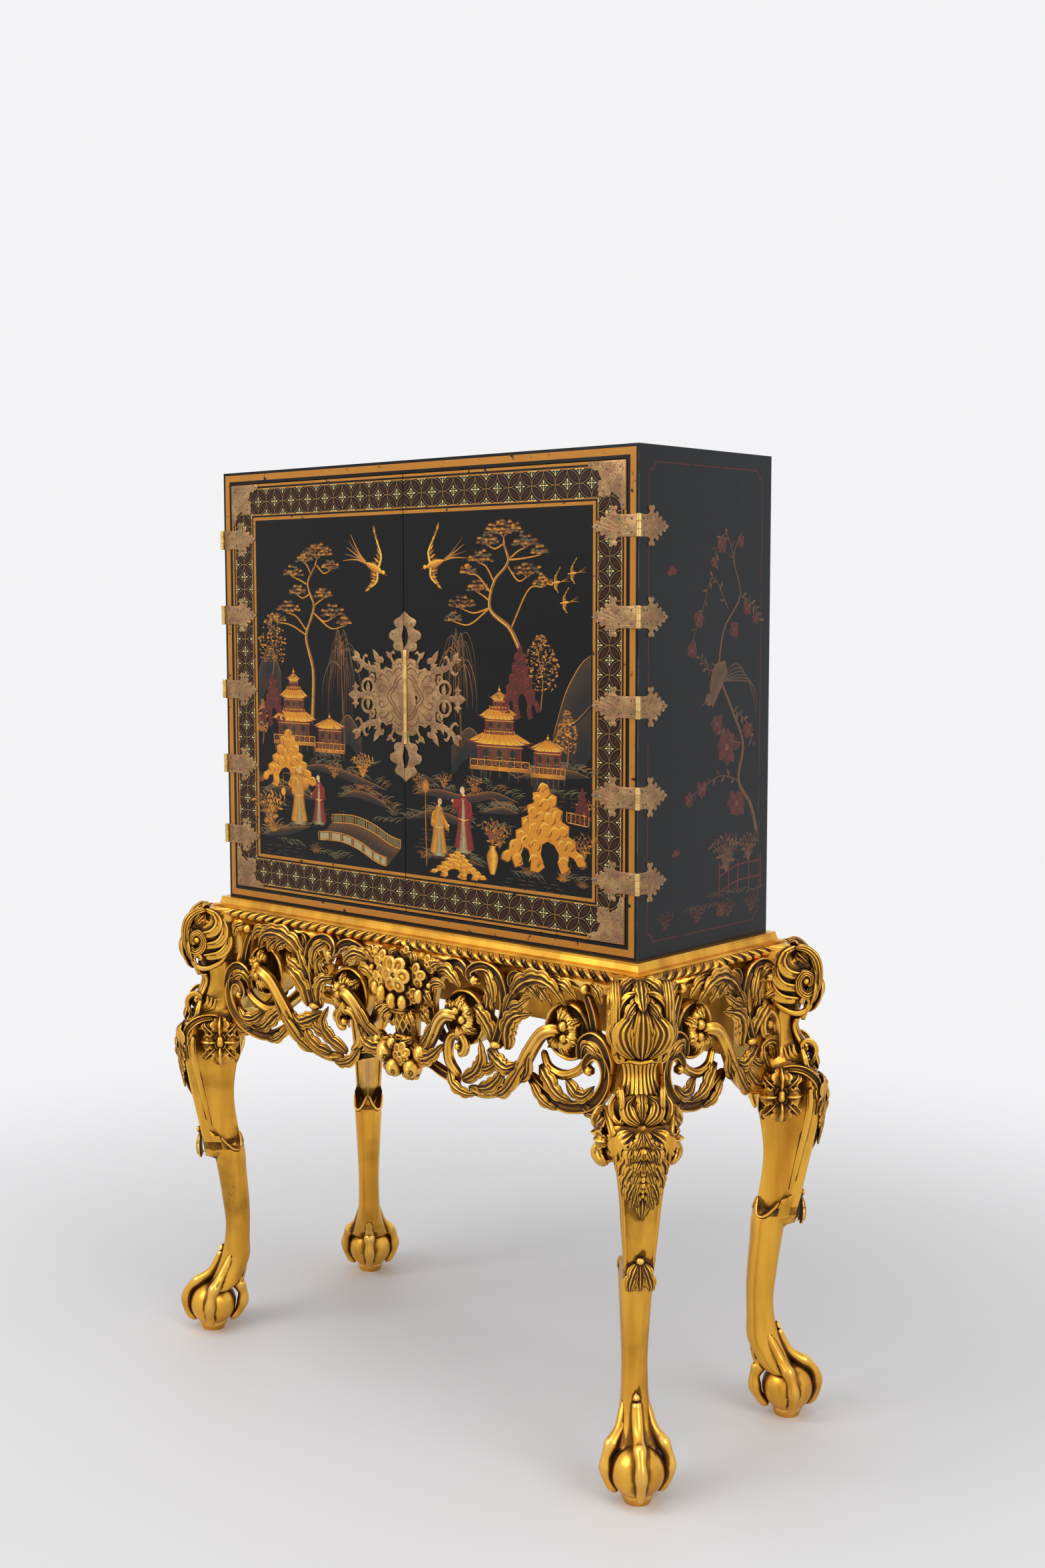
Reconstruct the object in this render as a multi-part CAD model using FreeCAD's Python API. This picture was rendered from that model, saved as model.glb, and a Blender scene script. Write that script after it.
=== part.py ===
"""Two-door lacquer cabinet on a carved, gilded stand with cabriole legs.

The origin is on the floor under the middle of the stand. +X is to the right, +Y to the back
and +Z up, so the doors face -Y. Lengths are in millimetres and angles in degrees.
"""

import FreeCAD
import Part

import math
import os

Vector = FreeCAD.Vector

# The case, a box of plain boards
CASE_WIDTH = 990.0
CASE_DEPTH = 356.0
CASE_HEIGHT = 800.0
CASE_BASE = 854.0
BOARD = 22.0
BACK_BOARD = 10.0
SHELF = 18.0
SHELF_HEIGHTS = {"lower": 1118.0, "upper": 1376.0}
SHELF_FRONT = -136.0
BATTEN = 15.0
STOP = 12.0
STOP_INSET = 55.0

# The doors, set in between the boards and a hair proud of their front edges
DOOR_GAP = 1.5
DOOR_PROUD = 0.3
SEAM_X = -16.0
SEAM_GAP = 1.6

# Brass plates on the fronts of the doors
PLATE = 2.0
CORNER_INSET = 1.0
LOCK_X = -12.0
LOCK_Z = 1251.0
BAR_RADIUS = 3.75
BAR_LENGTH = 163.0
KEYHOLE_OFFSET = 26.0
KEYHOLE_RADIUS = 3.0
KEYHOLE_DROP = 11.0

# Strap hinges, five to a door
HINGE_HEIGHTS = (976.0, 1110.0, 1251.0, 1390.0, 1530.0)
PIN_OUT = 3.0
PIN_RADIUS = 1.6
PIN_PLAY = 0.05
KNUCKLE_RADIUS = 4.0
KNUCKLE_GAP = 0.3
STRAP_HALF = 17.5
STRAP_START = 4.7
DOOR_STRAP_NECK = 48.0
SIDE_STRAP_NECK = 31.0

# Lock and slide bolts, on the backs of the doors
LOCK_CASE = (60.0, 14.0, 70.0)
LOCK_SETBACK = 6.0
LOCK_BOLT = (42.0, 8.0, 16.0)
KEEP = (24.0, 14.0, 30.0)
KEEP_SETBACK = 1.7
KEEP_WALL = 3.0
PLAY = 0.3
BOLT_X = -42.0
BOLT_OUT = 7.0
BOLT_HALF = 4.0
BOLT_LENGTH = 150.0
BOLT_REST = 1.0
BOLT_SOCKET_DEPTH = 16.0
GUIDE_PLATE = (26.0, 2.0, 140.0)
GUIDE_BLOCK = (22.0, 12.0, 14.0)
GUIDE_BLOCK_STEPS = (12.0, 110.0)
KNOB_RADIUS = 4.5
KNOB_LENGTH = 13.0
KNOB_STEP = 60.0

# Mouldings between the case and the stand, as distances out from the faces of the case
FRAME_INNER = -30.0
CAVETTO_TOP = 12.0
CAVETTO_FOOT = 23.6
CAVETTO_FILLET = 4.0
CAVETTO_BASE = 836.0
STRIP_INNER = -8.0
STRIP_FACE = 22.0
STRIP_BASE = 818.0
LOBE_REACH = 35.0
LOBE_HALF = 10.5
LOBE_PITCH = 24.0
LOBE_LEAN = 42.0
BEARER_X = 170.0
BEARER_WIDTH = 60.0

# Aprons of the stand, pierced between the corner posts
APRON_FACE = 22.0
POST_INNER = 38.0
POST_FACE = 14.0
POST_BASE = 640.0
BACK_RAIL_BASE = 744.0
TOP_RAIL_BASE = 804.0
FRONT_INNER_EYE = (345.0, 716.0)
SIDE_INNER_EYE = (317.0, 702.0)

# Basket of flowers on the front apron
BASKET_SIDES = 10
FLOWER_SIDES = 6
FLOWER_RISE = 0.7

# Legs, drawn on the diagonal of the stand with distances out from the corner of the case
PANEL_DEPTH = 25.0
PANEL_END = 345.0
BOSS_OUT = 18.0
BOSS_HEIGHT = 584.0
BOSS_BASE = 32.0
BOSS_RISE = 25.0
BOSS_RADIUS = 33.0
BOSS_SIDES = 7

# Feet: a ball held by four toes, on a small round pad
FOOT_OUT = 47.0
FOOT_SIDES = 9
PAD_RADIUS = 23.0
PAD_HEIGHT = 14.0
BALL_RADIUS = 44.0
BALL_HEIGHT = 51.0
BALL_TIERS = 4
TOE_SIDES = 5

# Round stretches are worked as flats that stand off the true curve by no more than this
FLAT_SAG = 2.0
ROD_SIDES = 6

HALF_WIDTH = CASE_WIDTH / 2
HALF_DEPTH = CASE_DEPTH / 2
CASE_TOP = CASE_BASE + CASE_HEIGHT
INSIDE_X = HALF_WIDTH - BOARD
INSIDE_LOW = CASE_BASE + BOARD
INSIDE_HIGH = CASE_TOP - BOARD
DOOR_FRONT = -HALF_DEPTH - DOOR_PROUD
DOOR_BACK = DOOR_FRONT + BOARD
DOOR_EDGE = INSIDE_X - DOOR_GAP
DOOR_LOW = INSIDE_LOW + DOOR_GAP
DOOR_HIGH = INSIDE_HIGH - DOOR_GAP
SEAM_LEFT = SEAM_X - SEAM_GAP / 2
SEAM_RIGHT = SEAM_X + SEAM_GAP / 2
BOLT_Y = DOOR_BACK + BOLT_OUT
PIN_X = HALF_WIDTH + PIN_OUT
PIN_Y = -HALF_DEPTH - PIN_OUT
APRON_Y = -HALF_DEPTH - APRON_FACE
APRON_DEPTH = APRON_FACE - STRIP_INNER
DIAGONAL = math.sqrt(0.5)


class Plane:
    """A drawing plane, on which a point (u, v) stands for a point of the object."""

    def __init__(self, origin, u, v, out):
        self.origin = Vector(*origin)
        self.u = Vector(*u)
        self.v = Vector(*v)
        self.out = Vector(*out)

    def at(self, point):
        return self.origin + self.u * point[0] + self.v * point[1]

    def flipped(self, shape):
        return shape.mirror(self.origin, self.u)


def box(x, y, z):
    """A block between three (low, high) pairs."""
    low = Vector(x[0], y[0], z[0])
    return Part.makeBox(x[1] - x[0], y[1] - y[0], z[1] - z[0], low)


def face(points):
    """A flat face with the given corners."""
    return Part.Face(Part.makePolygon(points + points[:1]))


def oval(centre, u, v, radius_u, radius_v, sides):
    """Corners of an oval drawn in flats, round a centre, with its half axes along u and v."""
    corners = []
    for number in range(sides):
        turn = 2 * math.pi * (number + 0.5) / sides
        corners.append(centre + u * (radius_u * math.cos(turn)) + v * (radius_v * math.sin(turn)))
    return corners


def rod(radius, start, end):
    """A round bar in flats; its corners are at the given radius."""
    run = Vector(*end) - Vector(*start)
    across_run = Vector(run.z, run.x, run.y).normalize()
    up_run = run.cross(across_run).normalize()
    return face(oval(Vector(*start), across_run, up_run, radius, radius, ROD_SIDES)).extrude(run)


def clear_of(radius):
    """Corner radius of a bore in flats that a bar of this radius turns in."""
    return radius / math.cos(math.pi / ROD_SIDES)


def skin(rings):
    """A closed solid through flat rings with the same number of corners."""
    faces = [face(rings[0]), face(rings[-1])]
    for ring_low, ring_high in zip(rings, rings[1:]):
        for number, corner in enumerate(ring_low):
            following = (number + 1) % len(ring_low)
            faces.append(face([corner, ring_low[following], ring_high[following]]))
            faces.append(face([corner, ring_high[following], ring_high[number]]))
    return Part.makeSolid(Part.makeShell(faces))


def is_arc(step):
    return isinstance(step[0], tuple)


def end_of(step):
    return step[1] if is_arc(step) else step


def flats(radius, turn):
    """How many flats stand for an arc of this radius that turns by this angle, in radians."""
    sharpest = 2 * math.acos(max(1 - FLAT_SAG / radius, 0))
    return max(2, math.ceil(turn / sharpest))


def outline(plane, start, steps):
    """A face whose steps are end points, or (middle, end) pairs for arcs, worked in flats."""
    corners = [plane.at(start)]
    for step in steps:
        end = plane.at(end_of(step))
        if is_arc(step):
            arc = Part.Arc(corners[-1], plane.at(step[0]), end).toShape()
            radius = arc.Curve.Radius
            corners += arc.discretize(Number=flats(radius, arc.Length / radius) + 1)[1:]
        else:
            corners.append(end)
    if corners[-1].isEqual(corners[0], PIN_PLAY):
        corners.pop()
    return face(corners)


def with_reflection(start, steps, reflect):
    """The steps, then the same steps backwards through the reflection of each point."""
    ends = [start] + [end_of(step) for step in steps]
    if reflect(ends[-1]) != ends[-1]:
        steps = steps + [reflect(ends[-1])]
        ends.append(reflect(ends[-1]))
    back = []
    for number in reversed(range(len(steps))):
        end = reflect(ends[number])
        if end == ends[-1]:
            continue
        step = steps[number]
        back.append((reflect(step[0]), end) if is_arc(step) else end)
    return list(steps) + back


def across(point):
    return (-point[0], point[1])


def below(point):
    return (point[0], -point[1])


def swapped(point):
    return (point[1], point[0])


def joined(shapes):
    """One shape out of several that overlap."""
    return shapes[0].multiFuse(shapes[1:])


def sheet(plane, faces, thickness):
    """A flat piece made of overlapping faces."""
    return joined([one.extrude(plane.out * thickness) for one in faces]).removeSplitter()


def along(centre, radius, angle):
    turn = math.radians(angle)
    return (centre[0] + radius * math.cos(turn), centre[1] + radius * math.sin(turn))


def disc(plane, centre, radius):
    sides = flats(radius, 2 * math.pi)
    return face(oval(plane.at(centre), plane.u, plane.v, radius, radius, sides))


def ring(plane, centre, outer, inner):
    return disc(plane, centre, outer).cut(disc(plane, centre, inner))


def petal(plane, root, tip, left, right):
    """A leaf-shaped face whose two edges bow out by left and right between root and tip."""
    run = (tip[0] - root[0], tip[1] - root[1])
    length = math.hypot(*run)
    side = (-run[1] / length, run[0] / length)
    middle = ((root[0] + tip[0]) / 2, (root[1] + tip[1]) / 2)
    over = (middle[0] + side[0] * left, middle[1] + side[1] * left)
    under = (middle[0] - side[0] * right, middle[1] - side[1] * right)
    return outline(plane, root, [(over, tip), (under, root)])


def scroll(plane, centre, radius, half_width, start, end):
    """A curved band round a centre."""
    count = flats(radius, math.radians(end - start))
    turns = [start + (end - start) * number / count for number in range(count + 1)]
    outer = [plane.at(along(centre, radius + half_width, turn)) for turn in turns]
    inner = [plane.at(along(centre, radius - half_width, turn)) for turn in reversed(turns)]
    return face(outer + inner)


def mirror_x(shape):
    return shape.mirror(Vector(0, 0, 0), Vector(1, 0, 0))


def mirror_y(shape):
    return shape.mirror(Vector(0, 0, 0), Vector(0, 1, 0))


def case_boards():
    """Top, bottom, sides and back of the case, with sockets for the slide bolts."""
    width = (-HALF_WIDTH, HALF_WIDTH)
    depth = (-HALF_DEPTH, HALF_DEPTH)
    inside = (INSIDE_LOW, INSIDE_HIGH)
    half = BOLT_HALF + PLAY
    hole_x = (BOLT_X - half, BOLT_X + half)
    hole_y = (BOLT_Y - half, BOLT_Y + half)
    top_socket = box(hole_x, hole_y, (INSIDE_HIGH, INSIDE_HIGH + BOLT_SOCKET_DEPTH))
    bottom_socket = box(hole_x, hole_y, (INSIDE_LOW - BOLT_SOCKET_DEPTH, INSIDE_LOW))
    side = box((INSIDE_X, HALF_WIDTH), depth, inside)
    back_y = (HALF_DEPTH - BACK_BOARD, HALF_DEPTH)
    return {
        "case_top": box(width, depth, (INSIDE_HIGH, CASE_TOP)).cut(top_socket),
        "case_bottom": box(width, depth, (CASE_BASE, INSIDE_LOW)).cut(bottom_socket),
        "case_side_right": side,
        "case_side_left": mirror_x(side),
        "case_back": box((-INSIDE_X, INSIDE_X), back_y, inside),
    }


def case_fittings():
    """Shelves on battens, and the blocks that stop the doors."""
    parts = {}
    battens = []
    depth = (SHELF_FRONT, HALF_DEPTH - BACK_BOARD)
    for name, height in SHELF_HEIGHTS.items():
        parts["shelf_" + name] = box((-INSIDE_X, INSIDE_X), depth, (height, height + SHELF))
        batten = box((INSIDE_X - BATTEN, INSIDE_X), depth, (height - BATTEN, height))
        battens += [batten, mirror_x(batten)]
    parts["shelf_battens"] = Part.makeCompound(battens)
    stops = []
    stop_x = (2 * STOP_INSET, INSIDE_X - STOP_INSET)
    stop_y = (DOOR_BACK + PLAY, DOOR_BACK + PLAY + STOP)
    for stop_z in ((INSIDE_LOW, INSIDE_LOW + STOP), (INSIDE_HIGH - STOP, INSIDE_HIGH)):
        block = box(stop_x, stop_y, stop_z)
        stops += [block, mirror_x(block)]
    parts["door_stops"] = Part.makeCompound(stops)
    return parts


def keyhole(depth):
    """The hole for the key, from in front of the doors, as a solid to cut away."""
    key_x = LOCK_X + KEYHOLE_OFFSET
    slot = KEYHOLE_RADIUS / 2
    front = DOOR_FRONT - PLATE
    pin = rod(KEYHOLE_RADIUS, (key_x, front, LOCK_Z), (key_x, front + depth, LOCK_Z))
    bit = box((key_x - slot, key_x + slot), (front, front + depth), (LOCK_Z - KEYHOLE_DROP, LOCK_Z))
    return pin.fuse(bit)


def doors():
    depth = (DOOR_FRONT, DOOR_BACK)
    height = (DOOR_LOW, DOOR_HIGH)
    right = box((SEAM_RIGHT, DOOR_EDGE), depth, height)
    return {
        "door_left": box((-DOOR_EDGE, SEAM_LEFT), depth, height),
        "door_right": right.cut(keyhole(PLATE + BOARD)),
    }


def hinge_face(plane, neck):
    """Leaf of a hinge: a strap that flares into a scalloped, pointed end."""
    half = STRAP_HALF
    start = (STRAP_START, half)
    steps = [
        (neck, half),
        ((neck + 4.0, half + 5.0), (neck + 2.0, half + 10.5)),
        ((neck + 8.0, half + 13.5), (neck + 13.0, half + 9.0)),
        ((neck + 14.5, half + 3.5), (neck + 20.0, half + 1.0)),
        ((neck + 28.0, half - 0.5), (neck + 29.0, half - 7.0)),
        ((neck + 36.5, half - 8.0), (neck + 38.0, half - 13.5)),
        (neck + 46.0, 0.0),
    ]
    return outline(plane, start, with_reflection(start, steps, below))


def hinge_leaf(plane, neck, axis_out, bore, knuckles):
    """A leaf with its knuckles: tubes round the pin, each on a short tongue of the leaf."""
    shapes = [hinge_face(plane, neck).extrude(plane.out * PLATE)]
    axis = plane.origin + plane.out * axis_out
    holes = []
    for low, high in knuckles:
        foot = axis + plane.v * low
        head = axis + plane.v * high
        root = STRAP_START + PLATE
        tongue = outline(plane, (PLATE, low), [(root, low), (root, high), (PLATE, high)])
        shapes += [rod(KNUCKLE_RADIUS, foot, head), tongue.extrude(plane.out * PLATE)]
        holes.append(rod(bore, foot, head))
    leaf = joined(shapes).removeSplitter()
    for hole in holes:
        leaf = leaf.cut(hole)
    return leaf


def hinges():
    """Strap hinges: a leaf on each door, a leaf on the side of the case, and a pin."""
    third = STRAP_HALF / 3
    middle = [(-third, third)]
    ends = [(-STRAP_HALF, -third - KNUCKLE_GAP), (third + KNUCKLE_GAP, STRAP_HALF)]
    turning_bore = clear_of(PIN_RADIUS + PIN_PLAY)
    parts = {}
    case_leaves = []
    pins = []
    for number, height in enumerate(HINGE_HEIGHTS, 1):
        door_plane = Plane((PIN_X, DOOR_FRONT, height), (-1, 0, 0), (0, 0, 1), (0, -1, 0))
        case_plane = Plane((HALF_WIDTH, PIN_Y, height), (0, 1, 0), (0, 0, 1), (1, 0, 0))
        strap = hinge_leaf(door_plane, DOOR_STRAP_NECK, PIN_OUT - DOOR_PROUD, turning_bore, middle)
        parts["hinge_strap_right_%d" % number] = strap
        parts["hinge_strap_left_%d" % number] = mirror_x(strap)
        case_leaves.append(hinge_leaf(case_plane, SIDE_STRAP_NECK, PIN_OUT, PIN_RADIUS, ends))
        foot = (PIN_X, PIN_Y, height - STRAP_HALF)
        pins.append(rod(PIN_RADIUS, foot, (PIN_X, PIN_Y, height + STRAP_HALF)))
    parts["hinge_side_leaves_right"] = Part.makeCompound(case_leaves)
    parts["hinge_side_leaves_left"] = mirror_x(parts["hinge_side_leaves_right"])
    parts["hinge_pins_right"] = Part.makeCompound(pins)
    parts["hinge_pins_left"] = mirror_x(parts["hinge_pins_right"])
    return parts


def corner_plates():
    """Scalloped plates on the outer corners of the doors."""
    start = (0.0, 0.0)
    half = [
        (75.0, 0.0),
        (75.0, 4.0),
        ((66.0, 15.0), (54.0, 13.0)),
        ((52.0, 22.0), (46.0, 27.0)),
        ((56.0, 31.0), (54.0, 42.0)),
        ((54.0, 50.0), (51.0, 51.0)),
    ]
    steps = with_reflection(start, half, swapped)
    parts = {}
    edge = DOOR_EDGE - CORNER_INSET
    rows = {"upper": (DOOR_HIGH - CORNER_INSET, -1), "lower": (DOOR_LOW + CORNER_INSET, 1)}
    for row, (height, up) in rows.items():
        plane = Plane((edge, DOOR_FRONT, height), (-1, 0, 0), (0, 0, up), (0, -1, 0))
        corner = outline(plane, start, steps).extrude(plane.out * PLATE)
        parts["corner_plate_right_" + row] = corner
        parts["corner_plate_left_" + row] = mirror_x(corner)
    return parts


def lock_plate_quarter(plane):
    """Upper right quarter of the lock plate: a lobed field, a pierced ring and curling leaves."""
    field = [
        (0.0, 64.0),
        ((13.0, 67.0), (27.0, 63.0)),
        ((33.0, 52.0), (46.0, 51.0)),
        ((54.0, 50.0), (60.0, 44.0)),
        ((67.0, 37.0), (72.0, 27.0)),
        (72.0, 0.0),
    ]
    return [
        outline(plane, (0.0, 0.0), field),
        ring(plane, (92.0, 17.0), 17.0, 11.0),
        outline(plane, (66.0, 0.0), [(66.0, 4.5), (124.0, 4.5), (124.0, 0.0)]),
        petal(plane, (92.0, 3.0), (92.0, 22.0), 4.0, 4.0),
        petal(plane, (128.0, -2.0), (128.0, 24.0), 5.0, 5.0),
        petal(plane, (116.0, -3.0), (143.0, 0.0), 10.0, 3.0),
        petal(plane, (60.0, 34.0), (122.0, 58.0), 7.0, 6.0),
        petal(plane, (110.0, 53.0), (142.0, 67.0), 7.0, 5.0),
        petal(plane, (108.0, 54.0), (130.0, 39.0), 8.0, -4.0),
        petal(plane, (36.0, 50.0), (52.0, 75.0), 3.0, 7.0),
        petal(plane, (60.0, 40.0), (80.0, 75.0), 8.0, 5.0),
    ]


def lock_finial(plane):
    """Upper end of the lock plate: a lobed tongue round an almond-shaped opening."""
    start = (0.0, 60.0)
    side = [
        (8.0, 60.0),
        ((7.0, 70.0), (10.0, 79.0)),
        (22.0, 79.0),
        ((32.0, 84.0), (28.0, 95.0)),
        ((41.0, 104.0), (33.0, 115.0)),
        ((24.0, 116.0), (19.0, 121.0)),
        ((29.0, 125.0), (22.0, 134.0)),
        ((13.0, 138.0), (0.0, 146.0)),
    ]
    tongue = outline(plane, start, with_reflection(start, side, across))
    return tongue.cut(petal(plane, (0.0, 86.0), (0.0, 123.0), 8.5, 8.5))


def lock_mounts():
    """Lock plate in two halves that part at the seam, and the half-round bar over the seam."""
    plane = Plane((LOCK_X, DOOR_FRONT, LOCK_Z), (1, 0, 0), (0, 0, 1), (0, -1, 0))
    upper_right = lock_plate_quarter(plane)
    upper = upper_right + [plane.flipped(one) for one in upper_right] + [lock_finial(plane)]
    lower = [one.mirror(plane.origin, plane.v) for one in upper]
    whole = sheet(plane, upper + lower, PLATE)
    span_y = (DOOR_FRONT - PLATE, DOOR_FRONT)
    span_z = (DOOR_LOW, DOOR_HIGH)
    low = LOCK_Z - BAR_LENGTH / 2
    section = Plane((SEAM_RIGHT, DOOR_FRONT - PLATE, low), (1, 0, 0), (0, -1, 0), (0, 0, 1))
    half_round = ((BAR_RADIUS, BAR_RADIUS), (2 * BAR_RADIUS, 0.0))
    return {
        "lock_plate_left": whole.common(box((-HALF_WIDTH, SEAM_LEFT), span_y, span_z)),
        "lock_plate_right": whole.common(box((SEAM_RIGHT, HALF_WIDTH), span_y, span_z)).cut(
            keyhole(PLATE)
        ),
        "seam_bar": outline(section, (0.0, 0.0), [half_round]).extrude(section.out * BAR_LENGTH),
    }


def lock():
    """Box lock on the back of the right door, with a bolt that slides into a keep on the left."""
    case_x = SEAM_RIGHT + LOCK_SETBACK
    keep_x = SEAM_LEFT - KEEP_SETBACK
    half_case = LOCK_CASE[2] / 2
    half_bolt = LOCK_BOLT[2] / 2
    bolt_y = DOOR_BACK + (LOCK_CASE[1] - LOCK_BOLT[1]) / 2
    bolt_span_y = (bolt_y, bolt_y + LOCK_BOLT[1])
    bolt_span_z = (LOCK_Z - half_bolt, LOCK_Z + half_bolt)
    slot_y = (bolt_span_y[0] - PLAY, bolt_span_y[1] + PLAY)
    slot_z = (bolt_span_z[0] - PLAY, bolt_span_z[1] + PLAY)
    housing = box(
        (case_x, case_x + LOCK_CASE[0]),
        (DOOR_BACK, DOOR_BACK + LOCK_CASE[1]),
        (LOCK_Z - half_case, LOCK_Z + half_case),
    )
    channel = box((case_x, case_x + LOCK_BOLT[0] + PLAY), slot_y, slot_z)
    keep = box(
        (keep_x - KEEP[0], keep_x),
        (DOOR_BACK, DOOR_BACK + KEEP[1]),
        (LOCK_Z - KEEP[2] / 2, LOCK_Z + KEEP[2] / 2),
    )
    mouth = box((keep_x - KEEP[0] + KEEP_WALL, keep_x), slot_y, slot_z)
    return {
        "lock_case": housing.cut(channel),
        "lock_bolt": box((case_x, case_x + LOCK_BOLT[0]), bolt_span_y, bolt_span_z),
        "lock_keep": keep.cut(mouth),
    }


def slide_bolt(edge, inward):
    """Guide and rod of a slide bolt at one end of the left door; inward is the way off its edge."""
    def span(step, length):
        ends = (edge + inward * step, edge + inward * (step + length))
        return (min(ends), max(ends))

    def about(middle, half):
        return (middle - half, middle + half)

    plate_y = (DOOR_BACK, DOOR_BACK + GUIDE_PLATE[1])
    block_y = (plate_y[1], plate_y[1] + GUIDE_BLOCK[1])
    shapes = [box(about(BOLT_X, GUIDE_PLATE[0] / 2), plate_y, span(0, GUIDE_PLATE[2]))]
    for step in GUIDE_BLOCK_STEPS:
        shapes.append(box(about(BOLT_X, GUIDE_BLOCK[0] / 2), block_y, span(step, GUIDE_BLOCK[2])))
    run = span(BOLT_REST, BOLT_LENGTH)
    knob_z = edge + inward * KNOB_STEP
    bar = box(about(BOLT_X, BOLT_HALF), about(BOLT_Y, BOLT_HALF), run)
    knob = rod(KNOB_RADIUS, (BOLT_X, BOLT_Y, knob_z), (BOLT_X, BOLT_Y + KNOB_LENGTH, knob_z))
    slot_half = BOLT_HALF + PIN_PLAY
    slot = box(about(BOLT_X, slot_half), about(BOLT_Y, slot_half), run)
    return joined(shapes).cut(slot), joined([bar, knob])


def slide_bolts():
    parts = {}
    for name, edge, inward in (("upper", DOOR_HIGH, -1), ("lower", DOOR_LOW, 1)):
        guide, bar = slide_bolt(edge, inward)
        parts["bolt_guide_" + name] = guide
        parts["bolt_rod_" + name] = bar
    return parts


def mitred(shape, half_length, inner, outer):
    """Cuts a moulding on the front face of the stand to 45 degree ends at the case's corners."""
    plan = Plane((0, -HALF_DEPTH, 0), (1, 0, 0), (0, -1, 0), (0, 0, 1))
    corners = [
        (half_length + inner, inner),
        (half_length + outer, outer),
        (-half_length - outer, outer),
    ]
    trim = outline(plan, (-half_length - inner, inner), corners).extrude(plan.out * CASE_TOP)
    return shape.common(trim)


def cavetto(half_length):
    """Hollow moulding under the front edge of the case."""
    section = Plane((-CASE_WIDTH, -HALF_DEPTH, 0), (0, -1, 0), (0, 0, 1), (1, 0, 0))
    top = CASE_BASE - CAVETTO_FILLET
    foot = CAVETTO_BASE + CAVETTO_FILLET
    hollow = (CAVETTO_TOP + CAVETTO_FILLET / 2, foot + CAVETTO_FILLET / 2)
    steps = [
        (CAVETTO_TOP, CASE_BASE),
        (CAVETTO_TOP, top),
        (hollow, (CAVETTO_FOOT, foot)),
        (CAVETTO_FOOT, CAVETTO_BASE),
        (FRAME_INNER, CAVETTO_BASE),
    ]
    run = outline(section, (FRAME_INNER, CASE_BASE), steps).extrude(section.out * (2 * CASE_WIDTH))
    return mitred(run, half_length, FRAME_INNER, CAVETTO_FOOT)


def gadroon(half_length):
    """Strip of slanting lobes on the front of the stand, leaning away from its middle."""
    base_y = (-HALF_DEPTH - STRIP_FACE, -HALF_DEPTH - STRIP_INNER)
    reach = half_length + LOBE_REACH
    rise = CAVETTO_BASE - STRIP_BASE
    lean = rise * math.tan(math.radians(LOBE_LEAN)) / 2
    run = Vector(-2 * lean, 0, rise)
    section = [
        (-LOBE_HALF, STRIP_FACE / 2),
        (-LOBE_HALF, STRIP_FACE),
        (-LOBE_HALF / 2, LOBE_REACH),
        (LOBE_HALF / 2, LOBE_REACH),
        (LOBE_HALF, STRIP_FACE),
        (LOBE_HALF, STRIP_FACE / 2),
    ]
    lobes = []
    for number in range(int((half_length + STRIP_FACE) / LOBE_PITCH)):
        middle_x = (number + 0.5) * LOBE_PITCH
        foot = Plane((middle_x + lean, -HALF_DEPTH, STRIP_BASE), (1, 0, 0), (0, -1, 0), (0, 0, 1))
        lobe = outline(foot, section[0], section[1:]).extrude(run)
        lobes += [lobe, mirror_x(lobe)]
    strip = box((-reach, reach), base_y, (STRIP_BASE, CAVETTO_BASE))
    carved = mitred(joined([strip] + lobes), half_length, STRIP_INNER, LOBE_REACH)
    return carved.removeSplitter()


def turned_to_side(shape):
    """Turns a front moulding of the case's depth to the right side of the stand."""
    turned = shape.copy()
    turned.rotate(Vector(0, 0, 0), Vector(0, 0, 1), 90)
    turned.translate(Vector(HALF_WIDTH - HALF_DEPTH, 0, 0))
    return turned


def mouldings():
    """Mouldings round the top of the stand, and two bearers across it under the case."""
    front_cavetto = cavetto(HALF_WIDTH)
    side_cavetto = turned_to_side(cavetto(HALF_DEPTH))
    side_gadroon = turned_to_side(gadroon(HALF_DEPTH))
    strip = box(
        (-HALF_WIDTH - STRIP_FACE, HALF_WIDTH + STRIP_FACE),
        (-HALF_DEPTH - STRIP_FACE, -HALF_DEPTH - STRIP_INNER),
        (STRIP_BASE, CAVETTO_BASE),
    )
    bearer = box(
        (BEARER_X - BEARER_WIDTH / 2, BEARER_X + BEARER_WIDTH / 2),
        (-HALF_DEPTH - FRAME_INNER, HALF_DEPTH + FRAME_INNER),
        (CAVETTO_BASE, CASE_BASE),
    )
    return {
        "cavetto_front": front_cavetto,
        "cavetto_back": mirror_y(front_cavetto),
        "cavetto_right": side_cavetto,
        "cavetto_left": mirror_x(side_cavetto),
        "gadroon_front": gadroon(HALF_WIDTH),
        "gadroon_right": side_gadroon,
        "gadroon_left": mirror_x(side_gadroon),
        "frieze_strip_back": mirror_y(mitred(strip, HALF_WIDTH, STRIP_INNER, STRIP_FACE)),
        "cross_bearers": Part.makeCompound([bearer, mirror_x(bearer)]),
    }


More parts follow.
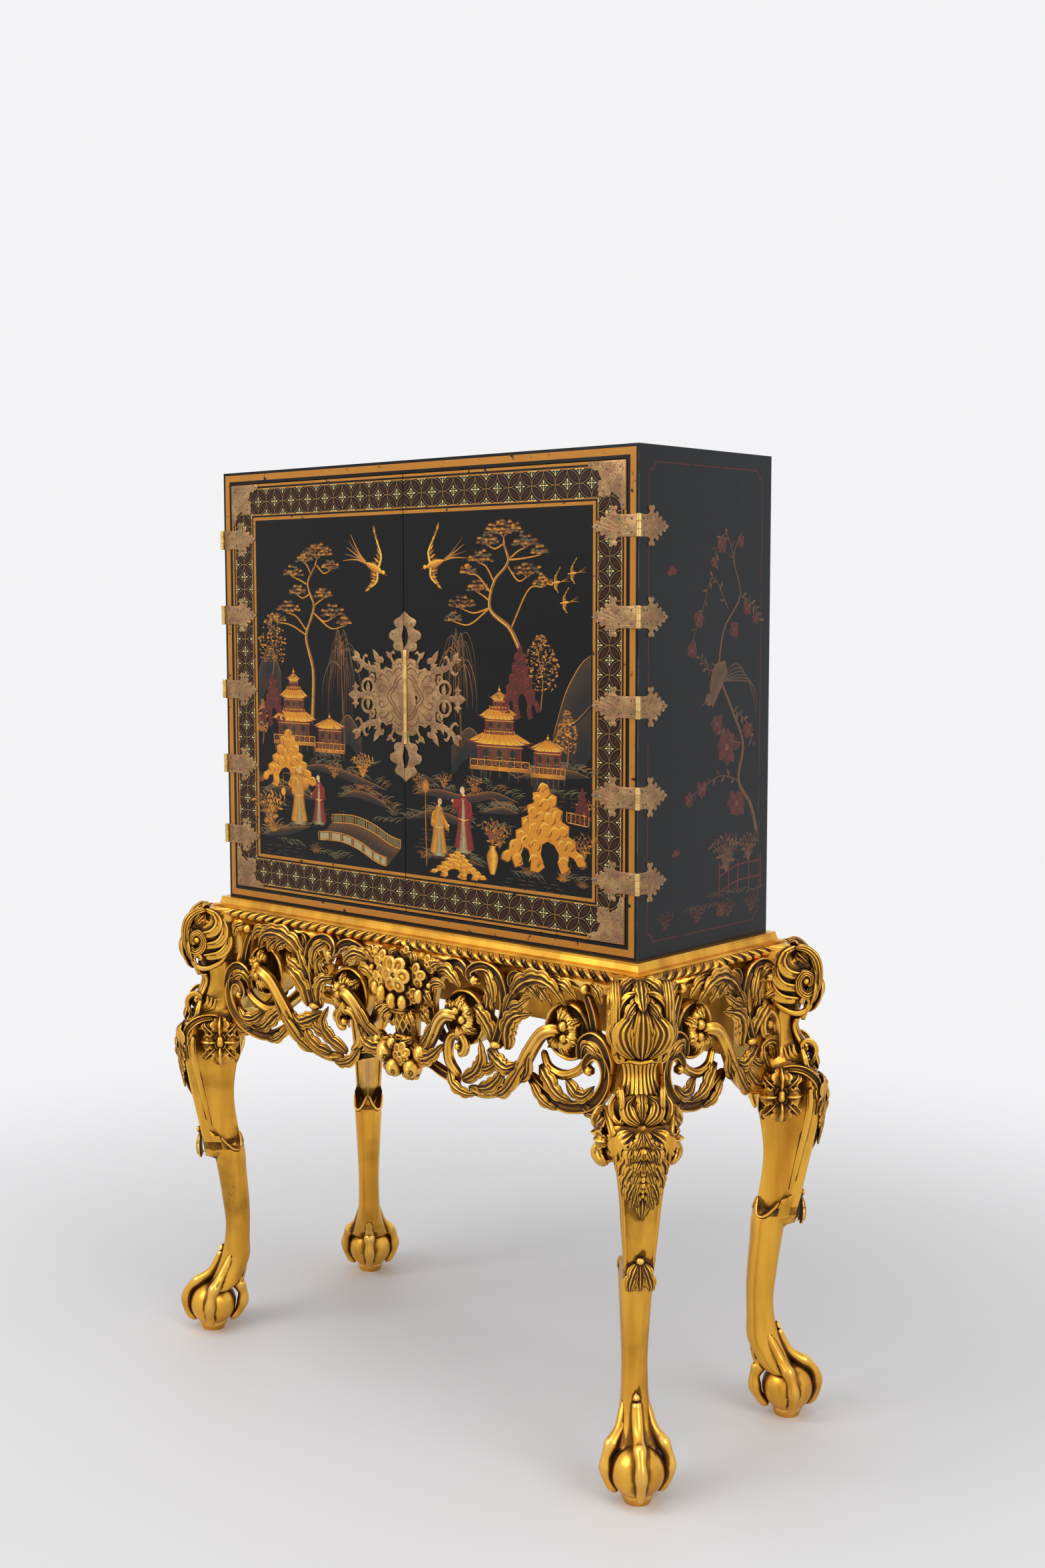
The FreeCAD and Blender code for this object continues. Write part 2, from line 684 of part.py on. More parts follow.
def rinceau(plane, inner_eye):
    """Scrolling foliage of an apron; u runs along the face from the corner of the case."""
    outer_eye = (122.0, 718.0)
    arch = (inner_eye[0], inner_eye[1] + 12.0)
    return [
        disc(plane, inner_eye, 46.0),
        petal(plane, (435.0, 640.0), inner_eye, 12.0, 12.0),
        scroll(plane, arch, 78.0, 8.0, 10.0, 165.0),
        scroll(plane, (290.0, 664.0), 62.0, 9.0, 205.0, 372.0),
        disc(plane, (345.0, 662.0), 15.0),
        disc(plane, outer_eye, 48.0),
        petal(plane, (282.0, 606.0), (128.0, 724.0), 15.0, 9.0),
        scroll(plane, (120.0, 718.0), 114.0, 9.0, 222.0, 328.0),
        petal(plane, (248.0, 636.0), (252.0, 812.0), 8.0, 9.0),
        petal(plane, (244.0, 660.0), (303.0, 746.0), 5.0, 16.0),
        petal(plane, (252.0, 664.0), (206.0, 756.0), 18.0, 4.0),
        scroll(plane, (165.0, 722.0), 80.0, 9.0, 35.0, 135.0),
        petal(plane, (232.0, 786.0), (214.0, 756.0), 6.0, 8.0),
        scroll(plane, (58.0, 712.0), 27.0, 8.0, -115.0, 115.0),
        scroll(plane, (72.0, 648.0), 20.0, 8.0, -60.0, 220.0),
        petal(plane, (28.0, 760.0), (104.0, 806.0), 26.0, 2.0),
    ]


def apron_side():
    """Pierced apron on the right side, between the corner posts."""
    plane = Plane((HALF_WIDTH + APRON_FACE, -HALF_DEPTH, 0), (0, 1, 0), (0, 0, 1), (-1, 0, 0))
    far = CASE_DEPTH - POST_INNER
    rail = [(far, TOP_RAIL_BASE), (far, STRIP_BASE), (POST_INNER, STRIP_BASE)]
    faces = rinceau(plane, SIDE_INNER_EYE) + [outline(plane, (POST_INNER, TOP_RAIL_BASE), rail)]
    x = (HALF_WIDTH + STRIP_INNER, HALF_WIDTH + APRON_FACE)
    y = (-HALF_DEPTH + POST_INNER, HALF_DEPTH - POST_INNER)
    return sheet(plane, faces, APRON_DEPTH).common(box(x, y, (0, STRIP_BASE)))


def apron_front():
    """Pierced apron on the front: two mirrored scrolls and a plaque behind the flower basket."""
    right = Plane((HALF_WIDTH, APRON_Y, 0), (-1, 0, 0), (0, 0, 1), (0, 1, 0))
    middle = Plane((0, APRON_Y, 0), (1, 0, 0), (0, 0, 1), (0, 1, 0))
    end = HALF_WIDTH - POST_INNER
    rail = [(end, TOP_RAIL_BASE), (end, STRIP_BASE), (-end, STRIP_BASE)]
    start = (0.0, 598.0)
    plaque = [
        ((44.0, 606.0), (62.0, 640.0)),
        ((40.0, 660.0), (28.0, 690.0)),
        ((40.0, 730.0), (64.0, 760.0)),
        ((66.0, 792.0), (50.0, STRIP_BASE)),
    ]
    half = rinceau(right, FRONT_INNER_EYE)
    faces = half + [middle.flipped(one) for one in half]
    faces.append(outline(middle, (-end, TOP_RAIL_BASE), rail))
    faces.append(outline(middle, start, with_reflection(start, plaque, across)))
    y = (APRON_Y, APRON_Y + APRON_DEPTH)
    return sheet(middle, faces, APRON_DEPTH).common(box((-end, end), y, (0, STRIP_BASE)))


def aprons():
    side = apron_side()
    end = HALF_WIDTH - POST_INNER
    back_y = (HALF_DEPTH + STRIP_INNER, HALF_DEPTH + POST_FACE)
    return {
        "apron_front": apron_front(),
        "apron_right": side,
        "apron_left": mirror_x(side),
        "apron_back": box((-end, end), back_y, (BACK_RAIL_BASE, STRIP_BASE)),
    }


def bud(x, z, radius):
    """A flower or fruit as a low dome on the face of the front apron."""
    tiers = ((1.0, 0.0), (0.6, 1.0))
    rings = []
    for spread, lift in tiers:
        middle = Vector(x, APRON_Y - lift * FLOWER_RISE * radius, z)
        reach = spread * radius
        rings.append(oval(middle, Vector(1, 0, 0), Vector(0, 0, 1), reach, reach, FLOWER_SIDES))
    return skin(rings)


def flower_basket():
    """Basket of flowers over a cluster of fruit, applied to the middle of the front apron."""
    tiers = ((650.0, 20.0, 10.0), (686.0, 36.0, 20.0), (712.0, 45.0, 24.0), (720.0, 47.0, 25.0))
    rings = []
    for height, half_width, depth in tiers:
        middle = Vector(0, APRON_Y, height)
        rings.append(
            oval(middle, Vector(1, 0, 0), Vector(0, 1, 0), half_width, depth, BASKET_SIDES)
        )
    in_front = box((-CASE_WIDTH, CASE_WIDTH), (-CASE_WIDTH, APRON_Y), (0, CASE_BASE))
    shapes = [skin(rings).common(in_front)]
    flowers = [(0, 770, 25), (36, 760, 21), (0, 731, 19), (25, 795, 21), (34, 728, 16)]
    fruit = [(0, 637, 22), (34, 642, 20), (16, 612, 19)]
    for x, z, radius in flowers + fruit:
        for side in (1, -1) if x else (1,):
            shapes.append(bud(side * x, z, radius))
    return {"flower_basket": joined(shapes)}


def leg_point(out, sideways, height):
    """A point of the right front leg, from distances along and across its diagonal."""
    x = HALF_WIDTH + (out + sideways) * DIAGONAL
    y = -HALF_DEPTH + (sideways - out) * DIAGONAL
    return Vector(x, y, height)


def leg_ring(height, back, front, half_width):
    """Cross-section of a leg: a raised panel over hollow sides, or an oval on the plain shin."""
    if height > PANEL_END:
        depth, waist, tail = PANEL_DEPTH, 0.72 * half_width, 0.70 * half_width
    else:
        depth, waist, tail = (front - back) / 2, 0.85 * half_width, 0.60 * half_width
    rest = front - depth - back
    side = [
        (front, 0.4 * half_width),
        (front - 0.35 * depth, 0.8 * half_width),
        (front - depth, half_width),
        (back + 0.5 * rest, waist),
        (back, 0.7 * tail),
    ]
    corners = side + [below(point) for point in reversed(side)]
    return [leg_point(out, sideways, height) for out, sideways in corners]


def leg_body():
    """Console with its two volutes, knee, shin and ankle, as heights, back, front and half width."""
    sections = [
        (818.0, -20.0, 62.0, 46.0),
        (780.0, -20.0, 101.0, 50.5),
        (738.0, -20.0, 86.0, 41.5),
        (702.0, -20.0, 62.0, 28.0),
        (661.0, -22.0, 84.0, 26.0),
        (636.0, -24.0, 81.0, 40.0),
        (628.0, -24.0, 90.0, 56.0),
        (588.0, -21.0, 106.0, 54.0),
        (544.0, -10.0, 102.0, 50.0),
        (505.0, -3.0, 93.0, 39.5),
        (440.0, -2.0, 79.0, 34.0),
        (369.0, -15.0, 76.0, 28.5),
        (350.0, -18.0, 60.0, 26.0),
        (340.0, -19.0, 38.0, 26.0),
        (286.0, -24.0, 28.0, 24.0),
        (200.0, -27.0, 20.0, 21.0),
        (150.0, -25.0, 28.0, 23.5),
        (116.0, -16.0, 42.0, 31.0),
        (92.0, -4.0, 74.0, 40.0),
    ]
    return skin([leg_ring(*section) for section in sections])


def knee_boss(side):
    """Domed boss of the rosette on one side of the knee."""
    out = Vector(DIAGONAL, -DIAGONAL, 0)
    tiers = ((1.0, 0.0), (0.85, 0.7), (0.4, 1.0))
    rings = []
    for spread, lift in tiers:
        middle = leg_point(BOSS_OUT, side * (BOSS_BASE + lift * BOSS_RISE), BOSS_HEIGHT)
        reach = spread * BOSS_RADIUS
        rings.append(oval(middle, out, Vector(0, 0, 1), reach, reach, BOSS_SIDES))
    return skin(rings)


def ball():
    rings = []
    for tier in range(BALL_TIERS):
        turn = math.pi * ((tier + 0.5) / BALL_TIERS - 0.5)
        middle = leg_point(FOOT_OUT, 0.0, BALL_HEIGHT + BALL_RADIUS * math.sin(turn))
        reach = BALL_RADIUS * math.cos(turn)
        rings.append(oval(middle, Vector(1, 0, 0), Vector(0, 1, 0), reach, reach, FOOT_SIDES))
    return skin(rings)


def toe(angle):
    """A knuckled, tapering toe bent round the ball: distances out, heights and radii."""
    tiers = [
        (28.0, 96.0, 11.0),
        (45.0, 82.0, 11.5),
        (49.5, 54.0, 10.5),
        (45.0, 34.0, 8.0),
        (31.0, 13.0, 4.0),
    ]
    turn = math.radians(angle)
    sideways = leg_point(-math.sin(turn), math.cos(turn), 0) - leg_point(0, 0, 0)
    centres = [leg_point(FOOT_OUT + r * math.cos(turn), r * math.sin(turn), h) for r, h, _ in tiers]
    rings = []
    for number, (_, _, radius) in enumerate(tiers):
        before = centres[max(number - 1, 0)]
        after = centres[min(number + 1, len(tiers) - 1)]
        outward = sideways.cross(after - before).normalize()
        rings.append(oval(centres[number], sideways, outward, radius, radius, TOE_SIDES))
    return skin(rings)


def leg():
    """Right front leg: corner post, console, cabriole leg and ball foot in one piece of wood."""
    post = box(
        (HALF_WIDTH - POST_INNER, HALF_WIDTH + POST_FACE),
        (-HALF_DEPTH - POST_FACE, -HALF_DEPTH + POST_INNER),
        (POST_BASE, STRIP_BASE),
    )
    tenon = box(
        (HALF_WIDTH - POST_INNER, HALF_WIDTH + STRIP_INNER),
        (-HALF_DEPTH - STRIP_INNER, -HALF_DEPTH + POST_INNER),
        (STRIP_BASE, CAVETTO_BASE),
    )
    pad = rod(PAD_RADIUS, leg_point(FOOT_OUT, 0, 0), leg_point(FOOT_OUT, 0, PAD_HEIGHT))
    toes = [toe(angle) for angle in (0, 90, 180, 270)]
    bosses = [knee_boss(side) for side in (1, -1)]
    return joined([leg_body(), post, tenon, ball(), pad] + toes + bosses)


def legs():
    front_right = leg()
    front_left = mirror_x(front_right)
    return {
        "leg_front_right": front_right,
        "leg_front_left": front_left,
        "leg_back_right": mirror_y(front_right),
        "leg_back_left": mirror_y(front_left),
    }


def write_parts():
    os.makedirs("parts", exist_ok=True)
    makers = (
        case_boards, case_fittings, doors, hinges, corner_plates, lock_mounts, lock, slide_bolts,
        mouldings, aprons, flower_basket, legs,
    )
    for make in makers:
        for name, shape in make().items():
            shape.exportStep("parts/%s.step" % name)


write_parts()
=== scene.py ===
"""Dresses the lacquer cabinet: gilded carving, black lacquer, painted doors and engraved brass."""

import random
from math import atan2, cos, hypot, pi, radians, sin, sqrt

import bpy
import numpy as np
from mathutils.bvhtree import BVHTree
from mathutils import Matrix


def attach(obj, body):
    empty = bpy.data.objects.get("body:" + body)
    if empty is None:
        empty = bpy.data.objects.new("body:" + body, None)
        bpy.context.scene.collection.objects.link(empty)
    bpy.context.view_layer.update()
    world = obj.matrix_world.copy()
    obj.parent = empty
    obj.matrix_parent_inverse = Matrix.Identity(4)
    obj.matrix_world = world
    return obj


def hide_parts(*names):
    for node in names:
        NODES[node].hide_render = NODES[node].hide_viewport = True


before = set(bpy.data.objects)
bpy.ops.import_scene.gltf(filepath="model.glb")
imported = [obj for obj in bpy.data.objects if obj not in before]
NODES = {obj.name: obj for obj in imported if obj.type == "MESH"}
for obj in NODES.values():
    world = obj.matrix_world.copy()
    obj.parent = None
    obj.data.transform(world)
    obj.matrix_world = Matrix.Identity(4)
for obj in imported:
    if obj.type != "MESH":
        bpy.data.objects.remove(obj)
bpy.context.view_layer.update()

MM = 0.001
HALF_WIDTH = 495.0
HALF_DEPTH = 178.0
CASE_BASE = 854.0
CASE_TOP = 1654.0

bpy.ops.object.select_all(action="DESELECT")
scene = bpy.context.scene
scene.view_settings.view_transform = "Standard"


class Tone:
    """A number that varies over a finish. Arithmetic on it adds Math nodes."""

    def __init__(self, finish, socket):
        self.finish = finish
        self.socket = socket

    def maths(self, operation, *values):
        inputs = dict(enumerate(values))
        return self.finish.node("ShaderNodeMath", {"operation": operation}, inputs)

    def __add__(self, other):
        return self.maths("ADD", self, other)

    __radd__ = __add__

    def __sub__(self, other):
        return self.maths("SUBTRACT", self, other)

    def __rsub__(self, other):
        return self.maths("SUBTRACT", other, self)

    def __mul__(self, other):
        return self.maths("MULTIPLY", self, other)

    __rmul__ = __mul__

    def __truediv__(self, other):
        return self.maths("DIVIDE", self, other)

    def __pow__(self, other):
        return self.maths("POWER", self, other)

    def __abs__(self):
        return self.maths("ABSOLUTE", self)

    def over(self, edge):
        return self.maths("GREATER_THAN", self, edge)

    def under(self, edge):
        return self.maths("LESS_THAN", self, edge)

    def least(self, other):
        return self.maths("MINIMUM", self, other)

    def most(self, other):
        return self.maths("MAXIMUM", self, other)

    def between(self, low, high):
        return self.over(low) * self.under(high)

    def soft(self, low, high):
        settings = {"interpolation_type": "SMOOTHSTEP"}
        inputs = {"Value": self, "From Min": low, "From Max": high}
        return self.finish.node("ShaderNodeMapRange", settings, inputs)


class Finish:
    """A material whose surface is worked out from the place of each point."""

    def __init__(self, name, **constants):
        self.material = bpy.data.materials.new(name)
        self.material.use_nodes = True
        self.tree = self.material.node_tree
        self.shader = self.tree.nodes["Principled BSDF"]
        self.place = None
        self.set(**constants)

    def here(self):
        """The place of a point as a vector in metres; its node is made at the first use."""
        if self.place is None:
            self.place = self.node("ShaderNodeTexCoord", output="Object")
        return self.place

    def node(self, kind, settings=None, inputs=None, output=0):
        made = self.tree.nodes.new(kind)
        for name, value in (settings or {}).items():
            setattr(made, name, value)
        for name, value in (inputs or {}).items():
            self.feed(made.inputs[name], value)
        return Tone(self, made.outputs[output])

    def feed(self, socket, value):
        if isinstance(value, Tone):
            self.tree.links.new(value.socket, socket)
        else:
            socket.default_value = value

    def set(self, **sockets):
        for name, value in sockets.items():
            self.feed(self.shader.inputs[name.replace("_", " ")], value)

    def where(self):
        """The place of a point in millimetres, as three tones."""
        split = self.node("ShaderNodeSeparateXYZ", inputs={0: self.here()})
        outputs = split.socket.node.outputs
        return [Tone(self, outputs[axis]) * 1000.0 for axis in range(3)]

    def facing(self, axis):
        normal = self.node("ShaderNodeTexCoord", output="Normal")
        split = self.node("ShaderNodeSeparateXYZ", inputs={0: normal})
        return Tone(self, split.socket.node.outputs[axis])

    def noise(self, scale, detail, stretch=(1.0, 1.0, 1.0)):
        spread = self.node("ShaderNodeMapping", inputs={"Vector": self.here(), "Scale": stretch})
        inputs = {"Vector": spread, "Scale": scale, "Detail": detail, "Roughness": 0.5}
        return self.node("ShaderNodeTexNoise", inputs=inputs)

    def cells(self, scale, feature="F1"):
        inputs = {"Vector": self.here(), "Scale": scale}
        return self.node("ShaderNodeTexVoronoi", {"feature": feature}, inputs, "Distance")

    def mix(self, share, first, second):
        inputs = {0: share, 6: first, 7: second}
        return self.node("ShaderNodeMix", {"data_type": "RGBA"}, inputs, 2)

    def bump(self, height, strength, distance):
        inputs = {"Height": height, "Strength": strength, "Distance": distance}
        self.set(Normal=self.node("ShaderNodeBump", inputs=inputs))

    def attribute(self, name, output="Fac"):
        return self.node("ShaderNodeAttribute", {"attribute_name": name}, output=output)


def rgb(red, green, blue):
    """A colour from its screen values of 0 to 255."""
    def linear(value):
        share = value / 255.0
        if share <= 0.04045:
            return share / 12.92
        return ((share + 0.055) / 1.055) ** 2.4
    return (linear(red), linear(green), linear(blue), 1.0)


def smooth(points, count):
    """Points along a smooth curve through the given ones."""
    known = np.array(points, float)
    spans = len(known) - 1
    ends = (2 * known[:1] - known[1:2], known, 2 * known[-1:] - known[-2:-1])
    known = np.vstack(ends)
    along = np.linspace(0, spans, count)
    first = np.minimum(along.astype(int), spans - 1)
    part = (along - first)[:, None]
    a, b, c, d = (known[first + step] for step in range(4))
    square = (2 * a - 5 * b + 4 * c - d) * part ** 2
    cube = (3 * b - a - 3 * c + d) * part ** 3
    return 0.5 * (2 * b + (c - a) * part + square + cube)


def profile(table, at):
    """Smooth values read from a table of (place, value) rows."""
    places, values = np.array(table, float).T
    slopes = np.gradient(values, places)
    at = np.clip(at, places[0], places[-1])
    first = np.clip(np.searchsorted(places, at) - 1, 0, len(places) - 2)
    width = places[first + 1] - places[first]
    part = (at - places[first]) / width
    rise = values[first + 1] - values[first]
    start = slopes[first] * width - rise
    end = rise - slopes[first + 1] * width
    bend = part * (1 - part) * (start * (1 - part) + end * part)
    return values[first] + rise * part + bend


def ease(low, high, value):
    part = np.clip((value - low) / (high - low), 0, 1)
    return part * part * (3 - 2 * part)


def round_turn(count):
    """Angles spaced evenly round a circle."""
    return np.linspace(0, 2 * pi, count, endpoint=False)


def rings(centre, levels, count):
    """Circles about an axis, from rows that give a radius and a place along the axis."""
    angle = round_turn(count)
    return [np.column_stack([centre[0] + reach * np.cos(angle), centre[1] + reach * np.sin(angle),
                             np.full(count, level)]) for reach, level in levels]


def unit(vectors):
    length = np.linalg.norm(vectors, axis=-1, keepdims=True)
    return vectors / np.maximum(length, 1e-9)


RAYS = 11
RAY_LIFT = 0.35
RAY_LEAN = 1.05


class Carving:
    """Closed carved forms gathered in one mesh, in millimetres."""

    def __init__(self):
        self.points = np.zeros((0, 3))
        self.faces = np.zeros((0, 4), int)
        self.recess = None

    def add(self, rows):
        """A closed form from rows of points: each row is a ring, and the end rows are closed."""
        rows = np.asarray(rows, float)
        count, around = rows.shape[:2]
        ends = [rows[:1].mean(axis=1, keepdims=True), rows[-1:].mean(axis=1, keepdims=True)]
        ends = [np.repeat(end, around, axis=1) for end in ends]
        rows = np.concatenate([ends[0], rows, ends[1]])
        index = np.arange((count + 2) * around).reshape(count + 2, around)
        after = np.roll(index, -1, axis=1)
        quads = np.stack([index[:-1], after[:-1], after[1:], index[1:]], axis=-1).reshape(-1, 4)
        points = rows.reshape(-1, 3)
        middle = points.mean(axis=0)
        a, b, c, d = (points[quads[:, corner]] - middle for corner in range(4))
        volume = np.einsum("ij,ij->", np.cross(a, b), c) + np.einsum("ij,ij->", np.cross(a, c), d)
        if volume < 0:
            quads = quads[:, ::-1]
        self.faces = np.vstack([self.faces, quads + len(self.points)])
        self.points = np.vstack([self.points, points])

    def normals(self):
        a, b, c, d = (self.points[self.faces[:, corner]] for corner in range(4))
        flat = np.cross(c - a, d - b)
        total = np.zeros_like(self.points)
        for corner in range(4):
            np.add.at(total, self.faces[:, corner], flat)
        return unit(total)

    def bulge(self):
        """How far each point stands out from its neighbours, for its distance from them."""
        total = np.zeros_like(self.points)
        reach = np.zeros(len(self.points))
        count = np.zeros(len(self.points))
        for corner in range(4):
            for start, end in ((corner, (corner + 1) % 4), ((corner + 1) % 4, corner)):
                step = self.points[self.faces[:, end]] - self.points[self.faces[:, start]]
                np.add.at(total, self.faces[:, start], step)
                np.add.at(reach, self.faces[:, start], np.linalg.norm(step, axis=1))
                np.add.at(count, self.faces[:, start], 1)
        steps = np.maximum(count, 1)
        return -np.einsum("ij,ij->i", total, self.normals()) / steps / np.maximum(reach / steps, 0.4)

    def measure_shade_and_dirt(self, reach):
        """Works out how shut in each point is, for the painted shade and dirt in hollows and grooves; a
        crest, which gets a painted highlight, is below nought.
        """
        corners = self.points.tolist()
        tree = BVHTree.FromPolygons(corners, self.faces.tolist())
        rng = np.random.default_rng(7)
        spread = unit(rng.normal(size=(RAYS, 3)))
        shut = np.zeros(len(self.points))
        for number, (point, normal) in enumerate(zip(self.points, self.normals())):
            start = point + normal * RAY_LIFT
            hits = 0.0
            for way in spread:
                ray = way + normal * RAY_LEAN
                distance = tree.ray_cast(start, ray, reach)[3]
                if distance is not None:
                    hits += 1.0 - 0.6 * distance / reach
            shut[number] = hits / len(spread)
        # Shut-in points and grooves rise and crests fall; the gilding paints these as shade, dirt and
        # highlight.
        self.recess = shut - 0.75 * np.clip(self.bulge(), -0.25, 0.25)

    def placed(self, turn):
        """A copy moved by a function of points; a mirrored copy keeps its faces outwards."""
        copy = Carving()
        copy.points = turn(self.points)
        frame_points = turn(np.vstack([np.zeros(3), np.eye(3)]))
        axes = frame_points[1:] - frame_points[0]
        mirrored = np.linalg.det(axes) < 0
        copy.faces = self.faces[:, ::-1] if mirrored else self.faces
        copy.recess = self.recess
        return copy

    def split(self, points, faces):
        """The forms added up to a count of points and faces, and those added after them."""
        halves = []
        for corners, sides, start in ((slice(None, points), slice(None, faces), 0),
                                      (slice(points, None), slice(faces, None), points)):
            half = Carving()
            half.points = self.points[corners]
            half.faces = self.faces[sides] - start
            half.recess = self.recess[corners]
            halves.append(half)
        return halves

    def join(self, other):
        recess = [part.recess if part.recess is not None else np.zeros(len(part.points))
                  for part in (self, other)]
        self.faces = np.vstack([self.faces, other.faces + len(self.points)])
        self.points = np.vstack([self.points, other.points])
        self.recess = np.concatenate(recess)

    def piece(self, name, finish, *nodes):
        """A gilded piece of the stand, shaded smooth, in place of the named nodes."""
        mesh = bpy.data.meshes.new(name)
        mesh.from_pydata((self.points * MM).tolist(), [], self.faces.tolist())
        mesh.validate()
        shaded = mesh.attributes.new("recess", "FLOAT", "POINT")
        values = self.recess if self.recess is not None else np.zeros(len(self.points))
        shaded.data.foreach_set("value", values.astype(np.float32))
        mesh.polygons.foreach_set("use_smooth", [True] * len(mesh.polygons))
        mesh.materials.append(finish.material)
        made = bpy.data.objects.new(name, mesh)
        scene.collection.objects.link(made)
        return dressed(made, "gilt_wood", "stand_and_case", *nodes)


def dressed(made, slot, body, *nodes):
    """Says which body a piece moves with and the nodes that it stands for; the slot is not used."""
    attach(made, body)
    if nodes:
        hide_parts(*nodes)
    return made


def turned_out(name, mesh, merge=False):
    """A new piece from a mesh of closed shells, with every face turned outwards."""
    made = bpy.data.objects.new(name, mesh)
    scene.collection.objects.link(made)
    bpy.context.view_layer.objects.active = made
    made.select_set(True)
    bpy.ops.object.mode_set(mode="EDIT")
    bpy.ops.mesh.select_all(action="SELECT")
    if merge:
        bpy.ops.mesh.remove_doubles(threshold=0.000005)
    bpy.ops.mesh.normals_make_consistent(inside=False)
    bpy.ops.object.mode_set(mode="OBJECT")
    if merge:
        bpy.ops.object.shade_smooth_by_angle(angle=radians(40))
    made.select_set(False)
    return made


OUTWARD = np.array((0.0, 0.0, 1.0))


def frames(path, outward):
    """Along, sideways and up directions at each point of a path."""
    along = unit(np.gradient(path, axis=0))
    side = np.cross(along, outward)
    for row in range(len(side)):
        if np.linalg.norm(side[row]) < 0.35 and row > 0:
            side[row] = side[row - 1]
    side = unit(side)
    return along, side, unit(np.cross(side, along))


def swept(path, across, height, section, outward=OUTWARD):
    """Rings of a section (across, up) carried along a path; the section may change on the way."""
    along, side, up = frames(path, outward)
    section = np.broadcast_to(section, (len(path),) + np.shape(section)[-2:])
    sideways = (across[:, None] * section[..., 0])[..., None] * side[:, None]
    upward = (height[:, None] * section[..., 1])[..., None] * up[:, None]
    return path[:, None] + sideways + upward


def rounded_ends(count, share=0.07):
    near = np.linspace(0, 1, count)
    near = np.clip(np.minimum(near, 1 - near) / share, 0, 1)
    return np.sqrt(1 - (1 - near) ** 2) * 0.97 + 0.03


def spread_along(values, count):
    return np.interp(np.linspace(0, 1, count), np.linspace(0, 1, len(values)), values)


def reeded(reeds, depth, count=24):
    angle = round_turn(count)
    reach = 1 - depth * (0.5 + 0.5 * np.cos(reeds * angle))
    return np.stack([np.cos(angle) * reach, np.sin(angle) * reach], axis=-1)


HOLLOW = np.array([
    (-1.0, -1.0), (-1.02, 0.45), (-0.94, 0.9), (-0.78, 1.0), (-0.62, 0.86), (-0.42, 0.45),
    (-0.2, 0.22), (0.0, 0.16), (0.2, 0.22), (0.42, 0.45), (0.62, 0.86), (0.78, 1.0),
    (0.94, 0.9), (1.02, 0.45), (1.0, -1.0),
])
REED = reeded(6, 0.22)
ROUND = reeded(1, 0.0, 14)


def stalk(carving, path, widths, section=REED, flat=0.9, rows=44, outward=OUTWARD):
    """A reeded stalk or hollow band along a path, with rounded ends."""
    line = smooth(path, rows)
    across = spread_along(widths, rows) * rounded_ends(rows)
    carving.add(swept(line, across, across * flat, section, outward))


def leaf(carving, path, width, rise=0.42, lobes=4, flutes=2.0, rows=34, outward=OUTWARD):
    """An acanthus leaf: a lobed blade with flutes and a raised rib, along a path."""
    line = smooth(path, rows)
    along = np.linspace(0, 1, rows)
    body = np.sin(pi * np.clip(along * 0.93 + 0.07, 0, 1) ** 0.8) ** 0.75
    notch = 0.6 + 0.4 * np.abs(np.sin(pi * lobes * (along ** 1.1))) ** 0.5
    across = 1.22 * width * np.maximum(body * notch, 0.05)
    span = np.linspace(-1, 1, 19)
    crown = (1 - span ** 2) * 0.55 + 0.5 * np.exp(-(span / 0.16) ** 2)
    groove = 0.22 * np.cos(2 * pi * flutes * span) * (1 - span ** 4)
    cup = 0.25 * span ** 2
    top = np.stack([span, crown + groove + cup], axis=-1)
    below = np.stack([span[::-3], np.full(len(span[::-3]), -0.5)], axis=-1)
    below[0, 0] = 0.93
    below[-1, 0] = -0.93
    section = np.vstack([top, below])
    height = width * rise * (0.35 + 0.65 * body)
    carving.add(swept(line, across, height, section, outward))


def foliage(carving, rows):
    """Leaves from rows that give a width, a number of lobes and the points of a path."""
    for width, lobes, *path in rows:
        leaf(carving, path, width, lobes=lobes)


def bead(carving, centre, radius, squash=(1.0, 1.0, 1.0), petals=0, depth=0.0):
    """A ball, or with petals a fruit ribbed from pole to pole, whose poles face out."""
    lift = np.linspace(-pi / 2, pi / 2, 11)[:, None]
    angle = round_turn(20 if petals else 14)[None]
    reach = np.cos(lift) * (1 - depth * (0.5 + 0.5 * np.cos(petals * angle)))
    rows = np.stack([reach * np.cos(angle), reach * np.sin(angle),
                     np.sin(lift) + 0 * angle], axis=-1)
    carving.add(np.array(centre) + rows * radius * np.array(squash))


def flower(carving, centre, radius, petals, rise, turn=0.0, oval=1.0, heart=0.3):
    """An open flower or rosette facing out, with cupped petals round a raised heart."""
    steps = np.linspace(0, 1, 15)[:, None]
    angle = round_turn(petals * 10)[None]
    lobe = np.abs(np.cos(petals * (angle + turn) / 2)) ** 0.45
    reach = steps * (1 - ease(0.35, 0.9, steps) * 0.3 * (1 - lobe))
    heart_dome = np.sqrt(np.clip(1 - (steps / heart) ** 2, 0, 1)) * 0.75
    cup = 0.32 + 0.45 * ease(heart, 0.85, steps) * lobe - 0.5 * ease(0.84, 1.0, steps)
    vein = 0.1 * np.cos(3 * petals * (angle + turn)) * ease(heart, 0.7, steps)
    top = np.where(steps < heart, heart_dome + 0.1, cup * (0.45 + 0.55 * lobe) + vein)
    rows = np.stack([reach * np.cos(angle), reach * np.sin(angle) * oval, top * rise], axis=-1)
    back = rows[-1:] * np.array((0.96, 0.96, 0.0)) - np.array((0, 0, 0.25))
    carving.add(np.array(centre) + np.concatenate([rows, back]) * radius)


def arc(centre, radius, start, end, out, count=7):
    """Points on an arc in the face of an apron; the radius and the depth may run between two values."""
    angle = np.radians(np.linspace(start, end, count))
    reach = np.linspace(*radius, count) if isinstance(radius, tuple) else np.full(count, radius)
    depth = np.linspace(*out, count) if isinstance(out, tuple) else np.full(count, out)
    return np.stack([centre[0] + reach * np.cos(angle), centre[1] + reach * np.sin(angle), depth],
                    axis=-1)


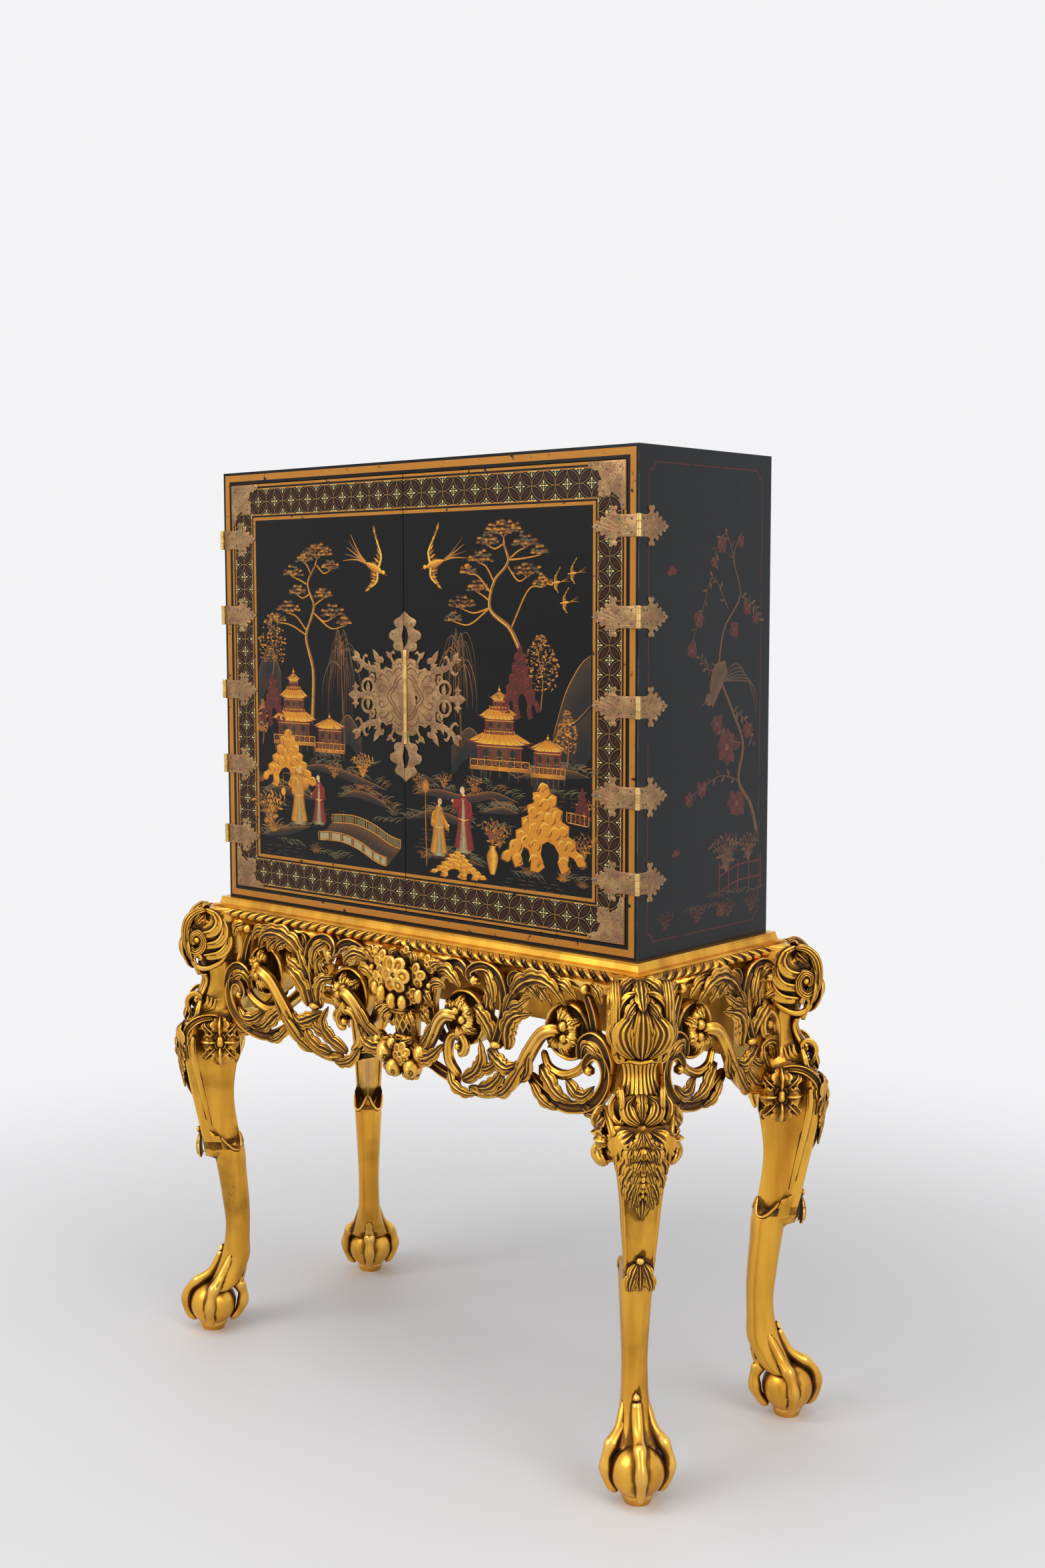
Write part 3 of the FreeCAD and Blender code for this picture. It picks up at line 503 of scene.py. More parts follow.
def heading(degrees):
    return np.array((cos(radians(degrees)), sin(radians(degrees))))


def scroll_eye(carving, centre, toward):
    """The round eye that ends a scroll: a dished disc in a ring, with a knuckled curl round two balls."""
    levels = ((0.0, -20.0), (30.0, -20.0), (38.0, -14.0), (41.0, -3.0), (45.0, 2.0), (48.0, -2.0),
              (48.0, -26.0), (0.0, -26.0))
    carving.add(rings(centre, levels, 40))
    hub = np.array(centre) + 4.0 * heading(toward)
    along = np.linspace(0, 1, 110)
    swell = 0.4 * np.abs(np.sin(pi * 5 * along)) ** 0.55
    knuckles = 0.6 + swell + 0.05 * np.cos(30 * pi * along)
    ring = smooth(arc(hub, 22.0, toward + 48, toward + 318, (3.0, 5.0), 13), 110)
    girth = 14.0 * knuckles * rounded_ends(110, 0.04)
    carving.add(swept(ring, girth, girth * 0.95, ROUND))
    for turn in (75, 129, 183, 237, 291):
        way = heading(toward + turn)
        path = [(*(hub + way * reach), out) for reach, out in ((24, 12), (34, 10), (42, 0))]
        leaf(carving, path, 8.0, 0.6, 2, 1.0, 18)
    for turn, radius in ((112, 9.5), (205, 8.5)):
        bead(carving, (*(hub + heading(toward + turn) * 13.0), 13.0), radius)


APRON_FACE = 200.0
SIDE_APRON_FACE = 517.0


def rinceau(carving):
    """Foliage that the front and side aprons share; u runs from the corner of the case."""
    scroll_eye(carving, (124.0, 728.0), 20.0)
    stem = [(342, 599, 0), (304, 596, 2), (265, 607, 5), (234, 628, 9), (215, 647, 12),
            (191, 683, 17), (167, 714, 20), (149, 728, 23), (134, 732, 19), (126, 729, 8)]
    stalk(carving, stem, (9, 10, 11, 12, 13, 13, 12, 12, 11, 8), rows=60)
    foliage(carving, (
        (12, 4, (312, 603, 6), (282, 612, 12), (258, 632, 14), (252, 655, 8)),
        (11, 3, (268, 600, 8), (240, 616, 16), (212, 648, 22), (188, 684, 20)),
        (9, 3, (225, 632, 8), (196, 650, 15), (186, 676, 22), (172, 706, 22)),
    ))
    outer = [(212, 648, -2), (179, 624, -2), (142, 608, 0), (107, 607, 2), (66, 621, 4),
             (40, 649, 6), (33, 676, 8), (42, 697, 9), (61, 701, 10), (75, 684, 11), (66, 669, 12)]
    stalk(carving, outer, (8, 10, 10, 10, 11, 11, 10, 9, 8, 7, 7), HOLLOW, 0.8, 70)
    foliage(carving, (
        (14, 4, (178, 664, 2), (156, 646, 8), (134, 626, 11), (104, 616, 8)),
        (12, 3, (122, 650, 2), (98, 634, 8), (76, 634, 12), (58, 652, 10)),
        (9, 3, (196, 634, 4), (168, 608, 8), (136, 598, 7)),
        (9, 3, (88, 612, 4), (62, 606, 9), (38, 624, 9)),
    ))
    stalk(carving, [(176, 690, -2), (161, 664, 0), (131, 656, 0), (97, 669, 3), (77, 690, 5)],
          (6, 8, 9, 8, 7))
    stalk(carving, [(92, 688, 3), (86, 716, 5), (62, 730, 7), (38, 718, 8), (27, 690, 8),
                    (34, 662, 6)], (7, 8, 9, 9, 8, 6), HOLLOW, 0.9)
    leaf(carving, [(88, 700, 6), (72, 716, 13), (52, 708, 14), (46, 692, 9)], 9, lobes=3)
    bead(carving, (66, 676, 12), 9, petals=6, depth=0.2)
    stalk(carving, [(84, 794, -2), (70, 762, -2), (64, 728, -2), (66, 700, -2)], (6, 7, 7, 6), HOLLOW)
    bead(carving, (82, 803, 4), 9)
    foliage(carving, (
        (9, 3, (70, 812, 4), (52, 803, 10), (46, 784, 8)),
        (13, 4, (256, 690, 0), (249, 735, 6), (238, 764, 10), (224, 790, 7)),
        (17, 5, (250, 680, 3), (243, 716, 10), (222, 740, 16), (192, 748, 8)),
        (11, 3, (247, 728, 6), (232, 750, 13), (212, 760, 15), (196, 774, 8)),
        (15, 5, (276, 680, 2), (284, 712, 10), (300, 736, 16), (320, 742, 8)),
        (12, 4, (272, 700, 1), (288, 735, 7), (284, 766, 12), (298, 780, 8)),
        (14, 5, (290, 672, 6), (259, 657, 13), (236, 652, 15), (208, 668, 9)),
        (10, 3, (262, 668, 6), (275, 648, 12), (298, 640, 12), (312, 652, 7)),
        (17, 6, (244, 756, 2), (218, 790, 8), (179, 807, 12), (143, 801, 15), (118, 772, 9)),
        (11, 3, (204, 797, 6), (184, 789, 14), (167, 772, 10)),
        (11, 3, (156, 806, 5), (120, 805, 10), (96, 784, 8)),
        (10, 3, (180, 800, 6), (160, 786, 15), (146, 768, 11)),
    ))
    stalk(carving, [(322, 782, 11), (328, 799, 9), (313, 811, 5), (291, 812, 3), (268, 801, 3),
                    (255, 776, 3), (252, 748, 3), (259, 716, 4), (270, 688, 5), (275, 676, 4)],
          (6, 7, 8, 8, 8, 9, 9, 9, 8, 6), HOLLOW, 0.95, 60)
    bead(carving, (317, 786, 9), 10, petals=6, depth=0.2)
    leaf(carving, [(300, 806, 4), (280, 792, 12), (272, 768, 13), (280, 750, 7)], 10, lobes=3)
    bead(carving, (271, 684, 7), 10, (1.3, 0.8, 1.0))
    carving.add([[(262, 800, out), (204, 800, out), (238, 768, out)] for out in (-22, -1)])
    stalk(carving, arc((232, 795), (15, 9), 150, -120, (0, 4)), (4, 5, 5, 4), HOLLOW, 0.9, 30)
    bead(carving, (231, 794, 3), 5.5)


def front_middle(carving):
    """Inner end of the front foliage, from the basket to the middle eye."""
    scroll_eye(carving, (352.0, 717.0), 330.0)
    stalk(carving, [(470, 640, 2), (434, 650, 8), (408, 684, 15), (391, 708, 20), (374, 722, 22),
                    (361, 722, 18), (354, 718, 8)],
          (7, 10, 12, 12, 12, 11, 8), rows=50)
    foliage(carving, (
        (14, 5, (474, 652, 6), (440, 636, 14), (412, 644, 17), (388, 668, 9)),
        (9, 3, (448, 652, 9), (424, 672, 20), (404, 698, 22), (386, 716, 17)),
    ))
    stalk(carving, [(398, 664, -6), (421, 690, -6), (430, 726, -5), (421, 766, -4), (398, 796, -2),
                    (365, 810, 1), (342, 803, 5), (335, 788, 8)], (6, 8, 8, 9, 9, 9, 8, 6), HOLLOW, 0.9,
          60)
    foliage(carving, (
        (12, 4, (410, 788, 3), (384, 796, 10), (362, 784, 12), (352, 768, 7)),
        (9, 3, (428, 742, 2), (418, 764, 9), (398, 770, 10), (388, 760, 6)),
    ))
    stalk(carving, [(360, 610, -1), (384, 634, 0), (386, 662, 3), (374, 684, 6), (352, 690, 9),
                    (338, 676, 10), (343, 660, 10), (356, 656, 10)], (9, 10, 10, 9, 9, 8, 8, 7), rows=56)
    bead(carving, (354, 668, 9), 9, petals=6, depth=0.2)
    stalk(carving, [(470, 622, -6), (436, 622, -6), (402, 612, -4), (362, 604, -2)], (6, 7, 8, 8), HOLLOW)
    foliage(carving, (
        (13, 4, (352, 610, 3), (314, 632, 10), (298, 658, 14), (308, 688, 8)),
        (10, 4, (384, 622, 3), (368, 600, 9), (340, 590, 9), (316, 592, 6)),
    ))


def side_end(carving):
    """Far end of the side foliage, a thick curl against the back leg."""
    stalk(carving, [(342, 602, 0), (350, 626, 2), (348, 664, 4), (338, 704, 7), (318, 728, 9),
                    (298, 716, 11), (300, 694, 12), (318, 690, 12)], (9, 11, 13, 14, 13, 11, 9, 7),
          rows=60)
    bead(carving, (314, 706, 10), 12, petals=7, depth=0.2)
    foliage(carving, (
        (12, 4, (346, 640, 6), (332, 668, 14), (312, 676, 15), (296, 664, 8)),
        (12, 4, (344, 690, 4), (346, 730, 10), (326, 756, 13), (306, 750, 8)),
        (11, 4, (336, 610, 4), (316, 634, 10), (300, 656, 13), (306, 682, 8)),
        (11, 4, (348, 770, 2), (332, 796, 8), (308, 800, 11), (294, 784, 8)),
    ))


def rail(carving, end, far):
    """Plain bar along the top of an apron, behind the foliage."""
    rows = [[(u, 796, -28), (u, 818, -28), (u, 818, -4), (u, 796, -4)] for u in (end, far)]
    carving.add(rows)


def on_front(points, side):
    u, height, out = points.T
    return np.column_stack([side * (HALF_WIDTH - u), -APRON_FACE - out, height])


def on_side(points, side):
    u, height, out = points.T
    return np.column_stack([side * (SIDE_APRON_FACE + out), u - HALF_DEPTH, height])


def aprons(finish):
    """The front apron, mirrored about its middle, and the two side aprons."""
    shared = Carving()
    rinceau(shared)
    rail(shared, 30.0, 326.0)
    front_half = Carving()
    front_half.join(shared)
    front_middle(front_half)
    rail(front_half, 326.0, 495.0)
    front_half.measure_shade_and_dirt(24.0)
    both = front_half.placed(lambda points: on_front(points, 1))
    both.join(front_half.placed(lambda points: on_front(points, -1)))
    both.piece("carved_apron_front", finish, "apron_front")
    side_end(shared)
    rail(shared, 326.0, 345.0)
    shared.measure_shade_and_dirt(24.0)
    for name, side in (("right", 1), ("left", -1)):
        turned = shared.placed(lambda points: on_side(points, side))
        turned.piece("carved_apron_" + name, finish, "apron_" + name)


CUP = ((0.0, 0.42), (0.36, 0.44), (0.66, 0.56), (0.88, 0.52), (1.0, 0.28), (0.9, -0.3), (0.0, -0.4))


def blossom(carving, centre, radius, petals, turn):
    """A flower of separate cupped petals, leaning outwards, round a ringed heart."""
    spread = round_turn(16)
    reach, out = (np.array(column)[:, None] for column in zip(*CUP))
    size = radius * 0.47
    for number in range(petals):
        way = turn + 2 * pi * number / petals
        ahead = reach * np.cos(spread) * 1.15
        beside = reach * np.sin(spread)
        lift = out - 0.22 * ahead
        ahead = ahead + 0.3 * out
        rows = np.stack([ahead * cos(way) - beside * sin(way),
                         ahead * sin(way) + beside * cos(way), lift], axis=-1) * size
        middle = np.array(centre) + radius * 0.57 * np.array((cos(way), sin(way), 0.0))
        carving.add(middle + rows)
    heart = [(centre[0] + radius * 0.23 * cos(angle), centre[1] + radius * 0.23 * sin(angle),
              centre[2] + radius * 0.2) for angle in np.linspace(0, 6.1, 9)]
    stalk(carving, heart, (radius * 0.09, radius * 0.09), ROUND, 1.0, 24)
    bead(carving, (centre[0], centre[1], centre[2] + radius * 0.08), radius * 0.2)


def basket(carving):
    """Woven basket with flowers over it and fruit under it; x, height and depth out of the apron."""
    angle = np.linspace(0, pi, 60)
    rise = np.linspace(0, 1, 44)[:, None]
    weave_a = np.abs(np.sin(angle[None] * 5 + rise * 6.5))
    weave_b = np.abs(np.sin(angle[None] * 5 - rise * 6.5))
    reach = 17 + 8 * rise + 4.6 * np.maximum(weave_a, weave_b) ** 5 - 2.0
    front = np.stack([-reach * np.cos(angle[None]), 658 + 54 * rise + 0 * angle[None],
                      reach * 0.8 * np.sin(angle[None]) - 6], axis=-1)
    carving.add(front)
    for height, half in ((658, 19), (664, 18.5), (708, 26), (714, 29)):
        path = [(-half, height, -6), (-half * 0.72, height, half * 0.5), (0, height, half * 0.8 - 4),
                (half * 0.72, height, half * 0.5), (half, height, -6)]
        stalk(carving, path, (3.2, 3.4, 3.2), ROUND, 1.0, 30)
    blooms = ((2, 774, 20, 31, 6, 0.0), (-38, 788, 10, 22, 5, 0.4), (43, 776, 12, 21, 5, 0.2),
              (32, 741, 16, 17, 5, 0.7), (-46, 758, 10, 20, 5, 0.1), (66, 798, 6, 16, 5, 0.3),
              (-68, 800, 5, 16, 5, 0.9), (16, 808, 8, 15, 5, 0.2), (54, 722, 6, 14, 5, 0.6),
              (-54, 724, 6, 13, 5, 0.1), (12, 636, 18, 20, 6, 0.3))
    for x, height, out, radius, petals, turn in blooms:
        blossom(carving, (x, height, out), radius, petals, turn)
    fruit = ((-34, 632, 8, 22), (-10, 609, 14, 17), (30, 613, 10, 18), (50, 640, 6, 18),
             (-58, 650, 3, 15), (-14, 650, 14, 12))
    for x, height, out, radius in fruit:
        bead(carving, (x, height, out), radius, (1.0, 1.06, 0.95))
        flower(carving, (x + radius * 0.3, height - radius * 0.3, out + radius * 0.72), radius * 0.3, 5,
               0.6)
    buds = ((-33, 737, 22, 12), (-4, 728, 26, 12), (20, 728, 24, 11), (-58, 742, 12, 11),
            (52, 742, 16, 11))
    for x, height, out, radius in buds:
        bead(carving, (x, height, out), radius, (0.92, 1.25, 0.8))
    berries = ((-70, 776), (-62, 764), (70, 762), (66, 750), (-16, 808), (-38, 604), (36, 598), (10, 597),
               (60, 652), (-64, 634))
    for x, height in berries:
        bead(carving, (x, height, 8), 6.5)
    leaves = (((-40, 716, 2), (-58, 706, 8), (-70, 690, 4)), ((40, 716, 2), (58, 706, 8), (70, 690, 4)),
              ((-20, 714, 12), (-32, 700, 20), (-36, 684, 12)),
              ((20, 714, 12), (32, 700, 20), (36, 684, 12)),
              ((-60, 780, 2), (-80, 800, 8), (-96, 804, 4)), ((60, 780, 2), (80, 800, 8), (96, 804, 4)),
              ((-44, 770, 6), (-66, 748, 12), (-78, 730, 6)), ((46, 756, 6), (66, 740, 12), (78, 724, 6)),
              ((-40, 640, 4), (-58, 652, 10), (-74, 650, 5)), ((40, 640, 4), (58, 654, 10), (74, 650, 5)),
              ((-18, 618, 6), (-28, 600, 12), (-40, 596, 6)), ((14, 616, 6), (22, 600, 12), (34, 594, 6)),
              ((0, 650, 10), (-16, 656, 16), (-30, 662, 10)),
              ((0, 650, 10), (16, 656, 16), (32, 664, 10)), ((-6, 790, 8), (-14, 808, 12), (-6, 815, 8)),
              ((30, 785, 8), (34, 806, 12), (26, 815, 8)))
    for path in leaves:
        leaf(carving, path, 10, lobes=3, rows=24)


BOARD_HALF = 456.5
BOARD_FRONT = 170.5
BOARD_BACK = 191.5
BOARD_BASE = 628.0
BOARD_TOP = 817.5
BOARD_SHADE = 0.12


def back_board(finish):
    """Plain board across the back of the stand, seen through the pierced front apron."""
    carving = Carving()
    carving.add([[(x, BOARD_FRONT, BOARD_BASE), (x, BOARD_BACK, BOARD_BASE), (x, BOARD_BACK, BOARD_TOP),
                  (x, BOARD_FRONT, BOARD_TOP)] for x in (-BOARD_HALF, BOARD_HALF)])
    # A fixed recess for the whole board, so the gilding paints it darker as painted shade behind the
    # apron.
    carving.recess = np.full(len(carving.points), BOARD_SHADE)
    made = carving.piece("plain_back_board", finish, "apron_back")
    made.data.polygons.foreach_set("use_smooth", [False] * len(made.data.polygons))


def middle_basket(finish):
    """The basket with its flowers and fruit, on a solid core."""
    carving = Carving()
    basket(carving)
    back = [[(-half, height, -20), (half, height, -20), (half, height, 2), (-half, height, 2)]
            for half, height in ((12, 598), (44, 616), (50, 640), (20, 662), (22, 700), (46, 730),
                                 (58, 770), (52, 815))]
    carving.add(back)
    carving.measure_shade_and_dirt(15.0)
    placed = carving.placed(
        lambda p: np.column_stack([p[:, 0], -APRON_FACE - p[:, 2], p[:, 1]]))
    placed.piece("carved_flower_basket", finish, "flower_basket")


STRIP_BASE = 818.5
STRIP_HIGH = 17.0
LOBE_STEP = 24.0


def lobed_strip(half_length):
    """A course of slanting lobes; along, height and distance out from the face of the case."""
    carving = Carving()
    count = int(half_length * 2.2)
    share = np.linspace(-1, 1, count)[:, None]
    across = np.linspace(0, 1, 15)[None]
    height = STRIP_BASE + STRIP_HIGH * across
    along = np.abs(share) * (half_length + 22)
    phase = ((along + 0.95 * (height - 827)) / LOBE_STEP) % 1.0
    lobe = np.sqrt(np.clip(1 - ((phase - 0.36) / 0.3) ** 2, 0, 1))
    darts = 0.42 * np.exp(-((phase - 0.76) / 0.045) ** 2) + 0.36 * np.exp(-((phase - 0.9) / 0.04) ** 2)
    relief = np.maximum(lobe, darts)
    out = 21.0 + 13.5 * np.sin(pi * (0.06 + 0.88 * across)) ** 0.8 * (0.25 + 0.75 * relief)
    face = np.stack([share * (half_length + out), height + 0 * share, out], axis=-1)
    inner = np.stack([share * (half_length - 6.0) + 0 * across[:, :2],
                      np.array([[STRIP_BASE + STRIP_HIGH, STRIP_BASE]]) + 0 * share,
                      np.full((count, 2), -6.0)], axis=-1)
    carving.add(np.concatenate([face, inner], axis=1))
    carving.measure_shade_and_dirt(14.0)
    return carving


def gadroons(finish):
    """The courses of lobes along the front and both sides."""
    long_course = lobed_strip(HALF_WIDTH)
    front = long_course.placed(lambda p: np.column_stack([p[:, 0], -HALF_DEPTH - p[:, 2], p[:, 1]]))
    front.piece("lobed_strip_front", finish, "gadroon_front")
    short_course = lobed_strip(HALF_DEPTH)
    for name, side in (("right", 1), ("left", -1)):
        placed = short_course.placed(
            lambda p: np.column_stack([side * (HALF_WIDTH + p[:, 2]), p[:, 0], p[:, 1]]))
        placed.piece("lobed_strip_" + name, finish, "gadroon_" + name)


LEG_OUTER = ((84, 60), (96, 52), (116, 42), (160, 26), (203, 20), (258, 25), (344, 38), (400, 47),
             (455, 58), (497, 68), (530, 78), (588, 92), (616, 92))
PANEL_OUTER = ((340, 56), (370, 59), (399, 64), (455, 75), (497, 84), (530, 90), (565, 94), (588, 94),
               (616, 88))
LEG_INNER = ((84, 4), (96, -6), (110, -13), (136, -24), (180, -26), (230, -27), (310, -22), (365, -17),
             (380, -12), (420, -4), (470, 0), (518, -5), (582, -21), (616, -30))
LEG_HALF = ((84, 38), (96, 34), (110, 30), (140, 24), (198, 21), (286, 24), (360, 28), (418, 31),
            (475, 34), (513, 39), (544, 45), (585, 50), (616, 50))
PANEL_HALF = ((340, 20), (400, 25), (455, 29), (497, 32), (530, 36), (560, 40), (616, 43))


SHAFT_POWER = 2 / 2.3
DIAGONAL = sqrt(0.5)
FACET_START = 0.42


def round_leg(height, turn):
    """The rounded section of the leg, at a height and an angle from its outer side."""
    outer, inner, half = (profile(table, height) for table in (LEG_OUTER, LEG_INNER, LEG_HALF))
    swing = np.sign(np.cos(turn)) * np.abs(np.cos(turn)) ** SHAFT_POWER
    out = (outer + inner) / 2 + (outer - inner) / 2 * swing
    return out, half * np.sin(turn) ** SHAFT_POWER


def hollow_end(facet):
    """Height at which the scooped facet ends in a rounded lip."""
    return 362 + 34 * np.abs(2 * facet - 1) ** 2.4


def leg_shaft(carving):
    """Cabriole shaft: a round shin, and above it a raised corner panel and two scooped facets."""
    height = profile(((0, 84), (50, 330), (150, 402), (200, 616)), np.arange(201.0))[:, None]
    step = np.linspace(0, 1, 51)[None]
    inner, panel, panel_half = (profile(table, height) for table in (LEG_INNER, PANEL_OUTER, PANEL_HALF))
    round_out, round_side = round_leg(height, pi * step)
    front = np.clip(step / 0.32, 0, 1)
    edge = np.clip((step - 0.32) / 0.1, 0, 1)
    facet = np.clip((step - FACET_START) / (1 - FACET_START), 0, 1)
    bead_line = 1.6 * np.exp(-((front - 0.88) / 0.07) ** 2) * (step < FACET_START)
    back = panel - 4 - 15
    cut_out = np.where(step < 0.32, panel - 4 * front ** 2 + bead_line,
                       np.where(step < FACET_START, panel - 4 - 15 * edge, back + (inner - back) * facet))
    scoop = 4.5 * np.sin(pi * facet)
    cut_side = np.where(step < 0.32, panel_half * front,
                        np.where(step < FACET_START, panel_half + 0.8 * np.sin(pi * edge),
                                 panel_half * (1 - facet) - scoop))
    panel_end = 343 + 16 * front ** 3
    blend = np.where(step < FACET_START, ease(-2.5, 2.5, height - panel_end),
                     ease(-4, 4, height - hollow_end(facet)))
    out = round_out + (cut_out - round_out) * blend
    side = round_side + (cut_side - round_side) * blend
    right = np.stack([out, np.maximum(side, 0), height + 0 * step], axis=-1)
    left = right[:, -2:0:-1] * np.array((1, -1, 1))
    carving.add(np.concatenate([right, left], axis=1))


FOOT_OUT = 47.0
BALL_HEIGHT = 51.0
BALL_RADIUS = 44.0
TOE_SIZES = ((0, 5), (0.12, 9), (0.3, 9.5), (0.4, 11.5), (0.52, 8.5), (0.66, 10.5), (0.76, 8), (0.9, 7),
             (1, 3))


def toe(carving, path):
    """A knuckled toe that bends round the ball."""
    line = smooth(path, 46)
    across = profile(TOE_SIZES, np.linspace(0, 1, 46))
    ends = rounded_ends(46, 0.05)
    centre = np.array((FOOT_OUT, 0.0, 60.0))
    away = unit(line - centre)
    along = unit(np.gradient(line, axis=0))
    side = unit(np.cross(along, away))
    up = unit(np.cross(side, along))
    ring = reeded(1, 0.0, 16)
    rows = line[:, None] + (across * ends)[:, None, None] * (
        ring[None, :, :1] * side[:, None] + ring[None, :, 1:] * up[:, None] * 1.1)
    carving.add(rows)


def foot(carving):
    """Ball held by four knuckled toes, on a small round pad."""
    lift = np.linspace(-pi / 2, pi / 2, 30)[:, None]
    angle = round_turn(44)[None]
    ball = np.stack([np.cos(lift) * np.cos(angle), np.cos(lift) * np.sin(angle),
                     np.sin(lift) + 0 * angle], axis=-1)
    carving.add(np.array((FOOT_OUT, 0.0, BALL_HEIGHT)) + ball * BALL_RADIUS)
    pad = ((20.5, 0.0), (21.5, 0.6), (22.5, 4), (24.5, 8), (26, 14), (24, 20))
    carving.add(rings((FOOT_OUT, 0.0), pad, 40))
    toe(carving, [(26, 0, 168), (32, 0, 140), (46, 0, 114), (66, 0, 98), (80, 0, 90), (93, 0, 76),
                  (98, 0, 58), (97, 0, 42), (90, 0, 26), (80, 0, 15)])
    toe(carving, [(-8, 0, 150), (-10, 0, 128), (-6, 0, 106), (-2, 0, 92), (-7, 0, 80), (-11, 0, 66),
                  (-10, 0, 50), (-3, 0, 34), (6, 0, 22), (14, 0, 15)])
    for side in (1, -1):
        toe(carving, [(6, side * 14, 160), (14, side * 17, 136), (26, side * 24, 112),
                      (36, side * 36, 96), (42, side * 43, 86), (46, side * 49, 70), (48, side * 50, 54),
                      (48, side * 47, 38), (47, side * 40, 24), (46, side * 32, 14)])


CRESCENT = reeded(4, 0.3)
FLUTED = reeded(9, 0.26, 45)


def hollow_rims(carving):
    """The raised lip round the end of each scooped facet, and the smooth band that runs up beside it."""
    facet = np.linspace(0.05, 0.97, 16)
    level = hollow_end(facet)
    out, across = round_leg(level, pi * (FACET_START + (1 - FACET_START) * facet))
    height = np.linspace(386, 592, 9)
    edge, half = profile(PANEL_OUTER, height) - 21, profile(PANEL_HALF, height) - 2.5
    for side in (1, -1):
        lip = np.column_stack([out - 0.6, side * (across - 0.6), level])
        stalk(carving, lip, (2.2, 2.8, 2.8, 2.2), ROUND, 1.0, 60, (0.0, side, 0.3))
        band = np.column_stack([edge, side * half, height])
        stalk(carving, band, (3.0, 5.5, 6.0, 6.5), ROUND, 0.6, 50, (-0.3, side, 0.0))


def panel_at(height):
    return float(profile(PANEL_OUTER, np.array(height)))


def knee(carving):
    """Acanthus on the corner panel with a drop of husks and beads, and a rosette on each side."""
    front = (1.0, 0.0, 0.25)
    tiers = ((606, 30, 556, 38, 15), (590, 14, 538, 34, 13), (568, 12, 518, 30, 12),
             (546, 9, 500, 24, 11), (524, 7, 486, 17, 9), (600, 20, 570, 44, 10))
    for side in (1, -1):
        for top, start, low, spread, width in tiers:
            fall = 0.9 * max(0, spread - 22)
            path = [(panel_at(top) - 2, side * start * 0.5, top),
                    (panel_at(top - 14) + 7, side * (start + 4), top - 14),
                    (panel_at(low + 14) + 8 - fall, side * (spread - 3), low + 14),
                    (panel_at(low) + 9 - fall, side * spread, low)]
            leaf(carving, path, width, lobes=4, outward=front)
            path = [(panel_at(top - 8) + 1, side * start * 0.4, top - 8),
                    (panel_at(low + 20) + 10, side * (start * 0.6 + 4), low + 22),
                    (panel_at(low + 6) + 9, side * (spread * 0.55), low + 4)]
            leaf(carving, path, width * 0.6, lobes=3, outward=front)
        rosette_out = np.array((18.0, side * 47.0, 583.0))
        face = Carving()
        flower(face, (0, 0, 0), 36, 8, 0.3, 0.0, 1.24, 0.26)
        for across, up, width in ((0, 1, 17), (0, -1, 17), (1, 0, 15), (-1, 0, 15)):
            path = [(across * 7, up * 9, 5), (across * 18, up * 24, 15), (across * 29, up * 39, 10),
                    (across * 34, up * 47, 1)]
            leaf(face, path, width, 0.5, 3, 1.0, 30)
        for across, up in ((1, 1), (1, -1), (-1, 1), (-1, -1)):
            path = [(across * 6, up * 8, 4), (across * 17, up * 20, 12), (across * 27, up * 30, 9),
                    (across * 29, up * 37, 1)]
            leaf(face, path, 10, 0.6, 2, 1.0, 24)
        around = [(10.5 * cos(a), 15.5 * sin(a), 12) for a in np.linspace(0, 2 * pi, 17)]
        stalk(face, around, (2.6, 2.6), ROUND, 1.0, 48)
        bead(face, (0, 0, 13), 8.5, (0.95, 1.55, 0.9))
        carving.join(face.placed(
            lambda p: rosette_out + np.column_stack([p[:, 0], side * p[:, 2], p[:, 1]])))
    for height, radius in ((578, 9), (561, 7), (548, 6.2), (537, 5.6), (527, 5), (518, 4.5), (510, 4)):
        bead(carving, (panel_at(height) + 7, 0, height), radius, (1.0, 1.0, 1.15))
    for height in (602, 584, 566):
        for side in (1, 0, -1):
            path = [(panel_at(height) + 3, side * 2, height + 6),
                    (panel_at(height) + 13, side * 8, height - 6),
                    (panel_at(height) + 12, side * 13, height - 18)]
            leaf(carving, path, 7, lobes=3, rows=20, outward=front)
    drop = [(panel_at(506) + 3, 0, 506), (panel_at(490) + 6, 0, 490), (panel_at(466) + 2, 0, 466)]
    leaf(carving, drop, 9, lobes=1, rows=24, outward=front)
    for side in (1, 0, -1):
        path = [(panel_at(392) + 2, side * 4, 392), (panel_at(376) + 8, side * 12, 374),
                (panel_at(360) + 9, side * 17, 356), (panel_at(350) + 5, side * 15, 346)]
        leaf(carving, path, 9.5, lobes=3, rows=26, outward=front)
    bead(carving, (panel_at(396) + 4, 0, 397), 6.5)


BLOCK_REACH = 139.5
BLOCK_EASE = 9.0
CONSOLE_OUTER = ((600, 82), (616, 78), (631, 71), (645, 69), (656, 66), (680, 56), (702, 52), (720, 55),
                 (738, 62), (760, 72), (780, 74), (800, 66), (819, 50), (836, 40))
CONSOLE_HALF = ((600, 44), (631, 36), (661, 23), (698, 24), (736, 33), (785, 42), (836, 38))


def console_core(carving):
    """Solid heart of the console and the square post behind it."""
    height = np.linspace(602, 835, 90)[:, None]
    turn = np.linspace(-pi / 2, pi / 2, 25)[None]
    outer, half = profile(CONSOLE_OUTER, height), profile(CONSOLE_HALF, height)
    back = -20.0
    out = back + (outer - back) * np.cos(turn) ** 0.45
    side = half * np.sign(np.sin(turn)) * np.abs(np.sin(turn)) ** 0.6
    flutes = 1.6 * np.cos(turn * 14) * np.cos(turn) * ease(664, 672, height) * ease(722, 712, height)
    carving.add(np.stack([out + flutes, side, height + 0 * turn], axis=-1))
    corners = [(14, 14), (14, -38), (-38, -38), (-38, 14)]
    post = [[((a + b) * DIAGONAL, (a - b) * DIAGONAL, height) for a, b in corners]
            for height in (640, 836)]
    carving.add(post)


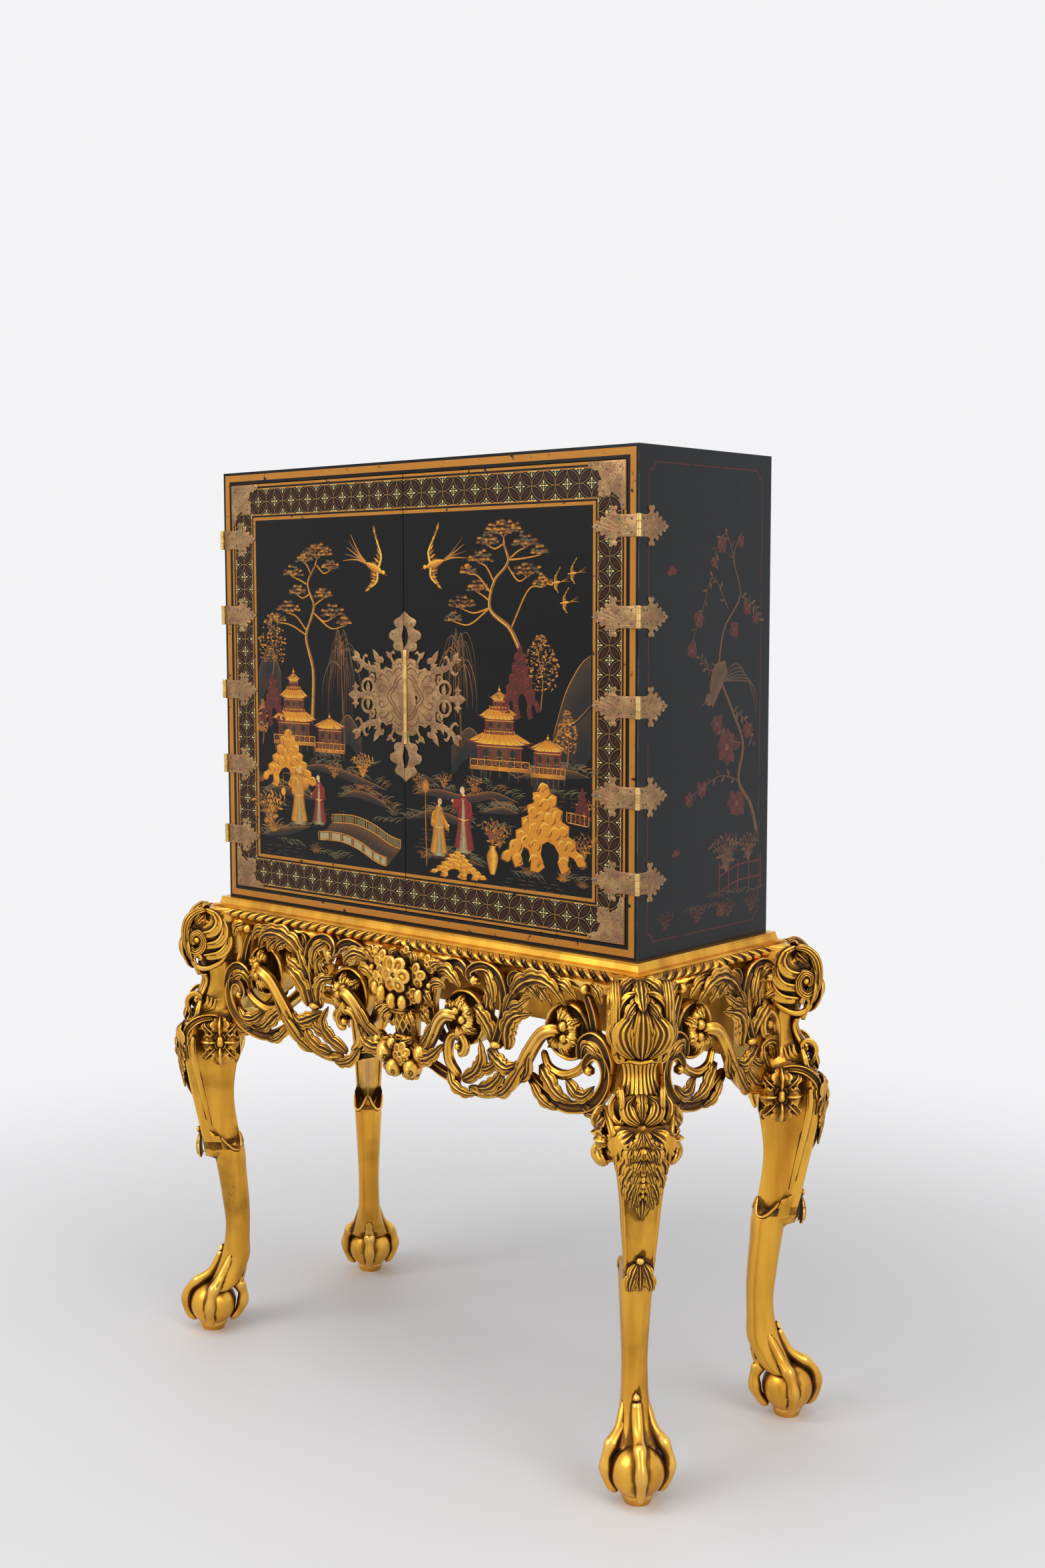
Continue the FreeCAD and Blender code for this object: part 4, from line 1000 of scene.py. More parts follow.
def console_side(carving, side):
    """Volutes, flutes and rims on one cheek of the console, drawn in its own plane."""
    cheek = Carving()
    crescents = (((46, 834, 2), (25, 823, 6), (18, 805, 9), (28, 790, 11), (53, 784, 10)),
                 ((30, 826, 1), (11, 808, 5), (7, 787, 8), (19, 769, 10), (48, 763, 9)),
                 ((12, 810, 0), (0, 788, 4), (1, 765, 7), (15, 748, 9), (45, 742, 9)))
    for path in crescents:
        stalk(cheek, path, (4, 7, 9, 9, 6.5), CRESCENT, 0.8, 48)
        line = [(x + 5, z + 5, out + 4) for x, z, out in path[1:]]
        stalk(cheek, line, (2, 3, 3, 2), ROUND, 1.0, 30)
    whorl = [(42, 832, 6), (60, 830, 8), (76, 815, 9), (82, 789, 9), (78, 764, 9), (65, 752, 10),
             (51, 760, 12), (48, 777, 13), (57, 790, 14), (68, 786, 14), (69, 774, 14), (62, 769, 14)]
    stalk(cheek, whorl, (5, 8, 9, 9, 9, 8, 8, 7, 7, 6, 5, 4), FLUTED, 0.95, 90)
    dish = ((18, -12), (26, -11), (28, -6), (28, 2), (24, 6), (14, 4))
    cheek.add(rings((50, 788), dish, 32))
    leaf(cheek, [(46, 824, 4), (54, 817, 12), (65, 806, 10)], 8, 0.8, 2, 1.0, 24)
    leaf(cheek, [(74, 800, 9), (76, 782, 14), (71, 764, 12)], 7, 0.7, 3, 1.0, 24)
    bead(cheek, (60, 777, 13), 7)
    rim = [(1, 796, 2), (1, 764, 2), (13, 737, 3), (34, 723, 5), (52, 721, 7), (65, 729, 8), (68, 741, 9),
           (60, 748, 10), (53, 742, 10), (58, 737, 10)]
    stalk(cheek, rim, (3, 4.5, 5, 5.5, 5.5, 5, 5, 4.5, 4, 3.5), ROUND, 1.0, 64)
    carving.join(cheek.placed(lambda p: np.column_stack([p[:, 0], side * (p[:, 2] + 32.0), p[:, 1]])))
    small = Carving()
    stalk(small, [(6, 636, 2), (27, 625, 4), (52, 623, 6), (74, 633, 8), (83, 652, 9), (77, 668, 10),
                  (65, 672, 11), (57, 664, 12), (62, 656, 12), (68, 661, 12)],
          (4, 5, 5, 5, 5, 5, 4.5, 4, 4, 3.5), CRESCENT, 1.0, 70)
    bead(small, (64, 664, 12), 4.5)
    for inset in (0.0, 8.0, 16.0):
        path = [(76 - inset * 0.5, 642 + inset * 0.6, 3), (56, 634 + inset * 0.7, 6),
                (36 + inset * 0.6, 640 + inset * 0.7, 7), (28 + inset, 660 + inset * 0.3, 5)]
        stalk(small, path, (2, 4, 4.5, 1.2), CRESCENT, 0.9, 32)
    carving.join(small.placed(lambda p: np.column_stack([p[:, 0], side * (p[:, 2] + 22.0), p[:, 1]])))
    knee_rim = [(4, side * 44, 618), (-10, side * 45, 596), (-14, side * 42, 560), (-8, side * 36, 536)]
    stalk(carving, knee_rim, (5, 6, 5, 3), HOLLOW, 0.8, outward=(0.0, side, 0.0))
    crown = [(6, side * 46, 616), (30, side * 50, 628), (58, side * 48, 624), (80, side * 44, 606),
             (88, side * 42, 580), (84, side * 37, 540)]
    stalk(carving, crown, (5, 6, 7, 7, 6, 3), HOLLOW, 0.8, outward=(0.3, side, 0.0))


def console_front(carving):
    """Tulip of leaves in two C scrolls, over a fluted bell and a husk, on the face of the console."""
    front = (1.0, 0.0, 0.0)

    def on_face(path, side=1):
        """Places on the face of the console, given how far they stand out from it."""
        return [(float(profile(CONSOLE_OUTER, np.array(height))) + out, side * across, height)
                for out, across, height in path]
    leaf(carving, on_face([(19, 0, 719), (18, 0, 736), (16, 0, 758), (14, 0, 784), (8, 0, 812)]), 15,
         lobes=1, rows=40, outward=front)
    leaf(carving, on_face([(0, 0, 834), (12, 0, 824), (19, 0, 808), (22, 0, 794)]), 12, rows=34,
         outward=front)
    bell = [(-7, -31, 706), (4, -18, 711), (8, 0, 709), (4, 18, 711), (-7, 31, 706)]
    stalk(carving, on_face(bell), (3, 4, 4.5, 4, 3), ROUND, 1.0, outward=front)
    for number in range(-4, 5):
        across = number / 4.0
        sink = -9 * across ** 2
        path = [(5 + sink, across * 26, 709), (2 + sink, across * 22, 694), (3 + sink, across * 23, 676),
                (6 + sink, across * 31, 657)]
        stalk(carving, on_face(path), (3.8, 3.4, 3.6, 4.6), ROUND, 1.0, 26, front)
    leaf(carving, on_face([(5, 0, 664), (13, 0, 652), (15, 0, 638), (12, 0, 622)]), 8, lobes=3, rows=30,
         outward=front)
    for side in (1, -1):
        tulip = [(16, 13, 720), (19, 26, 740), (17, 31, 762), (13, 21, 781), (10, 10, 796)]
        leaf(carving, on_face(tulip, side), 14, lobes=1, rows=40, outward=front)
        petal = [(8, 29, 728), (8, 43, 750), (5, 43, 772), (6, 32, 790)]
        leaf(carving, on_face(petal, side), 10, lobes=1, rows=36, outward=(1.0, side * 0.5, 0.0))
        tuck = [(9, 4, 808), (15, 14, 802), (16, 23, 790), (14, 27, 778)]
        leaf(carving, on_face(tuck, side), 8, lobes=3, rows=28, outward=front)
        scroll = [(14, 5, 818), (18, 22, 816), (14, 36, 802), (8, 41, 776), (6, 42, 750), (6, 41, 728),
                  (6, 35, 712), (9, 28, 715), (11, 32, 723)]
        stalk(carving, on_face(scroll, side), (4, 6, 7, 7, 6, 5, 5, 4.5, 3), CRESCENT, 0.9, 60,
              (1.0, side * 0.3, 0.0))
        crown = [(0, 8, 834), (9, 20, 828), (14, 34, 814), (10, 45, 798)]
        leaf(carving, on_face(crown, side), 10, rows=34, outward=front)
        husk = [(12, 6, 619), (16, 21, 633), (12, 23, 650), (7, 9, 661)]
        leaf(carving, on_face(husk, side), 10, lobes=1, rows=32, outward=front)
        curl = [(-8, 35, 660), (-9, 45, 644), (-7, 43, 626), (3, 33, 619), (6, 28, 630)]
        stalk(carving, on_face(curl, side), (4, 6, 6, 5, 4), CRESCENT, outward=front)


def held_in(points):
    """Eases the relief in where it would stand out past the sides of the block it is carved from."""
    out, across, height = points.T
    limit = BLOCK_REACH - np.abs(across)
    over = np.maximum(out - limit + BLOCK_EASE, 0)
    eased = limit - BLOCK_EASE + BLOCK_EASE * (1 - np.exp(-over / BLOCK_EASE))
    return np.column_stack([np.where((over > 0) & (height > 200), eased, out), across, height])


def corner(sx, sy):
    """Moves leg places (out, across, height) to one corner of the stand."""

    def turn(points):
        out, across, height = points.T
        x = sx * (HALF_WIDTH + (out + across) * DIAGONAL)
        y = sy * (HALF_DEPTH + (out - across) * DIAGONAL)
        return np.column_stack([x, y, height])
    return turn


def legs(finish):
    """One leg and its console are carved, then set at the four corners."""
    carving = Carving()
    leg_shaft(carving)
    hollow_rims(carving)
    foot(carving)
    knee(carving)
    end = (len(carving.points), len(carving.faces))
    console_core(carving)
    for side in (1, -1):
        console_side(carving, side)
    console_front(carving)
    carving.points = held_in(carving.points)
    carving.measure_shade_and_dirt(20.0)
    leg, console = carving.split(*end)
    for name, sx, sy in (("front_right", 1, -1), ("front_left", -1, -1), ("back_right", 1, 1),
                         ("back_left", -1, 1)):
        at_corner = corner(sx, sy)
        leg.placed(at_corner).piece("carved_leg_" + name, finish, "leg_" + name)
        console.placed(at_corner).piece("carved_console_" + name, finish)


DOOR_FRONT = -178.3
HINGE_HEIGHTS = (976.0, 1110.0, 1251.0, 1390.0, 1530.0)
PIN_PLACE = (498.0, -181.0)
LOCK_PLACE = (-12.0, 1251.0)
KNUCKLE_RADIUS = 4.0
PLATE_THICK = 1.5
PLATE_EDGE = 0.4
LINE_LIFT = 1.42
LINE_THICK = 0.3
LINE_EDGE = 0.1
# Places of the metals in the list of finishes that a fitting is given.
AGED, POLISHED, STEEL, ENGRAVED = range(4)


def ribbon_outline(path, widths, count=22):
    """Outline of a flat strip that follows a path, as wide to each side as the widths say."""
    line = smooth(path, count)
    along = unit(np.gradient(line, axis=0))
    side = np.column_stack([-along[:, 1], along[:, 0]]) * spread_along(widths, count)[:, None]
    return np.vstack([line + side, (line - side)[::-1]])


def blade_outline(root, tip, left, right, count=16):
    """Outline of a pointed leaf that swells to the left and right of its rib."""
    root, tip = np.array(root, float), np.array(tip, float)
    rib = tip - root
    side = np.array((-rib[1], rib[0])) / np.hypot(*rib)
    share = np.linspace(0, 1, count)[:, None]
    swell = np.sin(pi * share ** 0.8)
    near = root + rib * share + side * left * swell
    far = root + rib * share - side * right * swell
    return np.vstack([near, far[::-1][1:-1]])


class Brasswork:
    """Plates, barrels and nails of one fitting, in millimetres."""

    def __init__(self):
        self.points = []
        self.faces = []
        self.metals = []
        self.count = 0

    def take(self, points, faces, metal):
        self.faces += [[corner + self.count for corner in face] for face in faces]
        self.metals += [metal] * len(faces)
        self.points.append(points)
        self.count += len(points)

    def plate(self, outlines, place, thickness, bevel, metal=AGED):
        """A flat plate with softened edges; outlines inside another are holes."""
        sketch = bpy.data.curves.new("sketch", "CURVE")
        sketch.dimensions = "2D"
        sketch.fill_mode = "BOTH"
        sketch.extrude = thickness / 2 - bevel
        sketch.bevel_depth = bevel
        sketch.bevel_resolution = 1
        for outline in outlines:
            line = sketch.splines.new("POLY")
            line.points.add(len(outline) - 1)
            for point, (u, v) in zip(line.points, outline):
                point.co = (u, v, 0.0, 1.0)
            line.use_cyclic_u = True
        holder = bpy.data.objects.new("sketch", sketch)
        scene.collection.objects.link(holder)
        bpy.context.view_layer.update()
        view = bpy.context.evaluated_depsgraph_get()
        shape = bpy.data.meshes.new_from_object(holder.evaluated_get(view))
        flat = np.array([corner.co for corner in shape.vertices])
        faces = [list(face.vertices) for face in shape.polygons]
        bpy.data.objects.remove(holder)
        bpy.data.curves.remove(sketch)
        bpy.data.meshes.remove(shape)
        flat[:, 2] += thickness / 2
        axes = place(np.vstack([np.zeros(3), np.eye(3)]))
        if np.linalg.det(axes[1:] - axes[0]) < 0:
            faces = [face[::-1] for face in faces]
        self.take(place(flat), faces, metal)

    def rows(self, rows, metal):
        shape = Carving()
        shape.add(rows)
        self.take(shape.points, shape.faces.tolist(), metal)

    def knuckle(self, x, low, high):
        """An upright hinge barrel with softened ends, round the pin."""
        soft = 0.5
        levels = ((KNUCKLE_RADIUS - soft, low), (KNUCKLE_RADIUS, low + soft),
                  (KNUCKLE_RADIUS, high - soft), (KNUCKLE_RADIUS - soft, high))
        self.rows(rings((x, PIN_PLACE[1]), levels, 24), POLISHED)

    def nail(self, centre, outward, radius=1.9):
        """A low round nail head that faces the front or the side."""
        shape = Carving()
        bead(shape, (0, 0, 0), radius, (1.0, 1.0, 0.45))
        points = shape.points[:, [0, 2, 1] if outward == "front" else [2, 0, 1]]
        self.take(points + np.array(centre), shape.faces.tolist(), STEEL)

    def piece(self, name, finishes, body, *nodes):
        mesh = bpy.data.meshes.new(name)
        mesh.from_pydata((np.vstack(self.points) * MM).tolist(), [], self.faces)
        mesh.polygons.foreach_set("material_index", self.metals)
        mesh.validate()
        for finish in finishes:
            mesh.materials.append(finish.material)
        return dressed(turned_out(name, mesh, True), "brass", body, *nodes)


def hinge_outline(neck):
    """Outline of a hinge leaf from the pin outwards: a strap, lobed ears and a scalloped, pointed head."""
    strap = [(4.6, 17.5), (neck * 0.5, 16.6), (neck - 10, 17.0)]
    head = [(-6, 17.4), (-2.5, 19.5), (-1.2, 23), (-4.2, 25.5), (-3.6, 29.5), (0.2, 31), (3, 28.6),
            (6, 31), (9.8, 29.6), (10.2, 25.8), (7.2, 23.2), (8.6, 19.8), (12.4, 19), (15.6, 22),
            (19.6, 20.6), (20.2, 16.8), (17.6, 14.6), (21, 12.6), (25.4, 15), (29, 12.4), (28.2, 8.6),
            (31.6, 7.2), (35.4, 8.8), (38.4, 6), (37.4, 3.4), (41.5, 3), (46, 0)]
    half = np.vstack([strap, [(neck + u, v) for u, v in head]])
    fine = np.vstack([half[:1], smooth(half[1:], 108)])
    return np.vstack([fine, fine[-2::-1] * np.array((1, -1))])


def hinge_scroll(neck):
    """Raised engraving on a hinge leaf: a border, a rosette and two curls."""
    lines = [ribbon_outline([(9, side * 13.6), (neck * 0.5, side * 12.8), (neck - 6, side * 13.4)],
                            (0.5, 0.6, 0.5)) for side in (1, -1)]
    for turn in range(5):
        angle = 2 * pi * turn / 5
        lines.append(blade_outline((neck * 0.62 + 1.5 * cos(angle), 1.5 * sin(angle)),
                                   (neck * 0.62 + 7.5 * cos(angle), 7.5 * sin(angle)), 2.0, 2.0, 8))
    for side in (1, -1):
        curl = [(neck - 2, side * 3), (neck + 6, side * 12), (neck + 16, side * 13),
                (neck + 19, side * 6), (neck + 13, side * 5), (neck + 14, side * 9)]
        lines.append(ribbon_outline(curl, (0.5, 0.9, 0.9, 0.6), 26))
        lines.append(ribbon_outline([(neck + 20, side * 2), (neck + 27, side * 8), (neck + 34, side * 4)],
                                    (0.4, 0.9, 0.4), 12))
    return lines


def on_door(x, z, way, rise=1):
    """Places drawn outlines on the front of a door, from a point, with u and v running one way each."""
    return lambda p: np.column_stack([x + way * p[:, 0], DOOR_FRONT - p[:, 2], z + rise * p[:, 1]])


def on_case_side(z, way):
    return lambda p: np.column_stack([way * (HALF_WIDTH + p[:, 2]), PIN_PLACE[1] + p[:, 0], z + p[:, 1]])


def raised(place, lift):
    return lambda p: place(p + np.array((0, 0, lift)))


def hinges(finishes):
    """Five strap hinges to a door: a leaf on the door, one on the side of the case, and their barrel."""
    for name, way in (("right", 1), ("left", -1)):
        door, case = Brasswork(), Brasswork()
        pin_x = way * PIN_PLACE[0]
        for height in HINGE_HEIGHTS:
            for work, neck, place in ((door, 48.0, on_door(pin_x, height, -way)),
                                      (case, 31.0, on_case_side(height, way))):
                work.plate([hinge_outline(neck)], place, PLATE_THICK, PLATE_EDGE)
                for line in hinge_scroll(neck):
                    work.plate([line], raised(place, LINE_LIFT), LINE_THICK, LINE_EDGE)
                for u, v in ((15, 10.5), (15, -10.5), (neck - 8, 10.5), (neck - 8, -10.5),
                             (neck + 36, 0)):
                    spot = place(np.array([(u, v, 1.6)]))[0]
                    work.nail(spot, "front" if work is door else "side")
            door.knuckle(pin_x, height - 5.8, height + 5.8)
            tongue = [(1.5, 5.8), (6.5, 5.8), (6.5, -5.8), (1.5, -5.8)]
            door.plate([tongue], on_door(pin_x, height, -way), PLATE_THICK, 0.2, POLISHED)
            for low, high in ((-17.5, -6.2), (6.2, 17.5)):
                case.knuckle(pin_x, height + low, height + high)
                tongue = [(1.5, low), (6.5, low), (6.5, high), (1.5, high)]
                case.plate([tongue], on_case_side(height, way), PLATE_THICK, 0.2, POLISHED)
        straps = ["hinge_strap_%s_%d" % (name, number) for number in range(1, 6)]
        door.piece("strap_hinges_" + name, finishes, name + "_door", *straps)
        case.piece("hinge_leaves_" + name, finishes, "stand_and_case", "hinge_side_leaves_" + name)


def corner_outline():
    half = [(75, 2.5), (72, 8.5), (66.5, 10), (62, 13.5), (56, 12.6), (53, 16.5), (51.5, 21.5),
            (48.5, 25.5), (48, 29), (52.5, 29.5), (55, 33.5), (53.2, 38), (55.4, 42.4), (53.2, 46.4),
            (53.8, 50.6), (51.4, 52.6)]
    scallops = np.vstack([half, np.array(half)[::-1, ::-1]])
    return np.vstack([[(0, 0), (75, 0)], smooth(scallops, 110), [(0, 75)]])


CORNER_PLACE = 470.5
CORNER_LEVELS = ((1629.5, -1), (878.5, 1))


def corner_plates(finishes):
    """Scalloped plates with raised scrolls on the outer corners of the doors."""
    for name, way in (("right", 1), ("left", -1)):
        work = Brasswork()
        for height, up in CORNER_LEVELS:
            place = on_door(way * CORNER_PLACE, height, -way, up)
            work.plate([corner_outline()], place, PLATE_THICK, PLATE_EDGE)
            scrolls = [[(6, 6), (34, 6), (60, 6)], [(6, 6), (6, 34), (6, 60)],
                       [(14, 14), (30, 16), (40, 26), (34, 34), (26, 28)],
                       [(14, 14), (16, 30), (26, 40), (36, 38)], [(44, 12), (50, 8), (58, 9)],
                       [(12, 44), (8, 50), (9, 58)], [(40, 42), (47, 40), (50, 46)],
                       [(42, 40), (40, 47), (46, 50)]]
            for path in scrolls:
                work.plate([ribbon_outline(path, (0.4, 0.8, 0.8, 0.4), 24)], raised(place, LINE_LIFT),
                           LINE_THICK, LINE_EDGE)
            for u, v in ((10, 10), (68, 5), (5, 68), (45, 45), (38, 12), (12, 38)):
                work.nail(place(np.array([(u, v, 1.6)]))[0], "front", 1.7)
        nodes = ["corner_plate_%s_%s" % (name, row) for row in ("upper", "lower")]
        work.piece("corner_mounts_" + name, finishes, name + "_door", *nodes)


LOCK_LEAVES = (
    (ribbon_outline, [(78, 26), (79, 34), (84, 37), (88, 33), (85, 29)], (3, 2.6, 2.4, 2.2, 2.0), 30),
    (blade_outline, (93, 4), (93, 25), 4.6, 4.6),
    (blade_outline, (88, 13), (98, 13), 2.6, 2.6),
    (blade_outline, (125, 2), (125, 24), 4.6, 4.6),
    (blade_outline, (116, 15), (134, 15), 3, 3),
    (ribbon_outline, [(62, 44), (76, 47), (92, 49), (108, 56), (118, 64)], (6.5, 6, 5, 4.4, 4), 30),
    (blade_outline, (114, 60), (128, 79), 6.4, 5.2),
    (blade_outline, (118, 64), (135, 66), 4, 5),
    (ribbon_outline, [(104, 55), (104, 64), (99, 70), (93, 68)], (3, 2.6, 2.2, 1.2), 22),
    (ribbon_outline, [(108, 54), (112, 45), (120, 41), (126, 45)], (3, 2.6, 2.2, 1.2), 22),
    (blade_outline, (86, 48), (92, 61), 2.6, 2.6),
    (blade_outline, (84, 48), (91, 38), 2.4, 2.4),
    (ribbon_outline, [(66, 46), (66, 56), (62, 64), (56, 63), (57, 58)], (4, 4, 4.4, 3.2, 2.4), 28),
    (blade_outline, (62, 56), (80, 81), 5.6, 6),
    (blade_outline, (64, 52), (78, 58), 3, 3),
    (ribbon_outline, [(30, 50), (29, 58), (33, 64), (36, 70)], (2.6, 2.4, 2.4, 2.4), 22),
    (blade_outline, (34, 66), (47, 78), 4.2, 4),
    (ribbon_outline, [(36, 70), (30, 77), (25, 74)], (2.4, 2, 1), 16),
)


def lock_half(start):
    """Outlines of one half of the lock plate, drawn to the right of its middle line."""
    edge = [(15, 66), (24, 63), (27.5, 57), (28.5, 50.5), (34, 47.6), (41, 48.6), (48, 51), (54, 46.6),
            (59, 46), (66, 48), (71, 43), (73, 36), (71.5, 29), (75.5, 21), (77, 10), (77.5, 0)]
    quarter = smooth(edge, 70)
    field = np.vstack([[(start, 66.5)], quarter, quarter[-2::-1] * np.array((1, -1)), [(start, -66.5)]])
    tongue = [(8, 60), (8.6, 70), (11, 78.6), (19, 79.2), (27, 82.6), (29, 89), (26.6, 94), (31.4, 98),
              (37.6, 100.6), (38.6, 107.6), (33, 113.6), (26, 115.4), (20.6, 118.8), (24.6, 123.6),
              (27, 129), (22, 134), (14, 137), (7.4, 141)]
    if start < 0:
        inner = [(0, 146.5), (start, 144.4), (start, 124), (0, 123), (5, 117), (8.5, 105), (6, 94),
                 (0, 86), (start, 84)]
    else:
        inner = [(start, 143), (start, 118), (8.5, 105), (5.6, 92.6), (start, 90)]
    finial = np.vstack([[(start, 58)], smooth(tongue, 80), inner])
    turn = round_turn(48)
    circle = np.column_stack([np.cos(turn), np.sin(turn)])
    eye = [np.array((93, 16)) + circle * np.array(size) for size in ((17.5, 15.5), (12.2, 10.6))]
    upper = [[finial], eye]
    for form, *values in LOCK_LEAVES:
        upper.append([form(*values)])
    bar = ribbon_outline([(72, 0), (92, 0), (112, 0), (122, 0)], (5, 4.6, 5, 6), 16)
    tip = [blade_outline((112, 0), (144, 0), 9, 9)]
    return [[field], [bar], tip], upper


def lock_engraving(start):
    """Raised lines on one half of the lock plate: two round its middle, and curls above and below."""
    first = start + 2.0
    halves = ([(first, 40), (14, 38), (24, 29), (30, 17), (40, 8)],
              [(first, 34), (12, 32), (20, 24), (26, 13), (34, 5)])
    lines = [half + [(end, 0)] + [(u, -v) for u, v in half[::-1]] for half, end in zip(halves, (44, 36))]
    for side in (1, -1):
        lines += [[(first + 2, side * 44), (14, side * 50), (24, side * 46), (28, side * 40)],
                  [(46, side * 14), (58, side * 20), (66, side * 14), (60, side * 8), (54, side * 11)],
                  [(40, side * 26), (50, side * 36), (60, side * 38), (64, side * 31), (56, side * 28)],
                  [(30, side * 34), (34, side * 42), (44, side * 45)],
                  [(first + 1, side * 48), (9, side * 56), (16, side * 60)]]
    return [ribbon_outline(path, (0.5, 0.9, 0.9, 0.9, 0.5), 34) for path in lines]


LOCK_THICK = 1.7
# Each shape is thicker than the last by this much, so that no two faces lie in one plane.
LOCK_STEP = 0.009


def lock_mounts(finishes):
    """Both halves of the lock plate, no two of its shapes quite level, and the bar over the seam."""
    bow = np.radians(np.linspace(-62, 242, 26))
    keyhole = np.vstack([np.column_stack([26 + 3 * np.cos(bow), 3 * np.sin(bow)]),
                         [(24.4, -11), (27.6, -11)]])
    for name, way, start in (("right", 1, -3.2), ("left", -1, 4.8)):
        work = Brasswork()
        place = on_door(*LOCK_PLACE, way)
        middle, upper = lock_half(start)
        if way > 0:
            middle[0].append(keyhole)
        shapes = [(shape, 1) for shape in middle + upper] + [(shape, -1) for shape in upper]
        for number, (shape, rise) in enumerate(shapes):
            work.plate(shape, on_door(*LOCK_PLACE, way, rise), LOCK_THICK + LOCK_STEP * number, 0.35)
        for line in lock_engraving(start):
            work.plate([line], raised(place, 1.72), 0.25, 0.08, ENGRAVED)
        for u, v in ((18, 56), (18, -56), (60, 36), (60, -36), (66, 0), (16, 126), (16, -126), (90, 0),
                     (30, 108), (30, -108), (121, 64), (121, -64), (20, 88), (20, -88)):
            work.nail(place(np.array([(u, v, 1.8)]))[0], "front", 1.5)
        work.piece("lock_mount_" + name, finishes, name + "_door", "lock_plate_" + name)
    bar = Brasswork()
    turn = np.linspace(0, pi, 16)
    levels = ((0.6, 0.0), (0.9, 0.8), (1.0, 3.0), (1.0, 160.0), (0.9, 162.2), (0.6, 163.0))
    bar.rows([np.column_stack([-11.45 + 3.75 * share * np.cos(turn), -180.2 - 3.7 * share * np.sin(turn),
                               np.full(16, 1169.5 + rise)]) for share, rise in levels], POLISHED)
    bar.piece("seam_moulding", finishes, "right_door", "seam_bar")


GOLD = rgb(214, 138, 30)
BRIGHT = rgb(243, 186, 62)
DIM = rgb(152, 95, 34)
DUSK = rgb(98, 64, 30)
OLIVE = rgb(104, 94, 58)
SHADE = rgb(40, 30, 22)
GROUND = rgb(24, 23, 22)
RED = rgb(134, 36, 24)
DEEP_RED = rgb(84, 24, 20)
ROSE = rgb(176, 74, 46)
CREAM = rgb(172, 156, 110)
SKIN = rgb(228, 188, 134)
HAIR = rgb(26, 20, 17)


